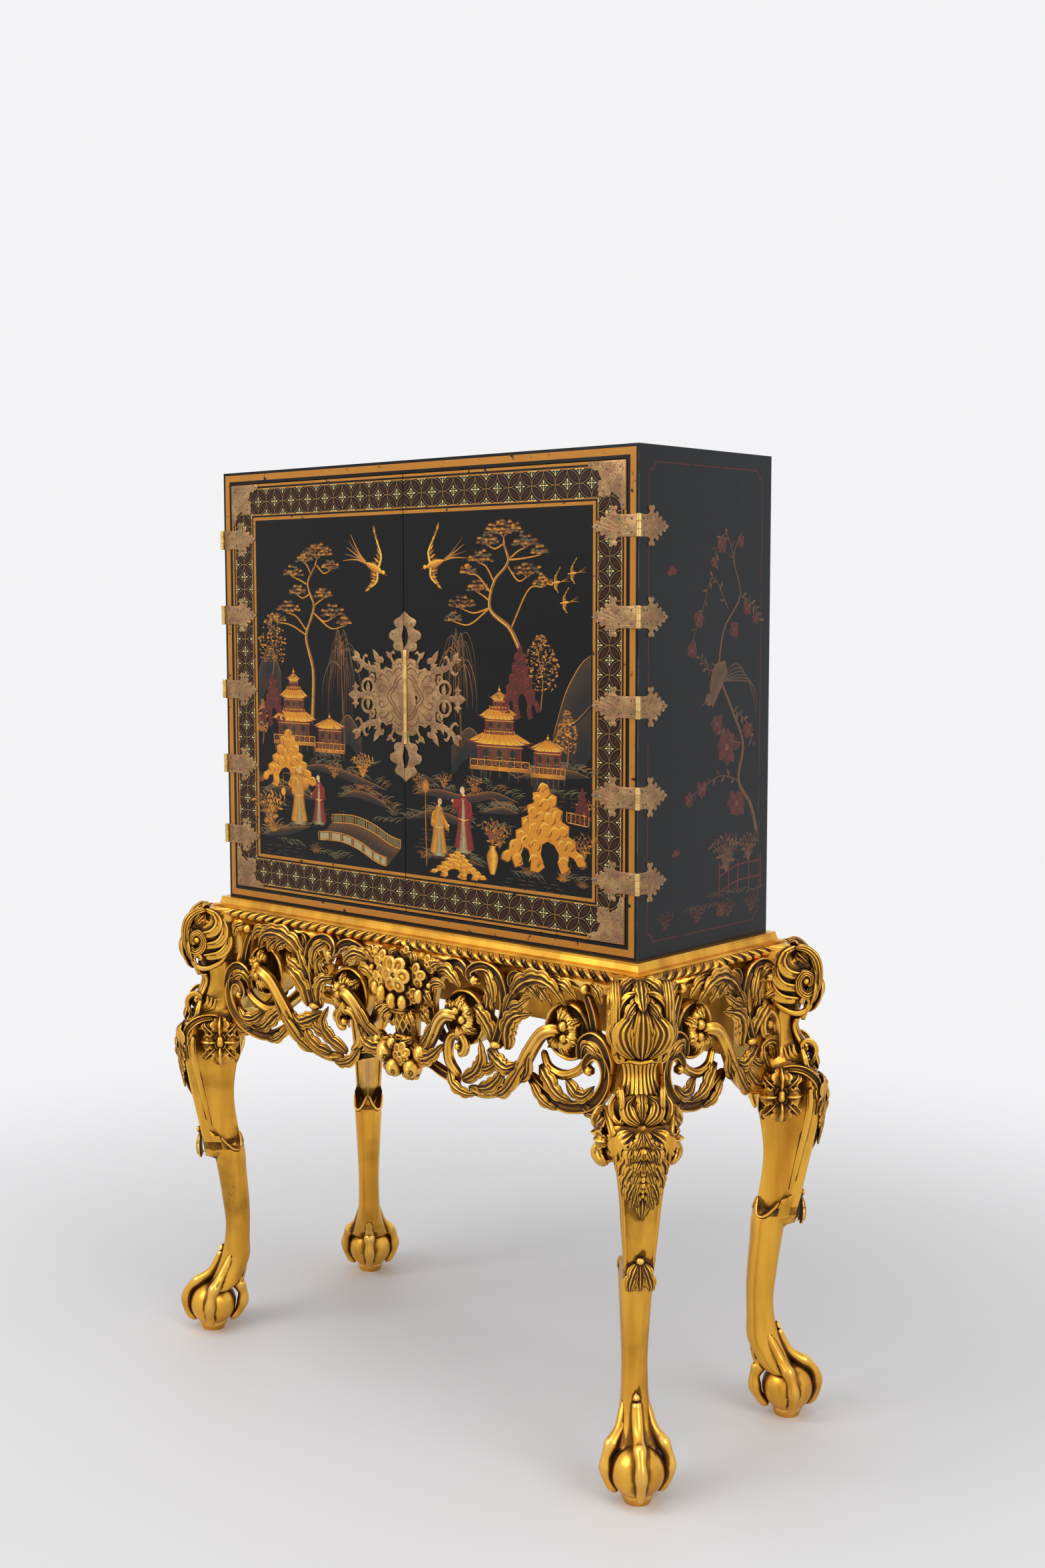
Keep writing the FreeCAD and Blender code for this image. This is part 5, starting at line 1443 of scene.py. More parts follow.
class Painting:
    """Raised gold and colours on one lacquered face, drawn in millimetres across and up."""

    def __init__(self, place, seed):
        self.place = place
        self.random = random.Random(seed)
        self.points = []
        self.tints = []
        self.faces = []
        self.base = 0.05

    def take(self, points, tints, faces):
        start = len(self.points)
        self.points += [tuple(point) for point in points]
        self.tints += [tuple(tint) for tint in tints]
        self.faces += [[corner + start for corner in face] for face in faces]
        self.base += 0.00004

    def vary(self, size):
        return self.random.uniform(-size, size)

    def pick(self, *tints):
        return self.random.choice(tints)

    def stroke(self, path, widths, tint, rise=0.16):
        """A brush stroke with pointed ends and a raised middle; its edges are painted a little darker as
        shade.
        """
        path = np.array(path, float)
        length = np.hypot(*np.diff(path, axis=0).T).sum()
        count = int(min(40, max(3, length / 5.0)))
        line = smooth(path, count + 2)
        along = unit(np.gradient(line, axis=0))
        side = np.column_stack([-along[:, 1], along[:, 0]]) * spread_along(widths, count + 2)[:, None]
        low, high = np.full((count, 1), self.base), np.full((count, 1), self.base + rise)
        body = slice(1, -1)
        rows = np.stack([np.hstack([(line + side)[body], low]), np.hstack([line[body], high]),
                         np.hstack([(line - side)[body], low])], axis=1)
        tips = [np.append(line[0], self.base), np.append(line[-1], self.base)]
        # Painted shade: the two edges of the stroke are a fifth darker than its middle, to round the
        # raised stroke.
        edge = np.array(tint[:3]) * 0.8
        hues = [edge, tint[:3], edge] * count + [tint[:3]] * 2
        faces = []
        for row in range(count - 1):
            for first in range(3):
                a, b = row * 3 + first, row * 3 + (first + 1) % 3
                faces.append((a, b, b + 3, a + 3))
        end = count * 3
        for first in range(3):
            second = (first + 1) % 3
            faces.append((second, first, end))
            faces.append((end - 3 + first, end - 3 + second, end + 1))
        self.take(np.vstack([rows.reshape(-1, 3), tips]), hues, faces)

    def needle(self, root, tip, wide, tint, swell=0.45):
        """One short dab: a leaf, a petal, a feather or a pine needle."""
        root, tip = np.array(root, float), np.array(tip, float)
        middle = root * (1 - swell) + tip * swell
        way = tip - root
        side = np.array((-way[1], way[0])) / max(np.hypot(*way), 0.01) * wide
        flat = [root, middle + side, tip, middle - side, middle]
        points = [(*spot, self.base + lift) for spot, lift in zip(flat, (0, 0, 0, 0, 0.14))]
        self.take(points, [tint[:3]] * 5, [(1, 0, 4), (2, 1, 4), (3, 2, 4), (0, 3, 4), (0, 1, 2, 3)])

    def wash(self, first, second, tints, rise, count=14):
        """Colour laid between two curves, shading from the first to the second."""
        first, second = smooth(first, count), smooth(second, count)
        across = 2 * len(tints) - 1
        share = np.linspace(0, 1, across)
        flat = first[:, None] * (1 - share[:, None]) + second[:, None] * share[:, None]
        lift = np.broadcast_to(self.base + rise * np.sin(pi * share), (count, across))
        stops = np.linspace(0, 1, len(tints))
        hues = np.array([np.interp(share, stops, [tint[axis] for tint in tints]) for axis in range(3)]).T
        index = np.arange(count * across).reshape(count, across)
        quads = [(index[r, c], index[r, c + 1], index[r + 1, c + 1], index[r + 1, c])
                 for r in range(count - 1) for c in range(across - 1)]
        back = [(index[r, 0], index[r + 1, 0], index[r + 1, -1], index[r, -1]) for r in range(count - 1)]
        ends = [tuple(index[0][::-1]), tuple(index[-1])]
        self.take(np.dstack([flat, lift]).reshape(-1, 3), np.tile(hues, (count, 1)), quads + back + ends)

    def even(self, at, half, tints, rise, count=14):
        """A shape that is the same on both sides, from its half widths and heights."""
        self.wash(at(*[(-x, z) for x, z in half]), at(*half), tints, rise, count)

    def slab(self, outline, tint, rise):
        """A flat raised shape with any outline."""
        count = len(outline)
        top = [(x, z, self.base + rise) for x, z in outline]
        low = [(x, z, self.base) for x, z in outline]
        walls = [(n, (n + 1) % count, (n + 1) % count + count, n + count) for n in range(count)]
        ends = [tuple(range(count - 1, -1, -1)), tuple(range(count, 2 * count))]
        self.take(top + low, [tint[:3]] * (2 * count), walls + ends)

    def dab(self, u, v, radius, tint, squash=1.0, heart=None):
        """A round or oval spot, raised to a point in its middle."""
        number = 8 if radius < 6 else 16
        turn = round_turn(number)
        ring = [(u + radius * cos(a), v + radius * squash * sin(a), self.base) for a in turn]
        fan = [(n, (n + 1) % number, number) for n in range(number)]
        self.take(ring + [(u, v, self.base + min(0.3, radius * 0.12))],
                  [tint[:3]] * number + [(heart or tint)[:3]], fan + [tuple(range(number - 1, -1, -1))])

    def piece(self, name, finish, body):
        mesh = bpy.data.meshes.new(name)
        mesh.from_pydata((self.place(np.array(self.points)) * MM).tolist(), [], self.faces)
        tint = mesh.attributes.new("tint", "FLOAT_COLOR", "POINT")
        colours = np.hstack([np.array(self.tints), np.ones((len(self.tints), 1))])
        tint.data.foreach_set("color", colours.astype(np.float32).ravel())
        mesh.materials.append(finish.material)
        return dressed(turned_out(name, mesh), "black_lacquer", body)


def about(u, v, wide, high=None, way=1, tilt=0.0):
    """Places given round a point in shares of a width and a height, mirrored or turned."""
    high = high or wide
    c, s = cos(radians(tilt)), sin(radians(tilt))
    return lambda *points: [(u + way * (x * wide * c - z * high * s), v + x * wide * s + z * high * c)
                            for x, z in points]


def tuft(paint, u, v, size, tint):
    """A fan of seven needles."""
    for number in range(7):
        angle = radians(10 + 160 * number / 6 + paint.vary(6))
        reach = size * (0.8 + 0.2 * sin(pi * number / 6)) * (1 + paint.vary(0.12))
        paint.needle((u, v), (u + reach * cos(angle), v + reach * sin(angle) * 0.8), 0.55, tint)


def pine_pad(paint, u, v, wide, high):
    """A flat cloud of pine tufts on its twigs."""
    at = about(u, v, wide, high)
    for twig in (-0.7, -0.25, 0.3, 0.75):
        paint.stroke(at((0, -0.9), (twig * 0.5, -0.25), (twig, 0.1)), (0.9, 0.6, 0.4), DIM)
    rows = max(3, int(high / 3.6))
    for row in range(rows):
        share = row / (rows - 1)
        reach = sqrt(max(0.06, 1 - (share * 0.92) ** 2))
        number = max(3, int(wide * reach / 3.8))
        for spot in range(number):
            (x, z), = at((reach * (2 * (spot + 0.5) / number - 1), share * 1.15 - 0.45))
            tone = paint.pick(DIM, GOLD, DIM, DUSK, GOLD, OLIVE)
            tuft(paint, x + paint.vary(1.8), z + paint.vary(1.8), 7.0, tone)


def pine(paint, trunk, girth, pads):
    """A bent pine with a branch to each pad of needles."""
    line = smooth(trunk, 40)
    paint.stroke(trunk, (girth, girth * 0.75, girth * 0.55, girth * 0.4), DIM, 0.3)
    paint.stroke([point + (-girth * 0.25, 0) for point in line[::4]],
                 (girth * 0.42, girth * 0.3, girth * 0.15), BRIGHT, 0.45)
    for point in line[2:-3:2]:
        paint.needle(point + (girth * 0.1, -2), point + (girth * 0.55, 2 + paint.vary(2)), 0.5, DUSK)
    for u, v, wide, high in pads:
        near = line[np.argmin(np.hypot(line[:, 0] - u, line[:, 1] - (v - high * 2.0)))]
        paint.stroke([near, (near[0] * 0.45 + u * 0.55, v - high * 1.25), (u, v - high * 0.75)],
                     (1.6, 1.3, 0.8), GOLD)
        pine_pad(paint, u, v, wide, high)


def leafy_tree(paint, u, v, high, spread=0.34):
    """A small round-leaved tree."""
    at = about(u, v, high)
    paint.stroke(at((0, 0), (0.04, 0.4), (-0.03, 0.75), (0.02, 1)), (1.4, 1.0, 0.5), DIM)
    for _ in range(int(high * 2.2)):
        level = paint.random.uniform(0.3, 1.05)
        (x, z), = at((paint.vary(spread) * sin(pi * min(1, level * 0.9)), level))
        paint.dab(x, z, paint.random.uniform(1.6, 3.0), paint.pick(DIM, DIM, DUSK, GOLD), 0.6)


def willow(paint, u, v, reach, drop):
    """Strands that spring from the trunk at many heights, arch over and hang."""
    paint.stroke([(u + 8, v - drop * 1.1), (u + 3, v - drop * 0.6), (u - 2, v - 22)], (2.4, 1.6, 0.8),
                 DUSK)
    for number in range(26):
        lean = (number % 13 - 6) / 6.0 + paint.vary(0.06)
        root = v - paint.random.uniform(14, 70)
        far, fall = lean * reach * paint.random.uniform(0.6, 1.0), drop * paint.random.uniform(0.34, 0.66)
        path = [(u, root), (u + far * 0.5, root + 20 - 9 * abs(lean)), (u + far * 0.9, root - fall * 0.3),
                (u + far, root - fall)]
        paint.stroke(path, (0.4, 0.75, 0.65, 0.2), paint.pick(DUSK, DIM, OLIVE, DUSK))


def hill(paint, ridge, depth, edge=DIM):
    """A far hill: an edge that sinks into the black."""
    paint.wash(ridge, np.array(ridge, float) - (0, depth), (rgb(58, 46, 28), SHADE, GROUND, GROUND), 0.03,
               26)
    paint.stroke(ridge, (0.3, 0.8, 0.8, 0.3), edge, 0.2)


def blades(paint, u, v, size, number, tint):
    """A tuft of long grass."""
    for blade in range(number):
        angle = radians(90 - 62 * (2 * blade / (number - 1) - 1))
        at = about(u + blade * 0.5, v, size * paint.random.uniform(0.7, 1.1))
        c, s = cos(angle), sin(angle)
        paint.stroke(at((0, 0), (0.5 * c, 0.62 * s), (1.05 * c, 0.8 * s)), (0.6, 0.6, 0.2), tint)


def reeds(paint, u, v, wide, tint, way):
    """Long blades that bend one way along a shore."""
    for number in range(int(wide / 4)):
        at = about(u + number * 4 + paint.vary(3), v + paint.vary(3), paint.random.uniform(12, 24), None,
                   way)
        paint.stroke(at((0, 0), (0.4, 0.36), (1, 0.42)), (0.3, 0.65, 0.2), tint)


def bank(paint, edge, depth):
    """Earth with a dim edge, hatched with grass."""
    taper = np.sin(np.linspace(0, pi, len(edge)))[:, None] ** 0.6 * np.array((0, depth * 0.45))
    paint.wash(edge, np.array(edge, float) - taper, (DUSK, SHADE, GROUND), 0.04, 24)
    paint.stroke(edge, (0.3, 0.8, 0.3), DIM)
    for point in smooth(edge, 14)[:-1]:
        reeds(paint, point[0], point[1] + 1, 22, paint.pick(OLIVE, OLIVE, DIM), paint.pick(1, -1))


def ripples(paint, u, v, wide, rows):
    """Short wavy strokes on the water."""
    for row in range(rows):
        for number in range(int(wide / 26)):
            at = about(u + number * 26 + paint.vary(8), v - row * 7 + paint.vary(1), 1)
            paint.stroke(at((0, 0), (5, 1.4), (10, 0), (15, 1.4), (19, 0)), (0.4, 0.5, 0.3), DUSK, 0.06)


ROCK_EDGE = (
    (-0.52, 0.08), (-0.5, 0.16), (-0.42, 0.2), (-0.41, 0.29), (-0.33, 0.33), (-0.33, 0.43), (-0.25, 0.47),
    (-0.26, 0.58), (-0.17, 0.62), (-0.19, 0.73), (-0.1, 0.77), (-0.12, 0.88), (-0.04, 0.9), (-0.02, 1.0),
    (0.07, 0.98), (0.1, 0.89), (0.18, 0.86), (0.17, 0.74), (0.25, 0.7), (0.24, 0.58), (0.33, 0.53),
    (0.32, 0.42), (0.41, 0.37), (0.41, 0.27), (0.5, 0.22), (0.54, 0.1), (0.44, 0.09), (0.4, 0.17),
    (0.33, 0.2), (0.31, 0.1), (0.35, 0.02), (0.24, -0.02), (0.2, 0.08), (0.21, 0.2), (0.15, 0.3),
    (0.07, 0.34), (0.0, 0.3), (-0.02, 0.18), (0.03, 0.04), (-0.05, -0.03), (-0.15, -0.02), (-0.14, 0.1),
    (-0.17, 0.22), (-0.23, 0.25), (-0.27, 0.15), (-0.24, 0.04), (-0.34, 0.0), (-0.38, 0.1), (-0.43, 0.05))
ROCK_LUMPS = (
    (-0.44, 0.13), (-0.34, 0.25), (-0.26, 0.38), (-0.19, 0.52), (-0.12, 0.66), (-0.06, 0.8), (0.02, 0.92),
    (0.12, 0.8), (0.18, 0.64), (0.26, 0.47), (0.34, 0.31), (0.47, 0.15), (0.03, 0.76), (-0.02, 0.62),
    (0.09, 0.6), (-0.1, 0.46), (0.04, 0.47), (0.16, 0.44), (-0.2, 0.31), (0.25, 0.31), (-0.09, 0.28),
    (-0.1, 0.1), (0.27, 0.1), (-0.31, 0.1))
EARTH = rgb(128, 70, 22)
GOLD_ROCK = (EARTH, GOLD, BRIGHT)
RED_ROCK = (SHADE, DEEP_RED, RED)


def rock(paint, u, v, wide, high, tones, way=1):
    """A craggy rock on spreading feet, built up of lumps that are lit from above."""
    at = about(u, v, wide, high, way)
    dark, body, light = tones
    paint.slab(at(*((x * 1.03, z * 1.02 - 0.014) for x, z in ROCK_EDGE)), dark, 0.12)
    paint.slab(at(*ROCK_EDGE), body, 0.24)
    paint.base += 0.22
    for x, z in ROCK_LUMPS:
        size = 0.075 + paint.vary(0.018)
        near = about(*at((x, z))[0], wide * size, high * size * 1.15, way, paint.vary(24))
        paint.stroke(near((0.95, 0.35), (0.8, -0.5), (0.1, -0.95)), (0.3, wide * 0.011, 0.3), dark, 0.1)
        paint.stroke(near((-0.9, -0.3), (-0.35, 0.6), (0.6, 0.55)), (0.3, wide * 0.014, 0.4), light, 0.25)
    paint.base -= 0.22


def roof(paint, u, v, wide, high, ridge):
    """A curved roof with upturned eaves, ribbed, and red along its edges."""
    eaves = about(u, v, wide, 1)((-1, 5), (-0.55, 0), (0, -1), (0.55, 0), (1, 5))
    crest = about(u, v + high, ridge, 1)((-1, 0), (-0.5, -0.6), (0, -0.8), (0.5, -0.6), (1, 0))
    paint.wash(crest, eaves, (GOLD, GOLD, BRIGHT), 0.2, 20)
    for upper, lower in zip(smooth(crest, 11), smooth(eaves, 11)):
        hollow = (upper * 0.45 + lower * 0.55) - (0, high * 0.09)
        paint.stroke([upper, hollow, lower], (0.35, 0.5, 0.6), DUSK, 0.3)
    paint.stroke(eaves, (0.8, 1.1, 0.8), RED, 0.35)
    paint.stroke(crest, (1.0, 1.2, 1.0), RED, 0.35)
    for side in (-1, 1):
        at = about(u, v, side)
        hip = at((ridge, high * side), (wide * 0.68, high * 0.32 * side), (wide, 5 * side),
                 (wide + 4, 9 * side))
        paint.stroke(hip, (0.8, 0.9, 0.4), RED, 0.35)


def railing(paint, path, high, panels, fill=None):
    """Posts, rails and panels along a path."""
    line = smooth(path, panels + 1)
    for first, second in zip(line, line[1:]):
        if fill:
            near, far = first * 0.88 + second * 0.12, first * 0.12 + second * 0.88
            paint.wash([near + (0, 1.5), far + (0, 1.5)], [near + (0, high - 1.5), far + (0, high - 1.5)],
                       (fill, fill), 0.1, 4)
        else:
            paint.stroke([first, second + (0, high)], (0.4, 0.4), DIM)
            paint.stroke([first + (0, high), second], (0.4, 0.4), DIM)
    for rise in (0, high):
        paint.stroke([(x, z + rise) for x, z in line], (0.9, 0.9, 0.9), GOLD, 0.3)
    for x, z in line:
        paint.stroke([(x, z - 1), (x, z + high + 3)], (0.9, 0.9), GOLD, 0.35)


def pavilion(paint, u, v, wide, tiers):
    """A pavilion on posts above the water, with a terrace and one roof to each tier."""
    for number in range(7):
        x = u - wide * 1.15 + number * wide * 0.385
        paint.stroke([(x, v - 2), (x, v - 20 + paint.vary(4))], (1.0, 0.9), DUSK)
    paint.even(about(u, v, wide, 1), ((1.25, 0), (1.25, -6)), (DIM, GOLD, DIM), 0.15)
    railing(paint, about(u, v, wide)((-1.22, 0), (0, 0), (1.22, 0)), 11, 8)
    level = v + 2
    for tier in range(tiers):
        half, high = wide * (1 - 0.36 * tier), 36 - 9 * tier
        at = about(u, level, half, high)
        paint.even(at, ((0.9, 0), (0.9, 1)), (DEEP_RED, DUSK, DEEP_RED), 0.05, 4)
        for bay in (-0.55, 0.0, 0.55):
            window = about(u + bay * half, level, half, high)
            paint.even(window, ((0.17, 0.06), (0.17, 0.62), (0, 0.8)), (SHADE, GROUND, SHADE), 0.08, 6)
            for path in (((-0.08, 0.08), (-0.08, 0.6)), ((0.08, 0.08), (0.08, 0.6)),
                         ((-0.16, 0.4), (0.16, 0.4))):
                paint.stroke(window(*path), (0.35, 0.35), GOLD, 0.2)
        for column in (-0.88, -0.29, 0.29, 0.88):
            paint.stroke(at((column, -0.05), (column, 1.05)), (1.4, 1.2), RED, 0.4)
        paint.stroke(at((-1, 0.88), (1, 0.88)), (0.9, 0.9), GOLD, 0.4)
        roof(paint, u, level + high - 1, half * 1.32, 19 - 2 * tier,
             half * (0.72 if tier < tiers - 1 else 0.16))
        level += high + 15 - 2 * tier
        if tier < tiers - 1:
            railing(paint, [(u - half * 0.62, level), (u + half * 0.62, level)], 6, 6)
    paint.stroke([(u, level), (u, level + 14)], (1.4, 0.5), GOLD, 0.4)
    paint.dab(u, level + 6, 2.6, BRIGHT)


def figure(paint, u, v, high, robe, under, way, hand):
    """A small robed figure, calm and plain."""
    at = about(u, v, high, high, way)
    deep = DEEP_RED if robe == RED else DIM
    for foot in (-0.07, 0.08):
        paint.dab(*at((foot, -0.01))[0], high * 0.035, DUSK, 0.5)
    paint.even(at, ((0.04, 0.8), (0.08, 0.5), (0.12, 0.25), (0.16, 0.0)), (under, CREAM, under), 0.2)
    paint.wash(at((-0.07, 0.82), (-0.14, 0.62), (-0.14, 0.4), (-0.21, 0.05)),
               at((0.03, 0.82), (0.0, 0.6), (0.0, 0.4), (-0.05, 0.04)), (deep, robe, robe), 0.35)
    paint.wash(at((0.07, 0.82), (0.12, 0.62), (0.12, 0.4), (0.19, 0.07)),
               at((0.0, 0.82), (0.02, 0.6), (0.03, 0.4), (0.07, 0.05)), (deep, robe, robe), 0.35)
    for fold in (-0.16, -0.11, -0.06, 0.1, 0.15):
        paint.stroke(at((fold * 0.6, 0.48), (fold, 0.08)), (0.4, 0.6), ROSE if robe == RED else deep,
                     0.45)
        paint.stroke(at((fold * 0.3, 0.4), (fold * 0.4, 0.02)), (0.3, 0.4), DUSK, 0.3)
    paint.stroke(at((-0.13, 0.5), (0, 0.47), (0.12, 0.5)), (1.0, 1.5, 1.0), BRIGHT, 0.6)
    x, z = hand
    paint.wash(at((-0.06, 0.79), (-0.16, 0.68), (-0.05, 0.57)),
               at((-0.13, 0.6), (-0.19, 0.5), (-0.06, 0.45)), (robe, robe, deep), 0.5)
    paint.wash(at((0.04, 0.8), (x * 0.6, z * 0.5 + 0.4), (x, z + 0.03)),
               at((0.11, 0.6), (x * 0.7, z * 0.5 + 0.2), (x + 0.02, z - 0.1)), (robe, robe, deep), 0.6)
    paint.stroke(at((x, z + 0.03), (x + 0.02, z - 0.1)), (0.6, 0.8), BRIGHT, 0.7)
    paint.stroke(at((-0.05, 0.82), (0.01, 0.73), (0.05, 0.82)), (0.7, 0.9, 0.7), CREAM, 0.6)
    paint.dab(*at((x + 0.02, z))[0], high * 0.022, SKIN)
    paint.dab(*at((0, 0.83))[0], high * 0.03, SKIN)
    paint.dab(*at((0.004, 0.92))[0], high * 0.062, HAIR, 1.1)
    paint.dab(*at((-0.018, 0.99))[0], high * 0.028, HAIR)
    paint.base += 0.25
    paint.dab(*at((0.024, 0.9))[0], high * 0.048, SKIN, 1.15)
    paint.base += 0.3
    for eye in (0.008, 0.046):
        paint.needle(*at((eye - 0.011, 0.908), (eye + 0.011, 0.908)), 0.4, HAIR)
        paint.needle(*at((eye - 0.012, 0.925), (eye + 0.012, 0.925)), 0.25, DUSK)
    paint.needle(*at((0.016, 0.872), (0.038, 0.872)), 0.4, RED)
    paint.base -= 0.55


def bird(paint, u, v, span, way, tilt, tail):
    """A flying bird with feathered wings, one raised and one lowered, and a long tail."""
    at = about(u, v, span, span, way, way * tilt)
    for plume in range(tail):
        bend = 0.07 * (plume - (tail - 1) / 2)
        path = at((-0.16, 0.0), (-0.42, bend * 0.5 + 0.03), (-0.74, bend * 1.8 + 0.06))
        paint.stroke(path, (span * 0.016, span * 0.012, span * 0.003), DIM if plume % 2 else GOLD, 0.3)
    for out, rise in ((-0.16, 0.5), (0.08, -0.34)):
        lead = smooth(((0.12, 0.0), (out * 0.3 + 0.16, rise * 0.5), (out, rise)), 9)
        for number, (x, z) in enumerate(lead):
            share = number / 8
            tip = (x - 0.2 + 0.1 * share, z + rise * 0.3 * share)
            paint.needle(*at((x, z), tip), span * 0.026, DIM if number % 2 else GOLD)
        paint.stroke(at(*lead[::2]), (span * 0.026, span * 0.02, span * 0.008), BRIGHT, 0.5)
    paint.wash(at((0.26, 0.02), (0.1, 0.07), (-0.08, 0.05), (-0.2, 0.005)),
               at((0.26, 0.0), (0.1, -0.06), (-0.08, -0.045), (-0.2, -0.012)), (BRIGHT, GOLD, DIM), 0.5,
               12)
    paint.dab(*at((0.27, 0.025))[0], span * 0.036, BRIGHT)
    paint.stroke(at((0.29, 0.025), (0.37, 0.0)), (span * 0.012, span * 0.008), RED, 0.4)
    for leg in (0.0, 0.05):
        paint.stroke(at((leg, -0.05), (leg + 0.01, -0.13), (leg + 0.05, -0.17)), (0.7, 0.6, 0.5), DIM,
                     0.2)


def bloom(paint, u, v, radius, tones, petals=7):
    """A full flower of three rings of uneven petals."""
    for ring, reach in enumerate((1.0, 0.74, 0.46)):
        for petal in range(petals + 2 - ring):
            angle = 2 * pi * (petal + 0.5 * ring) / (petals + 2 - ring) + paint.vary(0.16)
            far = radius * reach * (1 + paint.vary(0.16))
            tip = (u + far * cos(angle), v + far * sin(angle))
            paint.needle((u, v), tip, radius * (0.3 - 0.05 * ring), tones[(petal + ring) % 2], 0.72)
    for spot in range(5):
        angle = 1.26 * spot
        paint.dab(u + radius * 0.12 * cos(angle), v + radius * 0.12 * sin(angle), radius * 0.08, tones[2])


def spray(paint, path, tints, leaves, size):
    """A stem with leaves to both sides."""
    paint.stroke(path, (0.9, 0.7, 0.4), tints[0])
    line = smooth(path, leaves + 2)
    way = np.gradient(line, axis=0)
    for number in range(1, leaves + 1):
        angle = atan2(way[number, 1], way[number, 0]) + (0.9 if number % 2 else -0.9)
        tip = line[number] + size * np.array((cos(angle), sin(angle))) * paint.random.uniform(0.8, 1.2)
        paint.needle(line[number], tip, size * 0.17, paint.pick(*tints))


def shrub(paint, u, v, high, tints, stems=7):
    """Leafy stems that spread from one root."""
    at = about(u, v, high)
    for number in range(stems):
        lean = (2 * number / (stems - 1) - 1) * 0.62
        spray(paint, at((0, 0), (lean * 0.5, 0.5), (lean, 1 - 0.4 * abs(lean))), tints, 7, high * 0.2)


def bridge(paint, path, deck, high, panels):
    """An arched bridge seen from above: boards between two panelled railings."""
    near = np.array(path, float)
    far = near + np.array(deck)
    paint.wash(far, near, (DUSK, SHADE, DUSK), 0.1, 20)
    for upper, lower in zip(smooth(far, 15), smooth(near, 15)):
        paint.stroke([upper, lower], (0.3, 0.3), DIM, 0.15)
    railing(paint, far, high, panels, OLIVE)
    paint.base += 0.2
    railing(paint, near, high, panels, CREAM)
    paint.base -= 0.2


def jar_of_flowers(paint, u, v, high):
    """A banded jar with leaves and five red flowers."""
    at = about(u, v, high)
    paint.even(at, ((0.055, 0), (0.12, 0.2), (0.13, 0.34), (0.065, 0.45), (0.09, 0.5)),
               (DIM, GOLD, BRIGHT, DIM), 0.5, 16)
    paint.stroke(at((-0.12, 0.3), (0, 0.27), (0.12, 0.3)), (0.6, 0.8, 0.6), DEEP_RED, 0.6)
    shrub(paint, u, v + high * 0.5, high * 0.5, (DIM, OLIVE, GOLD), 5)
    for x, z in at((-0.1, 0.72), (0.02, 0.88), (0.13, 0.74), (-0.02, 0.66), (0.08, 0.62)):
        bloom(paint, x, z, 6.5, (DEEP_RED, RED, GOLD), 6)


SCRUB = (DIM, DUSK, GOLD)
MOSS = (DIM, OLIVE, GOLD)


def right_picture(finish):
    """Pavilions, pine and rocks over water, with two figures and a jar of flowers below."""
    paint = Painting(on_door(0, 0, 1), 11)
    hill(paint, [(322, 1196), (346, 1262), (366, 1296), (384, 1318), (402, 1330)], 96, GOLD)
    hill(paint, [(280, 1170), (318, 1186), (346, 1216), (372, 1226), (402, 1252)], 84, GOLD)
    hill(paint, [(96, 1170), (122, 1196), (140, 1204), (160, 1190), (178, 1164)], 50)
    willow(paint, 112, 1366, 54, 180)
    for edge, depth in (([(2, 1084), (60, 1096), (124, 1090), (190, 1100), (250, 1086)], 34),
                        ([(-12, 1040), (40, 1058), (96, 1054), (150, 1036)], 34),
                        ([(160, 1064), (210, 1076), (250, 1068)], 26),
                        ([(236, 1126), (300, 1142), (356, 1146), (401, 1136)], 34)):
        bank(paint, edge, depth)
    rock(paint, 250, 1226, 84, 118, RED_ROCK)
    leafy_tree(paint, 296, 1236, 118)
    leafy_tree(paint, 352, 1146, 90, 0.24)
    pine(paint, [(252, 1336), (228, 1372), (186, 1402), (196, 1448), (226, 1478), (214, 1512)], 5.0,
         [(122, 1412, 32, 13), (158, 1438, 26, 11), (102, 1388, 22, 9), (268, 1464, 34, 13),
          (302, 1444, 22, 9), (164, 1486, 30, 12), (136, 1466, 20, 8), (216, 1532, 42, 15),
          (264, 1510, 30, 12), (182, 1514, 26, 11), (294, 1494, 20, 8)])
    pavilion(paint, 206, 1142, 54, 3)
    pavilion(paint, 312, 1136, 30, 1)
    rock(paint, 300, 980, 172, 142, GOLD_ROCK)
    rock(paint, 384, 1062, 38, 58, RED_ROCK)
    shrub(paint, 388, 1004, 44, SCRUB, 5)
    shrub(paint, 206, 1006, 44, MOSS, 5)
    bank(paint, [(20, 974), (64, 988), (120, 984), (176, 972)], 26)
    rock(paint, 112, 948, 124, 46, GOLD_ROCK, -1)
    figure(paint, 66, 982, 104, GOLD, OLIVE, 1, (0.2, 0.52))
    figure(paint, 124, 992, 118, RED, OLIVE, -1, (0.2, 0.74))
    paint.stroke([(36, 960), (34, 1040), (34, 1092)], (0.7, 0.8, 0.6), GOLD, 0.3)
    paint.dab(34, 1100, 9, DIM, 1.3, GOLD)
    jar_of_flowers(paint, 190, 962, 96)
    for u, v, wide in ((20, 1024, 96), (220, 958, 150), (10, 1006, 60), (330, 1100, 60)):
        ripples(paint, u, v, wide, 3)
    for u, v, wide, way in ((4, 1108, 60, 1), (150, 1112, 44, -1), (300, 1104, 80, 1), (180, 1040, 50, 1),
                            (250, 964, 60, -1), (330, 968, 66, 1)):
        reeds(paint, u, v, wide, OLIVE, way)
    for u, v, size, tint in ((266, 968, 24, DIM), (342, 964, 20, GOLD), (384, 958, 18, DIM),
                             (232, 990, 20, OLIVE)):
        blades(paint, u, v, size, 9, tint)
    for u, v in ((20, 1092), (78, 1098), (148, 1096), (392, 1072)):
        shrub(paint, u, v, 30, SCRUB, 5)
    railing(paint, [(352, 1062), (398, 1058)], 16, 5)
    bird(paint, 62, 1478, 100, -1, 16, 4)
    for u, v in ((332, 1444), (366, 1458), (350, 1412)):
        bird(paint, u, v, 38, -1, 8, 3)
    paint.piece("picture_right", finish, "right_door")


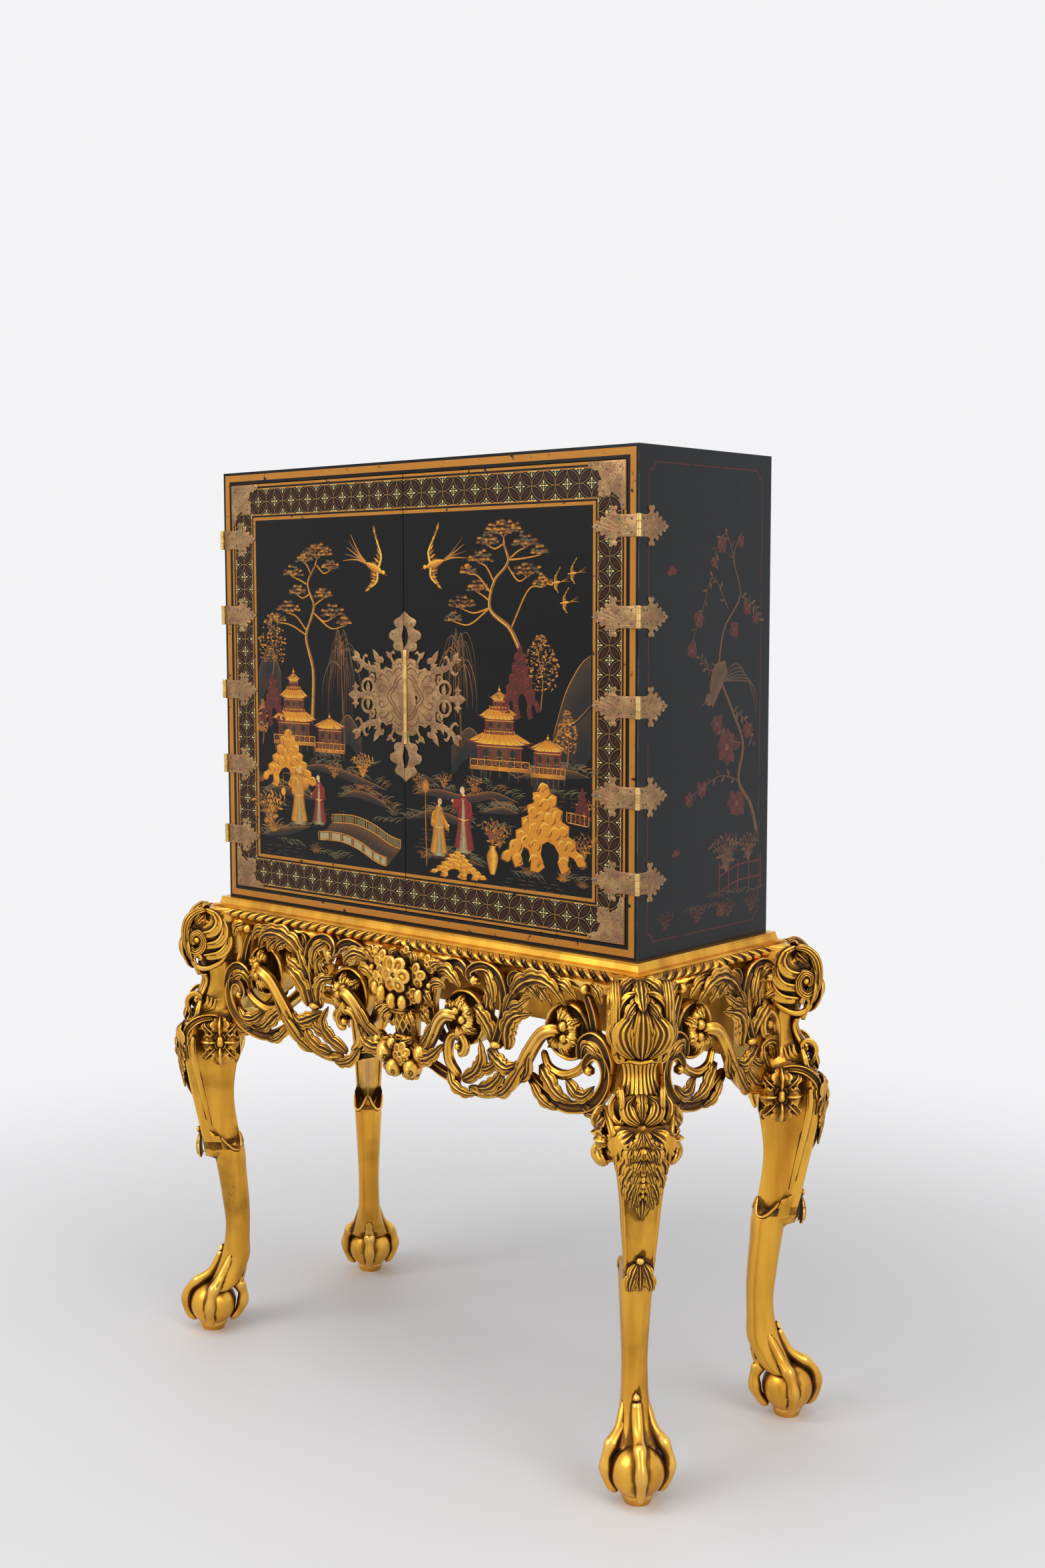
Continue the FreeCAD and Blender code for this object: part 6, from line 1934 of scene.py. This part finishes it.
def left_picture(finish):
    """Pine, willow and pavilions on islands, with two figures at a bridge below."""
    paint = Painting(on_door(0, 0, 1), 23)
    hill(paint, [(-402, 1286), (-384, 1318), (-370, 1334), (-352, 1310), (-338, 1284)], 70)
    hill(paint, [(-196, 1180), (-172, 1206), (-158, 1214), (-140, 1198), (-124, 1176)], 52)
    willow(paint, -176, 1364, 56, 184)
    for edge, depth in (([(-300, 1110), (-240, 1122), (-180, 1116), (-120, 1102), (-60, 1086)], 34),
                        ([(-402, 1062), (-350, 1076), (-290, 1070), (-236, 1054)], 32),
                        ([(-190, 1066), (-140, 1080), (-90, 1072), (-44, 1050)], 30)):
        bank(paint, edge, depth)
    rock(paint, -364, 1188, 66, 96, RED_ROCK)
    leafy_tree(paint, -362, 1270, 118)
    leafy_tree(paint, -392, 1150, 80, 0.18)
    pine(paint, [(-254, 1196), (-250, 1290), (-268, 1352), (-246, 1404), (-262, 1446), (-240, 1482)], 4.8,
         [(-316, 1404, 32, 13), (-344, 1384, 22, 9), (-290, 1434, 24, 10), (-196, 1396, 34, 13),
          (-166, 1378, 20, 8), (-220, 1428, 24, 10), (-302, 1468, 28, 11), (-236, 1504, 40, 15),
          (-202, 1478, 24, 10), (-270, 1492, 24, 10)])
    pavilion(paint, -304, 1160, 46, 3)
    pavilion(paint, -208, 1150, 32, 1)
    rock(paint, -318, 1076, 142, 106, GOLD_ROCK, -1)
    bank(paint, [(-402, 980), (-360, 994), (-310, 1002), (-262, 1006)], 30)
    figure(paint, -292, 1008, 112, GOLD, DIM, 1, (0.24, 0.76))
    figure(paint, -238, 1012, 94, RED, OLIVE, -1, (0.2, 0.58))
    paint.stroke([(-338, 1100), (-290, 1100), (-240, 1088)], (0.8, 0.9, 0.8), DIM, 0.9)
    paint.stroke([(-336, 1099), (-336, 1072)], (0.5, 0.5), GOLD, 0.3)
    paint.dab(-336, 1066, 6.5, GOLD, 1.2, BRIGHT)
    bridge(paint, [(-240, 984), (-186, 986), (-136, 976), (-92, 958), (-64, 952)], (36, 34), 15, 7)
    shrub(paint, -374, 996, 74, MOSS, 9)
    blades(paint, -368, 988, 40, 11, GOLD)
    shrub(paint, -122, 1104, 46, (GOLD, DIM, DIM), 7)
    shrub(paint, -196, 1098, 32, SCRUB, 5)
    for u, v, wide in ((-388, 1046, 96), (-386, 962, 120), (-130, 1012, 90), (-220, 1040, 60)):
        ripples(paint, u, v, wide, 3)
    for u, v, wide, way in ((-150, 1128, 70, 1), (-230, 1136, 60, -1), (-100, 1030, 70, 1),
                            (-250, 958, 90, 1), (-330, 968, 60, -1)):
        reeds(paint, u, v, wide, OLIVE, way)
    for u, v, size, tint in ((-250, 958, 26, DIM), (-196, 952, 20, OLIVE), (-46, 1042, 28, OLIVE),
                             (-400, 1080, 24, DIM)):
        blades(paint, u, v, size, 9, tint)
    bird(paint, -92, 1474, 104, 1, -24, 5)
    paint.piece("picture_left", finish, "left_door")


SIDE_RED = rgb(92, 36, 31)
SIDE_DARK = rgb(72, 31, 29)
SIDE_BROWN = rgb(112, 76, 50)
SIDE_DIM = rgb(82, 62, 46)


def side_picture(finish, name, way, seed):
    """A flowering branch with a perched bird, in worn reds and browns."""
    paint = Painting(lambda p: np.column_stack([way * (HALF_WIDTH + p[:, 2]), p[:, 0], p[:, 1]]), seed)
    reds = (SIDE_DARK, SIDE_RED, SIDE_BROWN)
    browns = (SIDE_BROWN, SIDE_DIM, SIDE_DARK)
    trunk = [(148, 1024), (128, 1076), (92, 1120), (104, 1180), (70, 1240), (36, 1300), (48, 1370),
             (92, 1424), (72, 1486), (100, 1534)]
    paint.stroke(trunk, (4.2, 3.4, 3.0, 2.4, 1.8, 1.2, 0.7), SIDE_BROWN, 0.3)
    twigs = ([(92, 1120), (40, 1130), (-14, 1112), (-56, 1096)], [(70, 1240), (112, 1216), (134, 1172)],
             [(60, 1400), (16, 1452), (-12, 1400), (-44, 1340)],
             [(78, 1470), (52, 1522), (26, 1500), (18, 1468)], [(92, 1424), (130, 1408), (150, 1380)],
             [(104, 1180), (60, 1190), (30, 1216)], [(40, 1310), (6, 1304), (-22, 1330)])
    for twig in twigs:
        spray(paint, twig, browns, 11, 15)
    for u, v, size in ((58, 1176, 30), (88, 1082, 26), (30, 1216, 18), (-10, 1112, 15), (-44, 1096, 12),
                       (118, 1200, 16), (-22, 1386, 15), (-40, 1336, 14), (76, 1368, 15), (112, 1402, 13),
                       (40, 1504, 14), (92, 1512, 11), (136, 1386, 10), (20, 1476, 9)):
        bloom(paint, u, v, size, reds, 6)
    for number in range(6):
        plume = [(30, 1286), (84 + number * 9, 1312 - number * 7), (128 + number * 3, 1272 - number * 11)]
        paint.stroke(plume, (1.4, 1.2, 0.4), SIDE_DIM, 0.2)
    paint.wash([(52, 1318), (24, 1312), (10, 1280), (14, 1246)],
               [(58, 1300), (46, 1280), (30, 1260), (18, 1242)], (SIDE_BROWN, SIDE_DIM, SIDE_BROWN), 0.5)
    paint.dab(8, 1256, 10, SIDE_BROWN)
    paint.stroke([(0, 1254), (-14, 1246)], (2, 1), SIDE_RED)
    for u, v, size in ((-92, 1456, 16), (-78, 1010, 13)):
        for turn in (35, 80, 120, 165):
            angle = radians(turn)
            paint.needle((u, v), (u + size * cos(angle), v + size * sin(angle)), size * 0.3, SIDE_RED)
    shrub(paint, 60, 968, 70, browns, 9)
    shrub(paint, 122, 982, 50, browns)
    for level in (938, 964):
        paint.stroke([(40, level), (92, level + 14), (158, level + 16)], (1.6, 1.6, 1.6), SIDE_RED, 0.2)
    for u in (40, 66, 92, 124, 158):
        paint.stroke([(u, 930), (u, 990)], (1.8, 1.6), SIDE_RED, 0.2)
    for u, v, wide in ((-60, 914, 90), (20, 930, 90), (90, 926, 70)):
        reeds(paint, u, v, wide, SIDE_DIM, paint.pick(1, -1))
    for u in (-104, -20, 66, 132):
        shrub(paint, u, 892, 34, (SIDE_DARK, SIDE_DIM, SIDE_RED), 5)
    bloom(paint, 46, 908, 13, reds)
    paint.piece("side_painting_" + name, finish, "stand_and_case")


def paint_finish():
    """Gold and colours laid on lacquer, rubbed a little thin."""
    colours = Finish("painted_gold", IOR=1.5, Specular_IOR_Level=0.25, Coat_Roughness=0.1,
                     Coat_Weight=0.12)
    tint = colours.attribute("tint", "Color")
    wear = colours.noise(120.0, 4.0)
    cloud = colours.noise(24.0, 3.0)
    rubbed = colours.mix(wear.soft(0.58, 0.74) * 0.6, tint, rgb(40, 30, 22))
    colours.set(Base_Color=colours.mix(cloud.soft(0.4, 0.75) * 0.18, rubbed, rgb(120, 70, 30)))
    colours.set(Metallic=0.1 + cloud * 0.1)
    colours.set(Roughness=0.34 + wear * 0.16)
    colours.bump(wear, 0.12, 0.0004)
    return colours


def gilding():
    """Burnished leaf on red bole: a painted highlight with the burnish on the crests, and painted shade
    with dark brown dirt in the hollows.
    """
    gilt = Finish("gilt_wood", IOR=1.5)
    recess = gilt.attribute("recess")
    cloud = gilt.noise(9.0, 4.0)
    grain = gilt.noise(170.0, 3.0)
    streak = gilt.noise(34.0, 3.0, (1.0, 1.0, 0.1))
    # Near-black in the deepest hollows: partly real dirt, partly painted shade where the carving shuts out
    # the light.
    dirt_and_shade = (recess * 1.3 + (cloud - 0.5) * 0.3 + (grain - 0.5) * 0.16).soft(0.3, 0.8)
    # Painted shade: brown darkening over the shut-in parts and grooves of the carving.
    shade = (recess * 1.2 + (cloud - 0.5) * 0.5).soft(-0.03, 0.21)
    # Painted highlight on the crests: a pale bright gold that also stands for the burnish.
    crest = (recess * -1.0 + (cloud - 0.5) * 0.15).soft(0.02, 0.2)
    rub = (grain * 0.55 + cloud * 0.5 - recess * 0.2).soft(0.64, 0.74)
    leaf_tone = gilt.mix(streak.soft(0.34, 0.68), (0.84, 0.44, 0.055, 1.0), (0.66, 0.31, 0.034, 1.0))
    worn = gilt.mix(rub * 0.5, leaf_tone, (0.36, 0.11, 0.025, 1.0))
    shaded_leaf = gilt.mix(shade * 0.92, worn, (0.12, 0.042, 0.008, 1.0))
    burnished_and_highlit = gilt.mix(crest * 0.9, shaded_leaf, (0.96, 0.62, 0.16, 1.0))
    gilt.set(Base_Color=gilt.mix(dirt_and_shade, burnished_and_highlit, (0.024, 0.009, 0.003, 1.0)))
    gilt.set(Metallic=0.97 - dirt_and_shade * 0.7)
    gilt.set(Roughness=0.31 + dirt_and_shade * 0.3 + (streak - 0.5) * 0.16 + shade * 0.08 - crest * 0.08)
    gilt.bump(grain * 0.3 + cloud, 0.1, 0.001)
    return gilt


def speckled(lacquer, ground, speck):
    grain = lacquer.cells(420.0)
    cloud = lacquer.noise(5.0, 3.0)
    return lacquer.mix(grain.soft(0.34, 0.08) * cloud.soft(0.4, 0.75), ground, speck)


BLACK = (0.0062, 0.006, 0.0058, 1.0)
SIDE_BLACK = (0.0085, 0.0095, 0.011, 1.0)
OCHRE = (0.44, 0.17, 0.02, 1.0)
PALE_GOLD = (0.70, 0.54, 0.22, 1.0)
PETAL_RED = (0.05, 0.0125, 0.0065, 1.0)
LINE_RED = (0.085, 0.018, 0.013, 1.0)
CELL = 46.0
HALF_CELL = 23.0
BORDER_MIDDLE = 56.2
BORDER_START = 33.0
BORDER_END = 79.4
GOLD_LINES = ((23.4, 27.8), (31.4, BORDER_START), (BORDER_END, 81.0), (84.4, 90.0))
INSET = 26.0
NOTCH = 14.0
INSET_LINE = 1.1


def petal_border(lacquer, x, z, inward, upright):
    """Overlapping circles with red petals between them and a small gold cross in each eye."""
    right_door = x.over(-16.0)
    level_phase = right_door * ((x - 3.7) / 49.8) + (1.0 - right_door) * ((x + 396.0) / 45.62)
    phase = upright * ((z - 1277.0) / CELL) + (1.0 - upright) * level_phase
    turn = abs(lacquer.node("ShaderNodeMath", {"operation": "FRACT"}, {0: phase}) - 0.5) * CELL
    across = abs(inward - BORDER_MIDDLE)
    near = (across ** 2.0 + (HALF_CELL - turn) ** 2.0) ** 0.5
    far = ((HALF_CELL - across) ** 2.0 + turn ** 2.0) ** 0.5
    band = inward.between(BORDER_START, BORDER_END)
    ring = abs(near - HALF_CELL).under(0.42).most(abs(far - HALF_CELL).under(0.42)) * band
    petal = near.most(far).under(19.6) * band

    def cross(first, second):
        reach, thin = first.most(second), first.least(second)
        arm = thin.under((2.0 - abs(reach - 6.4) * 0.75).most(0.55)) * reach.under(9.2)
        dot = ((first - 3.6) ** 2.0 + (second - 3.6) ** 2.0).under(0.8)
        return arm.most(dot)
    eyes = cross(across, HALF_CELL - turn).most(cross(HALF_CELL - across, turn))
    return petal, ring, eyes * band * near.least(far).under(11.0)


def inset_line(y, z):
    """Thin line set in from the edges of a side, with a scooped notch at each corner."""
    beside = HALF_DEPTH - abs(y)
    level = (CASE_TOP - z).least(z - CASE_BASE)
    notch = ((beside - INSET) ** 2.0 + (level - INSET) ** 2.0) ** 0.5
    straight = abs(beside.least(level) - INSET).under(INSET_LINE) * beside.most(level).over(INSET + NOTCH)
    curve = abs(notch - NOTCH).under(INSET_LINE) * beside.over(INSET) * level.over(INSET)
    return straight.most(curve)


def black_lacquer():
    """Black lacquer: gold bands and petal border in front, a worn red line on the sides."""
    lacquer = Finish("black_lacquer", IOR=1.5, Specular_IOR_Level=0.14, Coat_Roughness=0.1)
    x, y, z = lacquer.where()
    front = (lacquer.facing(1) * -1.0).over(0.7) * (y * -1.0).over(170.0)
    side = (lacquer.facing(0) * x).over(300.0) * abs(x).over(490.0)
    beside = HALF_WIDTH - abs(x)
    level = (CASE_TOP - z).least(z - CASE_BASE)
    inward, upright = beside.least(level), beside.under(level)
    chip = lacquer.noise(70.0, 4.0).soft(0.28, 0.36)
    cloud = lacquer.noise(26.0, 3.0)
    petal, ring, eyes = petal_border(lacquer, x, z, inward, upright)
    lines = inward.between(5.0, 16.5)
    for start, end in GOLD_LINES:
        lines = lines.most(inward.between(start, end))
    gold = lines * front * chip
    eyes = eyes * front * chip
    ground = lacquer.mix(front, speckled(lacquer, SIDE_BLACK, (0.04, 0.045, 0.052, 1.0)), BLACK)
    # A pale line down the front edge of each side: a painted highlight where the edge would catch the
    # light, with a little wear.
    worn_edge_highlight = (y + HALF_DEPTH).under(1.6) * side * lacquer.noise(16.0, 4.0).soft(0.42, 0.6)
    red = inset_line(y, z) * side * lacquer.noise(40.0, 4.0).soft(0.3, 0.5)
    painted = lacquer.mix(petal * front, ground, PETAL_RED)
    painted = lacquer.mix(ring * front, painted, (0.36, 0.165, 0.03, 1.0))
    painted = lacquer.mix(eyes, painted, PALE_GOLD)
    painted = lacquer.mix(gold, painted, lacquer.mix(cloud, OCHRE, (0.52, 0.22, 0.032, 1.0)))
    painted = lacquer.mix(red, painted, LINE_RED)
    lacquer.set(Base_Color=lacquer.mix(worn_edge_highlight * 0.7, painted, (0.16, 0.16, 0.17, 1.0)))
    grain = lacquer.noise(520.0, 2.0)
    lacquer.set(Metallic=(gold + eyes).least(1.0) * 0.15)
    lacquer.set(Roughness=0.24 + gold * 0.16 + (cloud - 0.5) * 0.08 + side * (0.1 + (grain - 0.5) * 0.2))
    lacquer.set(Coat_Weight=0.04 + side * 0.12)
    lacquer.bump(gold * 0.5 + eyes * 0.4 + cloud * 0.12 + grain * side * 0.2, 0.2, 0.0006)
    return lacquer


def inside_wood():
    wood = Finish("inside_wood", Roughness=0.55)
    grain = wood.noise(22.0, 5.0, (0.25, 2.0, 2.0))
    pore = wood.noise(220.0, 2.0, (0.1, 1.0, 1.0))
    tone = wood.mix(grain.soft(0.3, 0.7), rgb(92, 52, 30), rgb(136, 84, 48))
    wood.set(Base_Color=wood.mix(pore.soft(0.55, 0.75) * 0.5, tone, rgb(60, 32, 18)))
    wood.bump(pore, 0.1, 0.0006)
    return wood


def aged_brass():
    """Old brass, engraved all over with scrolling lines, dark in the cuts."""
    brass = Finish("brass", IOR=1.5)
    cloud = brass.noise(28.0, 4.0)
    drift = brass.noise(120.0, 2.0)
    cells = brass.cells(170.0, "SMOOTH_F1")
    swirl = brass.node("ShaderNodeMath", {"operation": "SINE"}, {0: (cells * 34.0 + drift * 16.0)})
    cut = swirl.soft(0.5, 0.95) * 0.62
    fine = brass.node("ShaderNodeMath", {"operation": "SINE"}, {0: (drift * 90.0)}).soft(0.6, 1.0) * 0.35
    engraved = cut.most(fine)
    tone = brass.mix(cloud.soft(0.35, 0.65), rgb(180, 143, 94), rgb(146, 113, 76))
    rosy = brass.mix(brass.noise(70.0, 3.0).soft(0.5, 0.62) * 0.6, tone, rgb(158, 104, 80))
    stain = brass.mix(brass.noise(95.0, 3.0).soft(0.54, 0.68) * 0.6, rosy, rgb(116, 100, 58))
    brass.set(Base_Color=brass.mix(engraved, stain, rgb(70, 50, 32)))
    brass.set(Metallic=0.85 - engraved * 0.5)
    brass.set(Roughness=0.36 + engraved * 0.25 + (cloud - 0.5) * 0.2)
    brass.bump(engraved * -1.0, 0.35, 0.0006)
    return brass


def brown_bronze():
    return Finish("engraved_line", Base_Color=rgb(112, 66, 42), Metallic=0.5, Roughness=0.5)


def bright_brass():
    brass = Finish("bright_brass", IOR=1.5)
    cloud = brass.noise(60.0, 3.0)
    scratch = brass.noise(300.0, 2.0, (1.0, 1.0, 0.1))
    brass.set(Base_Color=brass.mix(cloud.soft(0.4, 0.7), rgb(222, 190, 120), rgb(190, 152, 84)))
    brass.set(Metallic=0.96 - scratch * 0.05)
    brass.set(Roughness=0.2 + cloud * 0.12 + scratch * 0.08)
    return brass


def dark_steel():
    steel = Finish("steel", IOR=1.5)
    cloud = steel.noise(90.0, 3.0)
    steel.set(Base_Color=steel.mix(cloud, rgb(70, 68, 66), rgb(104, 100, 96)))
    steel.set(Metallic=0.9 - cloud * 0.1)
    steel.set(Roughness=0.34 + cloud * 0.16)
    return steel


def finish_nodes(finish, *names):
    """Gives a finish to nodes that keep their solid's own shape."""
    for name in names:
        slots = NODES[name].data.materials
        slots.clear()
        slots.append(finish.material)


BACKDROP = (0.90, 0.90, 0.915, 1.0)


def studio_floor():
    """Pale floor that fades into the backdrop away from the cabinet."""
    bpy.ops.mesh.primitive_plane_add(size=24.0, location=(0, 0, 0))
    floor = bpy.context.active_object
    floor.name = "studio_floor"
    pale = Finish("pale_floor", Roughness=0.6)
    cloud = pale.noise(0.8, 3.0)
    pale.set(Base_Color=pale.mix(cloud, (0.78, 0.78, 0.79, 1.0), (0.82, 0.82, 0.83, 1.0)))
    x, y, z = pale.where()
    away = (((x ** 2.0 + y ** 2.0) ** 0.5) / 1000.0).soft(0.7, 2.6)
    ray = pale.node("ShaderNodeLightPath").socket.node
    seen = Tone(pale, ray.outputs["Is Camera Ray"]).most(Tone(pale, ray.outputs["Is Glossy Ray"]))
    seen = seen.most(Tone(pale, ray.outputs["Is Transmission Ray"]))
    glow = pale.node("ShaderNodeEmission", inputs={"Color": BACKDROP, "Strength": 1.0})
    inputs = {0: away * seen, 1: Tone(pale, pale.shader.outputs[0]), 2: glow}
    faded = pale.node("ShaderNodeMixShader", inputs=inputs)
    pale.tree.links.new(faded.socket, pale.tree.nodes["Material Output"].inputs["Surface"])
    floor.data.materials.append(pale.material)
    bpy.ops.object.select_all(action="DESELECT")


def studio():
    """Floor, soft lamps, white room and the camera."""
    studio_floor()
    lamps = (("key", (-1.3, -3.4, 3.1), (0.0, 0.0, 1.0), 2.4, 62.0),
             ("fill", (3.6, -0.4, 2.6), (0.3, 0.0, 0.9), 2.2, 40.0),
             ("top", (0.2, -0.6, 4.2), (0.0, 0.0, 0.8), 3.0, 46.0))
    for name, place, aim, size, power in lamps:
        lamp = bpy.data.lights.new(name, "AREA")
        lamp.shape = "SQUARE"
        lamp.size = size
        lamp.energy = power
        holder = bpy.data.objects.new(name, lamp)
        holder.location = place
        way = np.array(aim) - np.array(place)
        flat = hypot(way[0], way[1])
        holder.rotation_euler = (atan2(flat, -way[2]), 0, atan2(way[1], way[0]) - pi / 2)
        scene.collection.objects.link(holder)
    world = bpy.data.worlds.new("white_room")
    scene.world = world
    world.use_nodes = True
    nodes, links = world.node_tree.nodes, world.node_tree.links
    ray = nodes.new("ShaderNodeLightPath")
    total = ray.outputs["Is Camera Ray"]
    for kind in ("Is Glossy Ray", "Is Transmission Ray"):
        seen = nodes.new("ShaderNodeMath")
        seen.operation = "MAXIMUM"
        links.new(total, seen.inputs[0])
        links.new(ray.outputs[kind], seen.inputs[1])
        total = seen.outputs[0]
    strength = nodes.new("ShaderNodeMath")
    strength.operation = "MULTIPLY_ADD"
    links.new(total, strength.inputs[0])
    strength.inputs[1].default_value = 0.5
    strength.inputs[2].default_value = 0.5
    back = nodes["Background"]
    back.inputs["Color"].default_value = BACKDROP
    links.new(strength.outputs[0], back.inputs["Strength"])
    lens = bpy.data.cameras.new("camera")
    lens.lens = 42.11
    lens.sensor_width = 36.0
    lens.clip_end = 60.0
    camera = bpy.data.objects.new("camera", lens)
    camera.location = (2.2432, -2.4005, 1.4099)
    camera.rotation_euler = (radians(90 - 5.598), radians(0.068), radians(41.784))
    scene.collection.objects.link(camera)
    scene.camera = camera


gilt = gilding()
lacquer = black_lacquer()
wood = inside_wood()
brass = aged_brass()
polished = bright_brass()
steel = dark_steel()
colours = paint_finish()
studio()

finish_nodes(lacquer, "door_left", "door_right", "case_top", "case_bottom", "case_side_right",
             "case_side_left", "case_back")
finish_nodes(wood, "shelf_lower", "shelf_upper", "shelf_battens", "door_stops", "cross_bearers")
finish_nodes(gilt, "cavetto_front", "cavetto_back", "cavetto_right", "cavetto_left", "frieze_strip_back")
finish_nodes(polished, "hinge_pins_right", "hinge_pins_left")
finish_nodes(steel, "lock_case", "lock_bolt", "lock_keep", "bolt_guide_upper", "bolt_rod_upper",
             "bolt_guide_lower", "bolt_rod_lower")
fittings = (brass, polished, steel, brown_bronze())
hinges(fittings)
corner_plates(fittings)
lock_mounts(fittings)
right_picture(colours)
left_picture(colours)
side_picture(colours, "right", 1, 31)
side_picture(colours, "left", -1, 47)
aprons(gilt)
back_board(gilt)
middle_basket(gilt)
gadroons(gilt)
legs(gilt)
